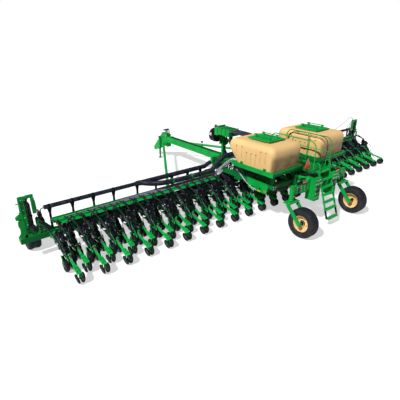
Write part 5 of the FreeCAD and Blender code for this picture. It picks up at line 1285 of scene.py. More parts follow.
def buildSign():
    r = rear
    x, y = r["signX"], r["signY"]
    inner = bluntTriangle(x, r["signLow"] + 0.045, r["signTop"] - 0.075, r["signHalf"] - 0.07, 0.02)
    field = Shape().prism(inner, "y", y - 0.009, y - 0.004)
    rim = Shape().prism(bluntTriangle(x, r["signLow"], r["signTop"], r["signHalf"], 0.04), "y", y - 0.004, y)
    stalk = Shape().boxes((x - 0.015, x + 0.015, y, y + 0.012, 1.93, r["signTop"] - 0.12),
                          (x - 0.015, -r["deckHalf"], y, y + 0.012, 1.96, 1.985))
    for z in (2.2, 2.32):
        stalk.rod((x, y - 0.013, z), (x, y + 0.018, z), 0.01, 8)
    piece("sign_field", field, "orange", 0.002, stands=["slow_vehicle_sign"])
    piece("sign_rim", rim, "red", 0.002)
    piece("sign_stalk", stalk, "deepGreen", 0.002)


def buildDeck():
    r = rear
    slat = Shape().box(-0.5, 0.5, -0.012, 0.012, 0.0, 0.014)
    count = int((r["deckFront"] - r["deckRear"]) / r["slatPitch"]) - 1
    spots = [(0, r["deckRear"] + 0.05 + r["slatPitch"] * k, r["deckZ"]) for k in range(count)]
    repeated("deck_slats", slat, spots, "green")
    bars = Shape()
    for x in (-0.42, -0.28, -0.14, 0.0, 0.14, 0.28, 0.42):
        bars.box(x - 0.006, x + 0.006, r["deckRear"] + 0.03, r["deckFront"] - 0.03, r["deckZ"], r["deckZ"] + 0.011)
    piece("deck_bars", bars, "deepGreen")
    # serrated grip along the front edge of each ladder tread
    tooth = Shape().prism([(-0.007, 0), (0.007, 0), (0.004, 0.01), (-0.004, 0.01)], "x", -0.009, 0.009)
    teeth = []
    for k in range(5):
        z = r["strapZ"] + 0.03 + k * (r["deckZ"] - r["strapZ"] - 0.06) / 5
        for n in range(17):
            for dy in (-0.052, 0.0, 0.052):
                teeth.append((-0.296 + 0.037 * n, ladderY(z) + dy, z + 0.014))
    repeated("tread_grip", tooth, teeth, "green")
    straps = Shape()
    for side in (-1, 1):
        x = side * r["ladderHalf"]
        for n in range(7):
            z0 = 0.326 + n * 0.0435
            z1 = z0 + 0.045
            straps.beam((x, ladderY(z0), z0), (x, ladderY(z1), z1), 0.026 if n % 2 else 0.034, 0.07, (0, 0, 1))
    piece("step_straps", straps, "black", 0.002, stands=["ladder_step"])
    step, y = Shape(), ladderY(r["stepZ"])
    step.boxes((-0.316, 0.316, y - 0.074, y + 0.074, 0.314, 0.33), (-0.316, 0.316, y - 0.074, y - 0.064, 0.302, 0.33),
               (-0.316, 0.316, y + 0.064, y + 0.074, 0.302, 0.33))
    for side in (-1, 1):
        step.box(side * 0.318 - 0.012, side * 0.318 + 0.012, y - 0.04, y + 0.04, 0.302, 0.385)
    piece("hung_step", step, "green", 0.003)
    small = [((-0.28 + 0.035 * n, y + dy, 0.33), (0, 0, 0), 0.8) for n in range(17) for dy in (-0.045, 0.045)]
    repeated("hung_step_grip", tooth, small, "green")
    rails = Shape()
    foot = [(0, 0.021), (0, 0.036), (0.012, 0.036), (0.014, 0.024), (0.03, 0.021)]
    for side in (-1, 1):
        for railY in (-3.91, -2.885, -1.86):
            rails.turned(foot, (side * 0.49, railY, r["deckZ"] + 0.001), (0, 0, 1), 14)
        for railY in (-3.91, -1.86):
            rails.box(side * 0.512 - 0.004, side * 0.512 + 0.004, railY - 0.035, railY + 0.035, 1.955, 2.06)
    piece("rail_feet", rails, "green")
    under = Shape()
    for side in (-1, 1):
        under.box(side * 0.3 - 0.05, side * 0.3 + 0.05, -3.955, -1.7, 1.915, 1.95)
    under.boxes((-0.18, 0.1, -3.55, -3.2, 1.72, 1.89), (-0.14, 0.06, -3.5, -3.25, 1.66, 1.72))
    piece("deck_underside", under, "slate", 0.004)


def starOutline(y, z, outer, inner):
    radii = [inner if k % 2 else outer for k in range(10)]
    return [(y + r * math.sin(math.pi * k / 5), z + r * math.cos(math.pi * k / 5)) for k, r in enumerate(radii)]


def buildSideBeams():
    bx = rear["beamX"]
    plate = [(-1.97, 1.6), (-3.01, 1.56), (-3.01, 1.4), (-2.95, 1.165), (-2.08, 1.165), (-1.97, 1.4)]
    slotEdge = [(-2.32, 1.25), (-2.12, 1.25), (-2.12, 1.3), (-2.32, 1.3)]
    for side, label in sides:
        face = Shape().prism(plate, "x", bx + 0.002, bx + 0.01)
        holes = [Shape().prism(edge, "x", bx - 0.01, bx + 0.02)
                 for edge in (starOutline(-2.64, 1.29, 0.06, 0.03), slotEdge)]
        carved(label + "_beam_plate", sided(face, side), [("DIFFERENCE", sided(hole, side)) for hole in holes],
               "green", "centre_frame", (), False)
        trims = Shape()
        trims.boxes((bx + 0.002, bx + 0.014, -3.2, -1.2, 1.548, 1.56),
                    (bx + 0.002, bx + 0.014, -3.24, -3.06, 1.41, 1.56))
        trims.prism([(-1.2, 1.42), (-0.6, 1.42), (-0.45, 1.5), (-0.45, 1.56), (-1.2, 1.56)], "x", bx + 0.002,
                    bx + 0.01)
        trims.boxes((bx - 0.118, bx + 0.006, -3.262, -3.245, 1.4, 1.57),
                    (bx - 0.06, bx - 0.04, -2.3, -2.12, 1.18, 1.39), (bx - 0.05, bx + 0.012, -1.58, -1.3, 1.3, 1.395))
        piece(label + "_beam_trims", sided(trims, side), "deepGreen", 0.003)
        amber = Shape().box(bx + 0.01, bx + 0.017, -2.66, -2.52, 1.172, 1.215)
        red = Shape().boxes((bx + 0.01, bx + 0.017, -2.94, -2.83, 1.225, 1.27),
                            (1.6, 1.74, -3.237, -3.23, 1.46, 1.505))
        piece(label + "_side_reflector", sided(amber, side), "amber", 0.002)
        piece(label + "_rear_reflector", sided(red, side), "red", 0.002)
    lamp = Shape().box(0.95, 1.16, -4.01, -3.992, 1.74, 1.8)
    piece("rear_lamp_glass", lamp.bothSides(), "red", 0.003)
    holder = Shape()
    holder.boxes((0.94, 1.17, -3.992, -3.97, 1.73, 1.81), (1.03, 1.08, -3.975, -3.83, 1.7, 1.745))
    piece("rear_lamp_holders", holder.bothSides(), "black", 0.003)


def buildCradles():
    # outer channels of the tanks' cradles, over the frame's own rails, in the plain green that is lighter than the
    # frame: painted light on the rails
    s = Shape()
    x = tank["x"] + tank["wide"] / 2 + 0.011
    s.boxes((x, x + 0.008, -3.53, -1.56, 2.045, 2.205), (x - 0.07, x + 0.02, -3.53, -1.56, 2.2, 2.208),
            (x, x + 0.022, -3.53, -1.56, 2.045, 2.053))
    s.prism([(-1.56, 2.045), (-1.56, 2.205), (-1.45, 2.235), (-1.43, 2.14)], "x", x, x + 0.008)
    for y in (-3.14, -2.02):
        s.boxes((x - 0.01, x + 0.02, y - 0.06, y + 0.06, 2.205, 2.292),
                (x - 0.022, x - 0.01, y - 0.045, y + 0.045, 2.205, 2.275))
    s.box(0.6, 2.27, -3.507, -3.5, 2.14, 2.205)
    piece("cradle_channels", s.bothSides(), "green", 0.003)
    cap = Shape()
    for y in (-3.14, -2.02):
        cap.box(x + 0.02, x + 0.03, y - 0.03, y + 0.03, 2.215, 2.262)
    piece("cradle_pads", cap.bothSides(), "hole", 0.003)


def buildBolts():
    # hex bolts in the pattern each joint of the frame has
    bolts, painted = [], []
    railX, beamX = tank["x"] + tank["wide"] / 2 + 0.019, rear["beamX"] + 0.01
    # each row: list, size, the way the bolts face, and where they stand on the right side
    rows = [
        (painted, 1.0, "side", [(beamX, y, 1.52) for y in (-2.04, -2.22, -2.46, -2.82, -2.97)]),
        (painted, 0.9, "side", [(beamX, y, 1.235) for y in (-2.16, -2.46, -2.74, -2.9)]),
        (painted, 0.9, "side", [(beamX, y, 1.47) for y in (-0.55, -0.75, -0.95, -1.12)]),
        (bolts, 0.9, "back", [(x, -3.262, z) for x in (1.74, 1.84) for z in (1.44, 1.53)]),
        (bolts, 1.1, "back", [(x, -4.22, z) for x in (0.42, 0.54, 0.64) for z in (1.1, 1.28, 1.46, 1.64, 1.78)]),
        (bolts, 0.8, "back", [(x, -3.985, z) for z in (1.47, 1.56, 1.63) for x in (0.8, 1.0, 1.2, 1.42)]),
        (bolts, 1.0, "side", [(0.66, y, z) for y in (-3.3, -3.45, -3.6) for z in (1.44, 1.56)]),
        (painted, 0.8, "side", [(railX, y, 2.12) for y in (-3.35, -3.05, -2.72, -2.4, -2.05, -1.75)]),
        (painted, 0.8, "back", [(x, -3.502, 2.12) for x in (0.78, 1.1, 1.42, 1.74, 2.06)]),
        (bolts, 1.0, "up", [(0.2, 2.05, 1.082), (0.2, 1.8, 1.082), (0.36, 1.6, 1.082)]),
        (bolts, 1.0, "back", [(x, 1.31, 1.25) for x in (0.3, 0.5, 0.7)]),
        (bolts, 1.0, "up", [(1.5, 0.05, 0.836), (1.62, 0.06, 0.836), (1.5, 0.2, 0.836), (1.62, 0.24, 0.836)]),
    ]
    for side in (-1, 1):
        turns = {"side": (0, side * 90, 0), "back": (90, 0, 0), "up": (0, 0, 0)}
        for into, size, way, places in rows:
            into.extend(((side * x, y, z), turns[way], size) for x, y, z in places)
    repeated("frame_bolts", clampBolt, bolts, "zinc")
    repeated("painted_bolts", clampBolt, painted, "green")
    forkBolts = Shape().turned([(0, 0), (0, 0.019), (0.012, 0.019), (0.012, 0)], (0, 0, 0), (0, 0, 1), 6)
    for side, label in sides:
        x, y = side * kingpin[0], kingpin[1]
        spots = [((x + dx, y + dy, 1.17), (0, 0, 0), 1) for dx in (-0.24, 0.24) for dy in (-0.1, 0.05)]
        spots += [((x + dx * 0.8, -4.071, 1.148), (90, 0, 0), 0.8) for dx in (-0.26, -0.1, 0.1, 0.26)]
        repeated(label + "_crown_bolts", forkBolts, spots, "zinc", label + "_caster_fork")


def buildArms():
    # plates, ribs, ram ends and hoses of the two rear arms
    green, dark, bright = Shape(), Shape(), Shape()
    green.boxes((0.352, 0.69, -4.228, -3.822, 1.845, 1.862), (0.352, 0.69, -4.228, -3.822, 0.992, 1.006),
                (0.35, 0.362, -4.15, -3.9, 1.1, 1.75))
    green.prism([(0.7, 1.4), (0.9, 1.36), (1.1, 1.36), (1.3, 1.4)], "y", -3.995, -3.983)
    for x in (0.86, 1.02, 1.18):
        green.box(x - 0.006, x + 0.006, -3.995, -3.825, 1.36, 1.41)
    for x in (0.61, 0.668):
        green.prism([(-3.6, 1.63), (-3.28, 1.63), (-3.28, 1.73), (-3.36, 1.8), (-3.48, 1.8)], "x", x, x + 0.015)
    green.turned([(0, 0.06), (0, 0.098), (0.026, 0.098), (0.032, 0.086), (0.47, 0.086), (0.476, 0.098), (0.5, 0.098),
                  (0.5, 0.06)], (*kingpin, 1.184), (0, 0, 1), 20)
    green.prism([(1.3, 1.69), (1.46, 1.69), (1.52, 1.64), (1.3, 1.64)], "y", -3.94, -3.88)
    green.box(1.4, 1.55, -3.985, -3.835, 1.69, 1.702)
    dark.box(0.4, 0.64, -4.1, -3.92, 1.862, 1.905)
    dark.rods(((0.46, -4.06, 1.9), (0.46, -4.06, 1.96), 0.028, 12),
              ((0.58, -4.04, 1.9), (0.58, -4.04, 1.95), 0.024, 12))
    dark.box(1.1, 1.32, -3.965, -3.87, 1.69, 1.765)
    dark.rods(((1.14, -3.92, 1.765), (1.14, -3.92, 1.81), 0.022, 10),
              ((1.27, -3.92, 1.765), (1.27, -3.92, 1.8), 0.02, 10))
    dark.box(0.44, 0.6, -4.236, -4.226, 1.3, 1.56)
    bright.rod((0.65, -3.62, 1.763), (0.65, -3.84, 1.787), 0.022, 14)
    for y, z in ((-3.3, 1.742), (-3.74, 1.776)):
        bright.rod((0.6, y, z), (0.69, y, z), 0.02, 12)
    bright.rod((1.14, -3.92, 1.8), (1.14, -3.92, 1.825), 0.012, 8)
    piece("arm_plates", green.bothSides(), "green", 0.003)
    piece("arm_valves", dark.bothSides(), "black", 0.003)
    piece("arm_ram_ends", bright.bothSides(), "steel")
    rng, lines = random.Random(12), []
    for side in (-1, 1):
        run = []
        for k in range(4):
            z = 1.93 + rng.uniform(-0.01, 0.04)
            run.append([(0.46 + 0.04 * k, -4.03, 1.9), (0.47 + 0.04 * k, -3.96, z),
                        (0.5 + 0.05 * k, -3.75, z - 0.05 - 0.02 * k), (0.56 + 0.03 * k, -3.45, 1.84),
                        (0.52 + 0.03 * k, -3.2, 1.66), (0.46 + 0.03 * k, -2.7, 1.6)])
        for k in range(3):
            run.append([(1.13 + 0.05 * k, -3.92, 1.78), (1.05 + 0.05 * k, -3.9, 1.87 + 0.02 * k),
                        (0.92 + 0.03 * k, -3.88, 1.83), (0.8 + 0.02 * k, -3.84, 1.83), (0.72 + 0.01 * k, -3.7, 1.72),
                        (0.7, -3.4, 1.64), (0.78 + 0.03 * k, -3.0, 1.6)])
        for k in range(3):
            run.append([(1.3 + 0.02 * k, -3.99, 1.6), (1.4 + 0.02 * k, -4.03, 1.48 - 0.03 * k),
                        (1.49 + 0.01 * k, -4.03, 1.4), (1.515, -3.97, 1.3 - 0.02 * k), (1.52, -3.9, 1.25)])
        for k in range(4):
            z = 1.3 + 0.03 * k
            run.append([(0.7, -3.235, z + 0.05), (1.0, -3.24, z - 0.02 + rng.uniform(-0.02, 0.02)),
                        (1.3, -3.24, z + rng.uniform(-0.03, 0.02)), (1.62, -3.25, z + 0.02), (1.8, -3.2, z + 0.06),
                        (1.88, -3.05, z + 0.04)])
        lines += mirroredTo(side, run)
    hoses("arm_hoses", lines, plainHose(0.012, 0.045), "hose")


def buildTankLines():
    # wiring and vent lines over the inner side of each tank, and the pale ones along the side beams
    x = rear["tankInner"] - 0.016
    arch = [(-1.88, 2.69), (-1.92, 2.84), (-2.06, 2.99), (-2.3, 3.045), (-2.58, 3.06), (-3.05, 3.065), (-3.4, 3.055),
            (-3.62, 2.99), (-3.7, 2.84), (-3.72, 2.55), (-3.66, 2.22)]
    low = [(-2.2, 2.46), (-2.45, 2.435), (-2.7, 2.425), (-3.05, 2.445), (-3.38, 2.37), (-3.5, 2.25)]
    routes = []
    for path in (arch, low):
        routes.append([(x if y > -3.42 else x - 0.02, y, z) for y, z in path])
    routes.append([(-x, y, z) for y, z in low])
    hoses("tank_lines", routes, plainHose(0.013, 0.04, 8), "hose")
    clip = Shape().box(-0.012, 0.012, -0.014, 0.014, -0.022, 0.022)
    spots = [(x + 0.004, y, z) for y, z in ((-1.9, 2.76), (-2.3, 3.045), (-2.9, 3.063), (-3.38, 3.056), (-2.7, 2.425),
                                            (-3.1, 2.44))]
    repeated("tank_line_clips", clip, spots, "black")
    rng, pale, dark = random.Random(4), [], []
    for side in (-1, 1):
        outer = [[(1.875 + 0.016 * k, -1.35 - 0.05 * k, 1.72), (1.885 + 0.012 * k, -1.6, 1.64 - 0.02 * k),
                  (1.9 + 0.01 * k, -1.95, 1.4 + rng.uniform(-0.02, 0.02)), (1.895, -2.25, 1.24 + 0.02 * k),
                  (1.88, -2.48, 1.2 + 0.02 * k)] for k in range(2)]
        run = []
        for k in range(6):
            y0 = -2.62 + 0.085 * k
            run.append([(1.2, y0, 1.52), (1.1 - 0.02 * k, y0 + 0.02, 1.4 - rng.uniform(0, 0.1)),
                        (1.05 + 0.07 * k, -1.95 + 0.03 * k, 1.36), (1.2 + 0.07 * k, -1.5, 1.44 + 0.02 * k),
                        (1.45 + 0.05 * k, -1.05, 1.7), (1.6 + 0.03 * k, -0.85, 1.62)])
        for k in range(5):
            z = 1.7 + 0.035 * k
            run.append([(1.72, -3.05 + 0.1 * k, z), (1.86 + 0.01 * k, -2.8 + 0.1 * k, z + 0.1),
                        (1.92 + 0.01 * k, -2.35 + 0.05 * k, z + 0.02 * k), (1.88, -1.95, z + 0.03),
                        (1.76, -1.55, z - 0.04)])
        pale += mirroredTo(side, outer)
        dark += mirroredTo(side, run)
    hoses("beam_pale_hoses", pale, {"radius": 0.009, "ringPitch": 0.02, "ringDepth": 0.02, "step": 0.03, "sides": 6},
          "paleHose")
    hoses("tank_under_hoses", dark, plainHose(0.017, 0.05, 7), "hose")
    gear = Shape()
    for y in (-2.76, -2.6, -2.44, -2.28, -2.12):
        gear.box(1.16, 1.7, y - 0.055, y + 0.055, 1.395, 1.425)
        gear.rods(((1.2, y, 1.44), (1.2, y, 1.56), 0.045, 12), ((1.7, y, 1.5), (1.745, y, 1.5), 0.055, 12))
    gear.box(1.24, 1.6, -2.72, -2.1, 1.735, 1.752)
    gear.rod((1.43, -2.8, 1.48), (1.43, -2.72, 1.48), 0.07, 14)
    piece("seed_box_gear", gear.bothSides(), "black", 0.003)


def buildLids():
    # ribs, latches and the seal of a tank's lid
    for side, label in sides:
        ribs = Shape()
        top = 3.114
        for y in (-2.78, -2.38, -1.98):
            ribs.prism([(1.02, top), (1.78, top), (1.76, top + 0.016), (1.04, top + 0.016)], "y", y - 0.025, y + 0.025)
        ribs.boxes((1.1, 1.13, -2.84, -1.92, top, top + 0.012), (1.67, 1.7, -2.84, -1.92, top, top + 0.012))
        piece(label + "_lid_ribs", sided(ribs, side), "green", 0.004, label + "_hopper_lid")
        seal = Shape()
        for edges in ((0.966, 0.98, -2.905, -1.855), (1.82, 1.834, -2.905, -1.855), (0.966, 1.834, -2.912, -2.898),
                      (0.966, 1.834, -1.862, -1.848)):
            seal.box(*edges, 3.0815, 3.0845)
        piece(label + "_lid_seal", sided(seal, side), "black", body=label + "_hopper_lid")


buildSign()
buildDeck()
buildSideBeams()
buildArms()
buildTankLines()
buildCradles()
buildBolts()
buildLids()
print("rear frame dressed")


fan = {
    "x": -0.33, "z": 2.33, "back": 1.44, "mouth": 1.77, "radius": 0.31,
    "guardRings": (0.075, 0.125, 0.175, 0.225, 0.262),
    "boxRear": 0.4, "boxHalf": 0.29, "boxLow": 2.47, "boxTop": 2.77,
}
airHose = {"radius": 0.04, "pitch": 0.092, "topZ": 2.7, "dropY": -0.56, "footY": -0.98, "turnY": -1.22, "slant": 0.25,
           "endZ": 1.622, "endX": 1.365, "endY": -2.2975}
duct = {"y": -0.2, "z": 1.92}


def ringGuard(centre, rings, wire, sides, spokes, reach, spokeR, spokeSides):
    # wire rings in one upright plane, held by spokes; spokes: count and first angle; reach: from and to
    s, (x, y, z) = Shape(), centre
    for ring in rings:
        s.disc(centre, (0, 1, 0), ring - wire / 2, ring + wire / 2, wire, sides)
    for k in range(spokes[0]):
        a = math.radians(360 / spokes[0] * k + spokes[1])
        s.rod(*[(x + r * math.cos(a), y, z + r * math.sin(a)) for r in reach], spokeR, spokeSides)
    return s


def buildFan():
    f = fan
    start = (f["x"], f["back"], f["z"])
    deep, r = f["mouth"] - f["back"], f["radius"]
    shell = Shape()
    shell.turned([(0, 0), (0, r - 0.03), (0.008, r - 0.012), (0.03, r - 0.01), (0.036, r), (0.062, r),
                  (0.068, r - 0.01), (0.15, r - 0.01), (0.156, r - 0.002), (0.176, r - 0.002), (0.182, r - 0.01),
                  (deep - 0.06, r - 0.01), (deep - 0.05, r), (deep, r), (deep, r - 0.07), (deep - 0.035, r - 0.07),
                  (deep - 0.045, r - 0.024), (0.03, r - 0.024), (0.02, r - 0.035), (0.02, 0)], start, (0, 1, 0), 40)
    piece("fan_drum", shell, "black", stands=["fan_housing"])
    rib = Shape().prism([(0.04, 0.0), (deep - 0.055, 0.0), (deep - 0.055, 0.014), (0.04, 0.01)], "x", -0.006, 0.006)
    # the rib stands on the drum's wall and is turned round the fan's axis
    ribs = Shape()
    for k in range(18):
        ribs.add(rib, place(*start) @ Matrix.Rotation(math.radians(20 * k), 4, "Y") @ place(0, 0, r - 0.012))
    piece("fan_ribs", ribs, "slate")
    front = (f["x"], f["mouth"] - 0.012, f["z"])
    guard = ringGuard(front, f["guardRings"], 0.009, 28, (6, 15), (0.05, 0.275), 0.005, 6)
    guard.disc(front, (0, 1, 0), 0.03, 0.056, 0.012, 20)
    piece("fan_guard", guard, "steel")
    bright = Shape()
    bright.prism([(-0.26, 2.645), (-0.1, 2.645), (-0.1, 2.7), (-0.16, 2.74), (-0.26, 2.7)], "y", 1.62, 1.66)
    bright.boxes((-0.3, -0.06, 1.5, 1.72, 2.636, 2.648), (-0.656, -0.636, 1.56, 1.74, 2.34, 2.48),
                 (-0.42, -0.28, 1.6, 1.72, 2.008, 2.022))
    piece("fan_brackets", bright, "zinc", 0.003)
    motor = Shape()
    motor.rods(((f["x"], 1.3, f["z"]), (f["x"], 1.425, f["z"]), 0.062, 16),
               ((f["x"], 1.22, f["z"]), (f["x"], 1.3, f["z"]), 0.045, 14))
    motor.box(f["x"] - 0.05, f["x"] + 0.05, 1.24, 1.3, f["z"] + 0.03, f["z"] + 0.09)
    piece("fan_motor", motor, "black", 0.003)
    plate = Shape()
    for z in (2.02, 2.34, 2.66):
        plate.box(-0.262, 0.06, 1.408, 1.425, z - 0.012, z + 0.012)
    plate.boxes((0.04, 0.066, 1.385, 1.425, 1.92, 2.77), (-0.266, -0.244, 1.385, 1.425, 1.92, 2.1))
    plate.prism([(-0.055, 1.39), (0.2, 1.39), (0.02, 1.7), (-0.055, 1.7)], "y", 1.335, 1.349)
    plate.box(-0.155, -0.045, 1.325, 1.335, 1.39, 2.25)
    piece("fan_plate_ribs", plate, "green", 0.003)
    cooler = ringGuard((0.17, 1.524, 1.96), (0.04, 0.075, 0.11, 0.145, 0.17), 0.008, 24, (8, 0), (0, 0.17), 0.004, 5)
    piece("cooler_guard", cooler, "steel")
    collars = Shape()
    for side in (-1, 1):
        for k in range(3):
            x = f["x"] + side * 1.5 * airHose["pitch"] + (k - 1) * airHose["pitch"]
            collars.disc((x, f["boxRear"] - 0.012, airHose["topZ"]), (0, 1, 0), 0.036, 0.045, 0.03, 16)
    piece("air_hose_clamps", collars, "zinc")
    trims = Shape()
    h = f["boxHalf"]
    for y in (0.42, 0.66, 0.92, 1.18):
        for x0, x1, low in ((-h - 0.006, h + 0.006, f["boxTop"]), (-h - 0.01, -h, f["boxLow"]),
                            (h, h + 0.01, f["boxLow"])):
            trims.box(f["x"] + x0, f["x"] + x1, y - 0.012, y + 0.012, low, f["boxTop"] + 0.012)
    trims.box(f["x"] - 0.18, f["x"] + 0.18, 0.55, 1.05, f["boxTop"], f["boxTop"] + 0.008)
    piece("air_box_trims", trims, "deepGreen", 0.003)
    lines, rng = [], random.Random(8)
    for k in range(4):
        x = -0.06 + 0.024 * k
        lines.append([(f["x"] + 0.03, 1.27, 2.4), (f["x"] + 0.12, 1.2, 2.44 + 0.02 * k), (x, 1.22, 2.3),
                      (x + rng.uniform(-0.02, 0.02), 1.28, 2.0), (x, 1.3, 1.7), (x + 0.02, 1.28, 1.45),
                      (x + 0.05, 1.45, 1.385)])
    hoses("fan_oil_hoses", lines, plainHose(0.013, 0.04), "hose")


def buildAirHoses():
    a, f = airHose, fan
    shift = math.tan(math.atan(1 / a["slant"]) / 2)
    routes = []
    for side in (-1, 1):
        for k in range(3):
            offset = (k - 1) * a["pitch"]
            x0 = f["x"] + side * 1.5 * a["pitch"] + offset
            x1 = side * a["endX"] + offset
            turnY = a["turnY"] + side * offset * shift
            outY = turnY - abs(x1 - x0) * a["slant"]
            corners = [(x0, f["boxRear"], a["topZ"]), (x0, a["dropY"], a["topZ"]), (x0, a["footY"], a["endZ"]),
                       (x0, turnY, a["endZ"]), (x1, outY, a["endZ"]), (x1, a["endY"] + 0.1, a["endZ"])]
            routes.append(softened(corners, 0.3))
    hoses("air_hoses_ribbed", routes, {"radius": a["radius"], "ringPitch": 0.024, "ringDepth": 0.02, "step": 0.012,
                                       "sides": 14}, "duct", stands=["air_hoses"])
    band = Shape().disc((0, 0, 0), (1, 0, 0), 0.096, 0.104, 0.04, 24)
    spots = [(x, duct["y"], duct["z"]) for x in (-1.1, -0.9, -0.66, -0.48, 0.0, 0.48, 0.66, 0.9, 1.1)]
    repeated("duct_bands", band, spots, "slate")
    strap = Shape()
    for side in (-1, 1):
        strap.box(side * 0.57 - 0.045, side * 0.57 + 0.045, -0.3, -0.1, 1.54, 1.556)
        strap.disc((side * 0.57, duct["y"], duct["z"]), (1, 0, 0), 0.098, 0.11, 0.055, 24)
    piece("duct_saddles", strap, "green")


def softened(points, share):
    # adds a point before and after each corner, so that the hose's curve turns near it
    out = [points[0]]
    for a, b, c in zip(points, points[1:], points[2:]):
        a, b, c = Vector(a), Vector(b), Vector(c)
        out += [tuple(b + (a - b) * share), tuple(b + ((a + c) / 2 - b) * share * 0.35), tuple(b + (c - b) * share)]
    return out + [points[-1]]


def buildTongue():
    green, dark, bright = Shape(), Shape(), Shape()
    # sleeve: welded doubler plates, hose clamps and the front collar's wear pads
    green.plates([(1.46, 1.08), (2.3, 1.08), (2.05, 1.34), (1.46, 1.34)], 0.15, 0.16)
    green.plates([(5.2, 1.06), (5.84, 1.06), (5.84, 1.32), (5.35, 1.32)], 0.15, 0.158)
    for side in (-1, 1):
        for z in (1.1, 1.28):
            bright.rod((side * 0.166, 5.905, z), (side * 0.176, 5.905, z), 0.018, 8)
    green.boxes((-0.12, 0.12, 1.46, 2.1, 1.35, 1.362), (-0.2, 0.2, 1.47, 1.5, 1.35, 1.47))
    for y in (2.2, 2.9, 3.6, 4.3, 5.0, 5.6):
        dark.box(-0.1, 0.02, y - 0.02, y + 0.02, 1.35, 1.392)
        bright.rod((-0.04, y, 1.392), (-0.04, y, 1.4), 0.01, 6)
    dark.rod((0.15, 3.22, 1.35), (0.15, 3.22, 1.56), 0.011, 8)
    dark.box(0.1, 0.2, 3.205, 3.265, 1.54, 1.62)
    bright.box(0.108, 0.192, 3.265, 3.27, 1.548, 1.612)
    dark.box(0.12, 0.18, 3.18, 3.26, 1.35, 1.358)
    piece("sleeve_plates", green, "green", 0.003)
    piece("sleeve_clips", dark, "black", 0.002)
    piece("sleeve_bolts", bright, "zinc")
    rng, lines = random.Random(6), []
    clipped = [-0.086 + 0.022 * k for k in range(5)]    # where the clips hold the five hoses, across the sleeve
    for x in clipped:
        ys = [1.62, 2.2, 2.55, 2.9, 3.25, 3.6, 3.95, 4.3, 4.65, 5.0, 5.3, 5.6, 5.8]
        lines.append([(x, y, 1.368) if i % 2 else (x + rng.uniform(-0.006, 0.006), y, 1.378)
                      for i, y in enumerate(ys)])
    for k in range(6):
        x0 = -0.35 + 0.13 * k
        lines.append([(clipped[min(k, 4)], 1.62, 1.368), (x0 * 0.5, 1.4, 1.395),
                      (x0, 1.24, 1.34 + rng.uniform(-0.03, 0.05)), (x0 * 1.2, 0.9, 1.2 + rng.uniform(-0.05, 0.05)),
                      (x0 * 1.1, 0.55, 1.06), (x0 * 1.3, 0.24, 0.9), (x0 * 1.4, 0.03, 0.825)])
    hoses("sleeve_hoses", lines, plainHose(0.0105, 0.05), "hose")
    # head: cheek plates, ribs, pin, hose rack and the bundle that goes to the tractor
    green, dark, bright = Shape(), Shape(), Shape()
    green.plates([(6.12, 0.86), (6.55, 0.86), (6.55, 1.46), (6.12, 1.46)], 0.134, 0.146)
    green.plates([(6.62, 0.8), (7.05, 0.62), (7.2, 0.62), (6.82, 1.2), (6.62, 1.4)], 0.134, 0.141)
    for side in (-1, 1):
        for y, z in ((6.18, 0.94), (6.48, 0.94), (6.18, 1.38), (6.48, 1.38), (6.33, 1.16)):
            bright.rod((side * 0.146, y, z), (side * 0.16, y, z), 0.02, 6)
        for y, z in ((6.72, 0.92), (6.96, 0.76), (6.76, 1.16)):
            dark.rod((side * 0.1345, y, z), (side * 0.1425, y, z), 0.04, 16)
    green.boxes((-0.05, -0.03, 6.3, 6.36, 1.48, 1.74), (0.03, 0.05, 6.3, 6.36, 1.48, 1.74),
                (-0.17, 0.17, 6.31, 6.35, 1.66, 1.74), (-0.13, 0.13, 6.6, 6.63, 1.36, 1.5))
    couplers = [-0.14 + 0.056 * k for k in range(6)]
    for x in couplers:
        dark.rod((x, 6.35, 1.7), (x, 6.41, 1.7), 0.02, 10)
        bright.rod((x, 6.41, 1.7), (x, 6.45, 1.7), 0.013, 8)
    bright.rod((0, 7.565, 0.24), (0, 7.565, 0.255), 0.012, 6)
    piece("head_plates", green, "green", 0.003, "tongue_inner")
    piece("head_fittings", dark, "black", 0.002, "tongue_inner")
    piece("head_bolts", bright, "zinc", body="tongue_inner")
    loops = [[(x, 6.37, 1.7), (x, 6.28, 1.74 + rng.uniform(0, 0.03)), (x * 0.8, 6.17, 1.66), (x * 0.7, 6.12, 1.54),
              (x * 0.6, 6.16, 1.49)] for x in couplers]
    hoses("head_hoses", loops, plainHose(0.0105, 0.03), "hose", "tongue_inner")
    jack = Shape()
    jack.rods(((-0.245, 6.7, 1.24), (-0.245, 6.7, 1.3), 0.03, 12),
              ((-0.245, 6.7, 1.288), (-0.37, 6.7, 1.288), 0.01, 8),
              ((-0.37, 6.7, 1.288), (-0.37, 6.7, 1.38), 0.012, 8))
    jack.boxes((-0.3, -0.19, 6.645, 6.755, 1.232, 1.248), (-0.302, -0.188, 6.643, 6.757, 0.56, 0.585))
    piece("jack_crank", jack, "black", 0.002, "tongue_inner")
    wingEnd, headEnd = Vector((4.0, 0.3025, 0.79)), Vector((0.34, 6.18, 0.99))
    along = (headEnd - wingEnd).normalized()
    for side, label in sides:
        link = Shape()
        for at in (0.26, 0.62, 5.9):
            c = wingEnd + along * at
            link.turned([(-0.02, 0.06), (-0.02, 0.071), (0.02, 0.071), (0.02, 0.06)], (side * c.x, c.y, c.z),
                        (side * along.x, along.y, along.z), 18)
        piece(label + "_link_bands", link, "deepGreen", body=label + "_draft_link")


buildFan()
buildAirHoses()
buildTongue()
print("tongue and fan dressed")


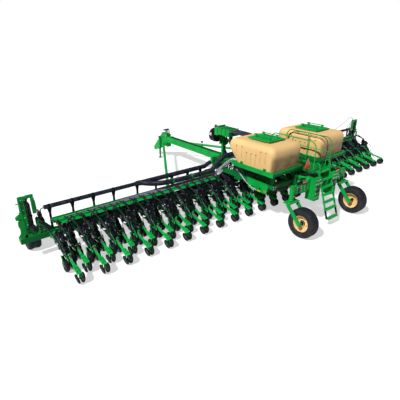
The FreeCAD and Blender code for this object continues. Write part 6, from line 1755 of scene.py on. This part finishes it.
wing = {
    "pipeZ": 1.6, "pipeR": 0.072, "trunkR": 0.09, "trunkOuter": 5.5, "inner": 2.35, "outer": 8.85,
    "posts": [8.69, 7.96, 7.24, 6.5, 5.56, 4.76, 4.02, 3.25, 2.6], "collarPitch": 0.381,
    "supplyR": 0.096,
    "supply": [(2.46, -0.3, 1.45), (3.1, -0.3, 1.45), (3.85, -0.3, 1.452), (4.55, -0.295, 1.485),
               (5.05, -0.2, 1.54), (5.36, -0.04, 1.592), (5.48, 0.0, 1.6)],
    "saddles": [3.3, 4.2], "trayY": -0.31, "trayZ": 1.218, "trayInner": 2.08, "trayOuter": 8.74,
    "trayRows": 8, "oilY": (-0.055, -0.02, 0.02, 0.055),
    "wireLoops": [[(6.95, 0.0, 1.665), (7.22, -0.06, 1.83), (7.6, -0.14, 2.02), (7.98, -0.18, 2.2), (8.35, -0.2, 2.36),
                   (8.66, -0.19, 2.31), (8.84, -0.12, 2.08), (8.83, -0.04, 1.84), (8.78, 0.0, 1.665)],
                  [(8.5, 0.0, 1.665), (8.62, -0.1, 1.93), (8.78, -0.14, 2.13), (8.94, -0.15, 2.08), (8.92, -0.1, 1.84),
                   (8.84, 0.0, 1.665)]],
}


def manifoldShape():
    # air pipe in two sizes with pressed collars, its elbow at the inner end and a blank cap at the outer one
    w, s = wing, Shape()
    for x0, x1, r in ((w["inner"], w["trunkOuter"], w["trunkR"]), (w["trunkOuter"] + 0.02, w["outer"], w["pipeR"])):
        profile, x = [(x0, 0), (x0, r)], x0
        while x + w["collarPitch"] < x1:
            x += w["collarPitch"]
            profile += [(x - 0.02, r), (x - 0.016, r + 0.003), (x + 0.016, r + 0.003), (x + 0.02, r)]
        s.turned(profile + [(x1, r), (x1, 0)], (0, 0, w["pipeZ"]), (1, 0, 0), 20)
    mid = w["trunkOuter"]
    s.turned([(-0.1, 0), (-0.1, 0.094), (-0.03, 0.098), (0.05, 0.098), (0.13, 0.08), (0.16, 0.074), (0.16, 0)],
             (mid, 0, w["pipeZ"]), (1, 0, 0), 20)
    s.path([(w["inner"] - 0.3, 0, w["pipeZ"] + 0.13), (w["inner"] - 0.15, 0, w["pipeZ"] + 0.07),
            (w["inner"], 0, w["pipeZ"]), (w["inner"] + 0.3, 0, w["pipeZ"])], w["trunkR"] - 0.004, 18, 0.45, 6)
    s.turned([(0, 0), (0, 0.06), (0.01, 0.068), (0.014, 0.03), (0.014, 0)], (w["outer"] - 0.012, 0, w["pipeZ"]),
             (1, 0, 0), 20)
    return s


def postShape():
    # pipe post: a foot on the toolbar, a tapered web, and a half saddle round the pipe
    s, z = Shape(), wing["pipeZ"]
    half = [(0.06, 0.8), (0.06, plateTop), (0.034, 0.83), (0.032, 1.36), (0.06, 1.5), (0.075, 1.545)]
    s.prism([(-0.06, 0.8)] + half + [(-x, high) for x, high in reversed(half[1:])], "y", -0.028, 0.028)
    s.prism([(-0.06, 0.8), (0.06, 0.8), (0.06, plateTop), (-0.06, plateTop)], "y", -0.075, 0.075)
    s.disc((0, 0, z), (1, 0, 0), 0.068, 0.079, 0.06, 18)
    return s


def saddleShape():
    # green strap that holds the supply hose up off the tray
    s, z = Shape(), 1.45
    s.disc((0, 0, z), (1, 0, 0), 0.094, 0.108, 0.05, 20)
    s.boxes((-0.025, 0.025, -0.01, 0.01, 1.272, z - 0.098), (-0.025, 0.025, -0.105, 0.105, 1.268, 1.28),
            (-0.022, 0.022, -0.018, 0.018, z + 0.1, z + 0.135))
    return s


def uBoltShape():
    # two rods round the toolbar that clamp one row unit, with nuts on the plate
    s = Shape()
    for x in (-0.052, 0.052):
        s.path([(x, -0.128, plateTop), (x, 0.13, plateTop), (x, 0.13, 0.608), (x, -0.128, 0.608)], 0.009, 6, 0.25, 2)
        for z in (plateTop, 0.608):
            s.turned([(0, 0), (0, 0.017), (0.016, 0.017), (0.016, 0)], (x, -0.186, z), (0, 1, 0), 6)
    return s


def trayLines():
    # seed hoses that lie side by side in the tray; one leaves at each unit, so the bundle thins outwards
    w, rng, lines = wing, random.Random(5), []
    for k in range(w["trayRows"]):
        y = w["trayY"] - 0.118 + k * 0.0337
        end = w["trayOuter"] - 0.12 - (k % 4) * 1.05 - rng.uniform(0, 0.4)
        count = max(3, int((end - w["trayInner"]) / 0.55))
        xs = [w["trayInner"] - 0.03 + (end - w["trayInner"] + 0.03) * i / count for i in range(count + 1)]
        lines.append([(x, y + rng.uniform(-0.006, 0.006), w["trayZ"] + 0.018 + rng.uniform(0, 0.01)) for x in xs])
    return lines


def oilLines():
    # four oil hoses that lie along the toolbar's top, with slack between their clips
    rng, lines = random.Random(9), []
    for k, y in enumerate(wing["oilY"]):
        xs = [1.86 + 0.37 * i for i in range(20)]
        lines.append([(x, y + rng.uniform(-0.016, 0.016), 0.815 + (0.0 if i % 2 else rng.uniform(0.006, 0.03)))
                      for i, x in enumerate(xs) if x < 9.0 - 0.2 * k])
    return lines


def harnessLines():
    # wiring and air lines that hang in loops between the tray and the toolbar
    rng, lines = random.Random(14), []
    for k in range(6):
        y, z = -0.235 + 0.022 * k, 1.12 - 0.046 * k
        xs = [1.98 + 0.381 * i for i in range(18)]
        lines.append([(x + rng.uniform(-0.05, 0.05), y + rng.uniform(-0.012, 0.012), z + rng.uniform(-0.03, 0.022))
                      for x in xs])
    return lines


def towerLines():
    # hoses that loop from the toolbar's end up to the marker's pivot bracket
    rng, lines = random.Random(21), []
    for k in range(5):
        y = -0.11 + 0.012 * k
        lines.append([(8.72 + 0.03 * k, y + 0.03, 0.83), (8.86 + 0.02 * k, y, 0.93 + rng.uniform(0, 0.05)),
                      (9.02 + 0.02 * k, y - 0.02, 1.16 + rng.uniform(0, 0.06)), (9.16 + 0.01 * k, y, 1.02),
                      (9.24 + 0.02 * k, y + 0.01, 0.86)])
    return lines


def markerLines():
    # hoses clipped up the marker's inner section and over its hinge
    rng, lines = random.Random(33), []
    for k in range(4):
        y = -0.064 - 0.01 * (k % 2)
        x = 9.365 - 0.022 * k
        lines.append([(x + 0.03, y, 1.13), (x - 0.05, y - 0.015, 1.27 + rng.uniform(0, 0.05)), (x, y - 0.008, 1.46),
                      (x - 0.02, y - 0.018, 1.68 + rng.uniform(-0.03, 0.03)), (x + 0.005, y - 0.006, 1.88),
                      (x - 0.015, y - 0.004, 2.01), (x - 0.06, y + 0.002, 2.065)])
    return lines


def seedBundle():
    # hoses from the tray's inner end up and back to the seed boxes, across the fold hinge
    rng, lines = random.Random(3), []
    for k in range(7):
        y, x = -0.43 + 0.036 * k, 1.83 + 0.03 * (k % 3) + 0.01 * k
        lines.append([(2.1, y, 1.24), (1.99, y - 0.01, 1.27), (x + 0.04, y - 0.1, 1.4 + 0.02 * (k % 3)),
                      (x, -0.62 + 0.02 * k, 1.61 + rng.uniform(-0.02, 0.02)), (x - 0.02, -0.86 + 0.02 * k, 1.83),
                      (x - 0.06, -1.14, 2.03 + 0.012 * k), (x - 0.16, -1.42, 2.02), (x - 0.3, -1.75, 1.86),
                      (1.5, -2.25, 1.72)])
    return lines


def markerArmShape():
    # stiffening plates, cross bolts and pivot boss plates on the marker's inner section
    s = Shape()
    plate = [(9.372, 1.135), (9.44, 1.135), (9.505, 1.225), (9.552, 1.29), (9.64, 1.4), (9.668, 1.44), (9.655, 1.505),
             (9.56, 1.56), (9.535, 1.6), (9.525, 2.095), (9.4, 2.105), (9.385, 1.9)]
    for y in (-0.06, 0.055):
        s.prism(plate, "y", y, y + 0.005)
    for x, z in ((9.53, 1.35), (9.6, 1.42), (9.61, 1.5)):
        s.rod((x, -0.064, z), (x, 0.064, z), 0.016, 8)
    s.prism([(9.505, 1.25), (9.54, 1.3), (9.64, 1.42), (9.64, 1.5), (9.505, 1.6)], "y", -0.006, 0.006)
    s.boxes((9.645, 9.69, -0.05, 0.05, 1.41, 1.5), (9.33, 9.52, -0.058, -0.007, 2.112, 2.119),
            (9.385, 9.402, -0.072, -0.06, 1.27, 2.08), (9.5, 9.524, -0.072, -0.06, 1.27, 2.08),
            (9.54, 9.6, -0.03, 0.03, 1.9, 1.915))
    s.rods(((9.29, -0.075, 2.065), (9.29, -0.056, 2.065), 0.04, 12), ((9.53, 0, 1.9), (9.62, 0, 1.9), 0.01, 8),
           ((9.53, 0, 1.62), (9.6, 0, 1.62), 0.01, 8))
    return s


def markerRecess():
    # channel floor between the flanges of the inner section, and the plates behind its ram, in the darker green:
    # painted shade in the recess
    s = Shape().box(9.402, 9.5, -0.064, -0.0605, 1.56, 1.99)
    return s.prism([(9.335, 1.14), (9.372, 1.14), (9.385, 1.9), (9.345, 1.86)], "y", -0.03, 0.03)


def markerLinkage():
    # black ram, links and hose block in the gap between the two folded sections
    s = Shape()
    s.rods(((9.31, -0.03, 1.24), (9.275, -0.03, 1.64), 0.03, 12), ((9.315, 0.034, 1.2), (9.27, 0.034, 1.7), 0.026, 12),
           ((9.235, -0.066, 1.46), (9.235, 0.066, 1.46), 0.022, 12))
    s.beam((9.3, -0.062, 1.18), (9.23, -0.062, 1.46), 0.012, 0.05, (0, 1, 0))
    s.boxes((9.225, 9.335, -0.06, 0.06, 1.14, 1.23), (9.34, 9.4, -0.078, -0.064, 1.88, 1.99))
    s.prism([(9.225, 1.7), (9.345, 1.7), (9.35, 1.94), (9.3, 1.98), (9.225, 1.84)], "y", -0.02, 0.02)
    return s.prism([(9.205, 1.145), (9.37, 1.145), (9.385, 1.82), (9.33, 1.86), (9.215, 1.76)], "y", 0.036, 0.042)


def markerCylinder():
    # fold cylinder's barrel, lying in front of the inner section
    return Shape().rods(((9.395, 0.088, 1.18), (9.395, 0.088, 1.68), 0.026, 12),
                        ((9.395, 0.088, 1.15), (9.395, 0.088, 1.18), 0.03, 12))


def markerRod():
    # its rod and both its pins
    return Shape().rods(((9.395, 0.088, 1.68), (9.33, 0.088, 2.02), 0.012, 10),
                        ((9.33, 0.062, 2.02), (9.33, 0.1, 2.02), 0.022, 10),
                        ((9.395, 0.062, 1.15), (9.395, 0.1, 1.15), 0.022, 10))


def markerFoot():
    # gusset plates and the bracket on the wing tube that the marker stands in
    s = Shape()
    for y in (-0.098, -0.02, 0.086):
        s.prism([(8.64, 0.8), (9.14, 0.8), (9.14, 1.29), (9.075, 1.33)], "y", y, y + 0.01)
    s.boxes((9.055, 9.066, -0.098, 0.096, plateTop, 1.15), (8.945, 8.975, -0.012, 0.012, plateTop, 1.52))
    s.prism([(9.15, plateTop), (9.3, plateTop), (9.395, 1.05), (9.33, 1.05)], "y", -0.112, -0.09)
    s.rods(((9.45, -0.128, 1.0), (9.45, -0.088, 1.0), 0.048, 14), ((9.45, 0.088, 1.0), (9.45, 0.128, 1.0), 0.048, 14))
    return s.path([(8.85, 0, 1.6), (8.905, 0, 1.59), (8.955, 0, 1.56), (8.96, 0, 1.48)], 0.016, 8, 0.3, 3)


def markerBrackets():
    # plates on the tube's top and the upright ones each side of the folded sections, in the plain green, lighter than
    # the tube: painted light on its top
    s = Shape()
    s.boxes((8.56, 9.695, -0.119, 0.119, 0.8, plateTop), (9.1, 9.118, -0.117, -0.06, plateTop, 1.26),
            (9.118, 9.17, -0.117, -0.095, 1.12, 1.16), (8.99, 9.002, -0.117, -0.09, plateTop, 1.12),
            (9.69, 9.699, -0.119, 0.119, 0.622, 0.798))
    s.prism([(9.118, plateTop), (9.2, plateTop), (9.118, 1.0)], "y", -0.117, -0.108)
    s.prism([(9.3, plateTop), (9.56, plateTop), (9.52, 0.93), (9.36, 0.93)], "y", -0.117, -0.1)
    return s.prism([(9.46, plateTop), (9.64, plateTop), (9.655, 1.0), (9.64, 1.12), (9.672, 1.24), (9.668, 1.4),
                    (9.51, 1.4)], "y", -0.117, -0.107)


def markerValves():
    # valve block, hose ends and plate behind the gusset, up to the tip stem
    s = Shape()
    s.boxes((8.905, 9.05, -0.085, 0.08, 1.06, 1.25), (8.985, 9.052, -0.06, 0.06, 1.25, 1.5),
            (8.74, 8.9, -0.08, 0.075, plateTop, 0.93))
    return s.rods(((9.02, -0.07, 1.4), (9.02, 0.07, 1.4), 0.055, 14),
                  ((8.94, -0.06, 1.25), (8.94, -0.06, 1.32), 0.02, 8),
                  ((8.94, 0.04, 1.25), (8.94, 0.04, 1.32), 0.02, 8))


def markerBoomShape():
    # the outer section's end plates, disc hub and clips
    s = Shape()
    for y, top in ((-0.052, 1.99), (0.048, 2.1)):
        s.prism([(9.085, 1.52), (9.175, 1.52), (9.178, top), (9.082, top)], "y", y, y + 0.004)
    for z in (1.62, 1.8, 1.98):
        s.rods(((9.08, -0.056, z), (9.18, -0.056, z), 0.008, 6), ((9.13, -0.06, z), (9.13, -0.05, z), 0.018, 6))
    return s.box(9.06, 9.076, -0.03, 0.03, 1.64, 1.9)


def discTeeth():
    # bevelled marking disc and its hub, over the plain one
    lean = math.radians(-35)
    return Shape().turned([(0.018, 0), (0.018, 0.118), (0.022, 0.128), (0.028, 0.118), (0.028, 0.045), (0.038, 0.04),
                           (0.038, 0)], (9.07, 0, 1.56), (math.sin(lean), 0, math.cos(lean)), 28)


def barEndCopy(name):
    # the wing tube's own mesh as one closed shape, so that its end can be cut
    source = frame["nodes"][name].data
    s = Shape()
    s.mesh.from_mesh(source)
    bmesh.ops.remove_doubles(s.mesh, verts=s.mesh.verts, dist=0.00001)
    bmesh.ops.transform(s.mesh, matrix=place(0, -barY, 0), verts=s.mesh.verts)
    bmesh.ops.dissolve_limit(s.mesh, angle_limit=math.radians(0.5), verts=s.mesh.verts, edges=s.mesh.edges)
    bmesh.ops.recalc_face_normals(s.mesh, faces=s.mesh.faces)
    return s


def tipBolts(side):
    # bolts of the wing tube's end and, after them, those of the marker's arm
    onTube = [((side * x, y, plateTop), (0, 0, 0), 1) for x in (8.76, 8.9, 9.1, 9.24, 9.64) for y in (-0.075, 0.075)]
    onTube += [((side * x, -0.098, z), (90, 0, 0), 0.9) for z in (0.9, 1.0, 1.1) for x in (8.96, 9.1)]
    onArm = [((side * x, -0.0605, z), (90, 0, 0), 0.7)
             for x, z in ((9.4, 1.2), (9.5, 1.3), (9.44, 1.45), (9.44, 1.7), (9.46, 2.02))]
    return onTube, onArm


def buildWing(label, side):
    body, arm, boom = label + "_wing", label + "_marker_arm", label + "_marker_boom"
    w = wing
    piece(label + "_air_pipe", sided(manifoldShape(), side), "duct", body=body, stands=[label + "_air_manifold"])
    repeated(label + "_pipe_posts", postShape(), [(side * x, 0, 0) for x in w["posts"]], "black", body)
    ribbed = {"radius": w["supplyR"], "ringPitch": 0.032, "ringDepth": 0.022, "step": 0.008, "sides": 20}
    hoses(label + "_supply_hose", mirroredTo(side, [w["supply"]]), ribbed, "duct", body)
    repeated(label + "_supply_saddles", saddleShape(), [(side * x, -0.3, 0) for x in w["saddles"]], "green", body)
    for part, lines, size, finish in (("tray_hoses", trayLines(), plainHose(0.0165, 0.14, 8), "trayHose"),
                                      ("bar_oil_hoses", oilLines(), plainHose(0.011, 0.07), "hose"),
                                      ("harness", harnessLines(), plainHose(0.021, 0.09), "hose")):
        hoses(label + "_" + part, mirroredTo(side, lines), size, finish, body)
    # the tray's lip, tilted up to catch the sun, in the lighter green: painted light
    rail = Shape().prism([(-0.472, 1.216), (-0.478, 1.212), (-0.53, 1.15), (-0.524, 1.145)], "x", 1.98, 8.7)
    piece(label + "_tray_lip", sided(rail, side), "unitGreen", 0.003, body)
    for part, lines, rides in (("tower_hoses", towerLines(), body), ("marker_hoses", markerLines(), arm)):
        hoses(label + "_" + part, mirroredTo(side, lines), plainHose(0.011, 0.035), "hose", rides)
    repeated(label + "_unit_clamps", uBoltShape(), [(x, 0, 0) for x, _, _ in unitSpots(body)], "deepGreen", body)
    if side > 0:   # only this wing has wires that stand up in loops over its air pipe
        hoses(label + "_wire_loops", w["wireLoops"], plainHose(0.014, 0.05), "greyWire", body)
    glass = Shape().box(8.935, 8.985, -0.024, -0.012, 1.28, 1.43)
    for part, shape, finish, rides, bevel in (
            ("marker_plates", markerArmShape(), "green", arm, 0.003),
            ("marker_cylinder", markerCylinder(), "black", arm, 0), ("marker_rod", markerRod(), "steel", arm, 0),
            ("marker_foot", markerFoot(), "deepGreen", body, 0.003),
            ("marker_brackets", markerBrackets(), "green", body, 0.002),
            ("marker_valves", markerValves(), "black", body, 0.004),
            ("marker_recess", markerRecess(), "deepGreen", arm, 0.002),
            ("marker_linkage", markerLinkage(), "black", arm, 0.003),
            ("marker_boom_plates", markerBoomShape(), "green", boom, 0.002),
            ("marker_disc", discTeeth(), "steel", boom, 0), ("tip_reflector", glass, "red", body, 0.003)):
        piece(label + "_" + part, sided(shape, side), finish, bevel, rides)
    hollow = Shape().box(9.692, 9.8, -0.108, 0.108, 0.632, 0.788)
    carved(label + "_wing_tube", barEndCopy(label + "_toolbar"), [("DIFFERENCE", sided(hollow, side))], "deepGreen",
           body, [label + "_toolbar"], False)
    onTube, onArm = tipBolts(side)
    repeated(label + "_tip_bolts", clampBolt, onTube, "zinc", body)
    repeated(label + "_marker_bolts", clampBolt, onArm, "zinc", arm)
    # hoses that cross the fold hinge bend between the two bodies
    across = [(1.14, -0.2, 1.92), (1.4, -0.2, 1.915), (1.7, -0.225, 1.8), (2.0, -0.265, 1.61), (2.25, -0.3, 1.475),
              (2.48, -0.3, 1.45)]
    obj = hoses(label + "_fold_air_hose", mirroredTo(side, [across]), ribbed, "duct", None, [label + "_hinge_hoses"])
    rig.blend(obj, "centre_frame", body, start=(side * 1.35, -0.25 + barY, 1.8), end=(side * 2.35, -0.25 + barY, 1.5))
    pale = {"radius": 0.019, "ringPitch": 0.02, "ringDepth": 0.02, "step": 0.03, "sides": 8}
    obj = hoses(label + "_seed_bundle", mirroredTo(side, seedBundle()), pale, "paleHose", None)
    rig.blend(obj, "centre_frame", body, start=(side * 1.8, -0.9 + barY, 1.7), end=(side * 2.06, -0.43 + barY, 1.3))


def valveShape():
    # hydraulic valve bank on the centre toolbar, with its coils on top
    s = Shape()
    s.boxes((0.9, 1.42, -0.08, 0.09, 0.84, 1.15), (0.93, 1.39, -0.11, -0.08, 0.9, 1.09))
    for k in range(6):
        x = 0.945 + 0.085 * k
        low = 0.96 + 0.03 * (k % 2)
        s.rods(((x, 0, 1.15), (x, 0, 1.255), 0.026, 8), ((x, -0.11, low), (x, -0.165, low), 0.018, 8))
    s.box(1.45, 1.56, -0.1, 0.06, 0.83, 1.08)
    return s


def valveLines():
    # hoses that loop from the bank's top over the back of the toolbar
    rng, lines = random.Random(41), []
    for k in range(12):
        x = 0.78 + 0.065 * k
        rise = rng.uniform(1.34, 1.54)
        lines.append([(x, 0.04, 1.14), (x + 0.01, 0.03, rise - 0.1), (x + 0.05, -0.06, rise),
                      (x + rng.uniform(0.05, 0.14), -0.2, rise - rng.uniform(0.02, 0.1)),
                      (x + rng.uniform(0.08, 0.2), -0.29, 1.16), (x + 0.12, -0.26, 0.98), (x + 0.1, -0.2, 0.84)])
    return lines


for side, label in sides:
    buildWing(label, side)
piece("valve_banks", valveShape().bothSides(), "black", 0.006)
hoses("valve_hoses", mirroredTo(-1, valveLines()) + valveLines(), plainHose(0.015, 0.035), "hose")
repeated("centre_unit_clamps", uBoltShape(), [(x, 0, 0) for x, _, _ in unitSpots("centre_frame")], "deepGreen")
print("wings built")


view = {
    "place": (-11.359, -12.143, 6.255), "heading": 39.013, "down": 23.761, "roll": 0.09, "lens": 31.926,
    "floor": 400.0, "sunFrom": (-0.92, -0.15, 1.0), "sun": 3.9, "sunAngle": 4.0, "sky": 0.22, "floorGlow": 0.56,
}
floorMesh = bpy.data.meshes.new("floor")
half = view["floor"] / 2
floorMesh.from_pydata([(-half, -half, 0), (half, -half, 0), (half, half, 0), (-half, half, 0)], [], [(0, 1, 2, 3)])
floor = bpy.data.objects.new("floor", floorMesh)
bpy.context.scene.collection.objects.link(floor)
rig.stage(floor)
floorMat, floorTree, floorShader, _ = newMaterial("paleFloor")
floorShader.inputs["Base Color"].default_value = (0.56, 0.56, 0.56, 1)
floorShader.inputs["Roughness"].default_value = 0.9
floorShader.inputs["Specular IOR Level"].default_value = 0.1
glow = floorTree.nodes.new("ShaderNodeEmission")
rays = floorTree.nodes.new("ShaderNodeLightPath").outputs
seen = mathOf(floorTree, "MAXIMUM", rays["Is Camera Ray"], rays["Is Glossy Ray"])
floorTree.links.new(mathOf(floorTree, "MULTIPLY", seen, view["floorGlow"]), glow.inputs["Strength"])
both = floorTree.nodes.new("ShaderNodeAddShader")
linked(floorTree, (floorShader.outputs[0], both.inputs[0]), (glow.outputs[0], both.inputs[1]),
       (both.outputs[0], floorTree.nodes["Material Output"].inputs["Surface"]))
floorMesh.materials.append(floorMat)

sun = bpy.data.objects.new("sun", bpy.data.lights.new("sun", "SUN"))
sun.data.energy = view["sun"]
sun.data.angle = math.radians(view["sunAngle"])
sun.rotation_euler = Vector(view["sunFrom"]).to_track_quat("Z", "Y").to_euler()
bpy.context.scene.collection.objects.link(sun)

world = bpy.data.worlds.new("softSky")
world.use_nodes = True
bpy.context.scene.world = world
skyTree = world.node_tree
sky = skyTree.nodes["Background"]
sky.inputs["Color"].default_value = (0.9, 0.95, 1.0, 1)
sky.inputs["Strength"].default_value = view["sky"]
white = skyTree.nodes.new("ShaderNodeBackground")
white.inputs["Color"].default_value = (1, 1, 1, 1)
white.inputs["Strength"].default_value = 1.0
skyRays = skyTree.nodes.new("ShaderNodeLightPath")
choose = skyTree.nodes.new("ShaderNodeMixShader")
linked(skyTree, (skyRays.outputs["Is Camera Ray"], choose.inputs["Fac"]), (sky.outputs[0], choose.inputs[1]),
       (white.outputs[0], choose.inputs[2]), (choose.outputs[0], skyTree.nodes["World Output"].inputs["Surface"]))

heading, down, roll = (math.radians(view[key]) for key in ("heading", "down", "roll"))
ahead = Vector((math.sin(heading) * math.cos(down), math.cos(heading) * math.cos(down), -math.sin(down)))
across = Vector((math.cos(heading), -math.sin(heading), 0))
above = across.cross(ahead)
right = across * math.cos(roll) + above * math.sin(roll)
top = above * math.cos(roll) - across * math.sin(roll)
camera = bpy.data.objects.new("camera", bpy.data.cameras.new("camera"))
camera.data.lens = view["lens"]
camera.data.sensor_width = 36
camera.data.clip_end = 600
turn = Matrix((right, top, -ahead)).transposed().to_4x4()
camera.matrix_world = Matrix.Translation(view["place"]) @ turn
bpy.context.scene.collection.objects.link(camera)
bpy.context.scene.camera = camera
bpy.context.scene.view_settings.view_transform = "Standard"
print("floor, light and camera set")

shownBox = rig.bounds()
with open("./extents.json", "w") as out:
    json.dump({"cad": [list(p) for p in cadBox], "shown": [list(p) for p in shownBox]}, out)
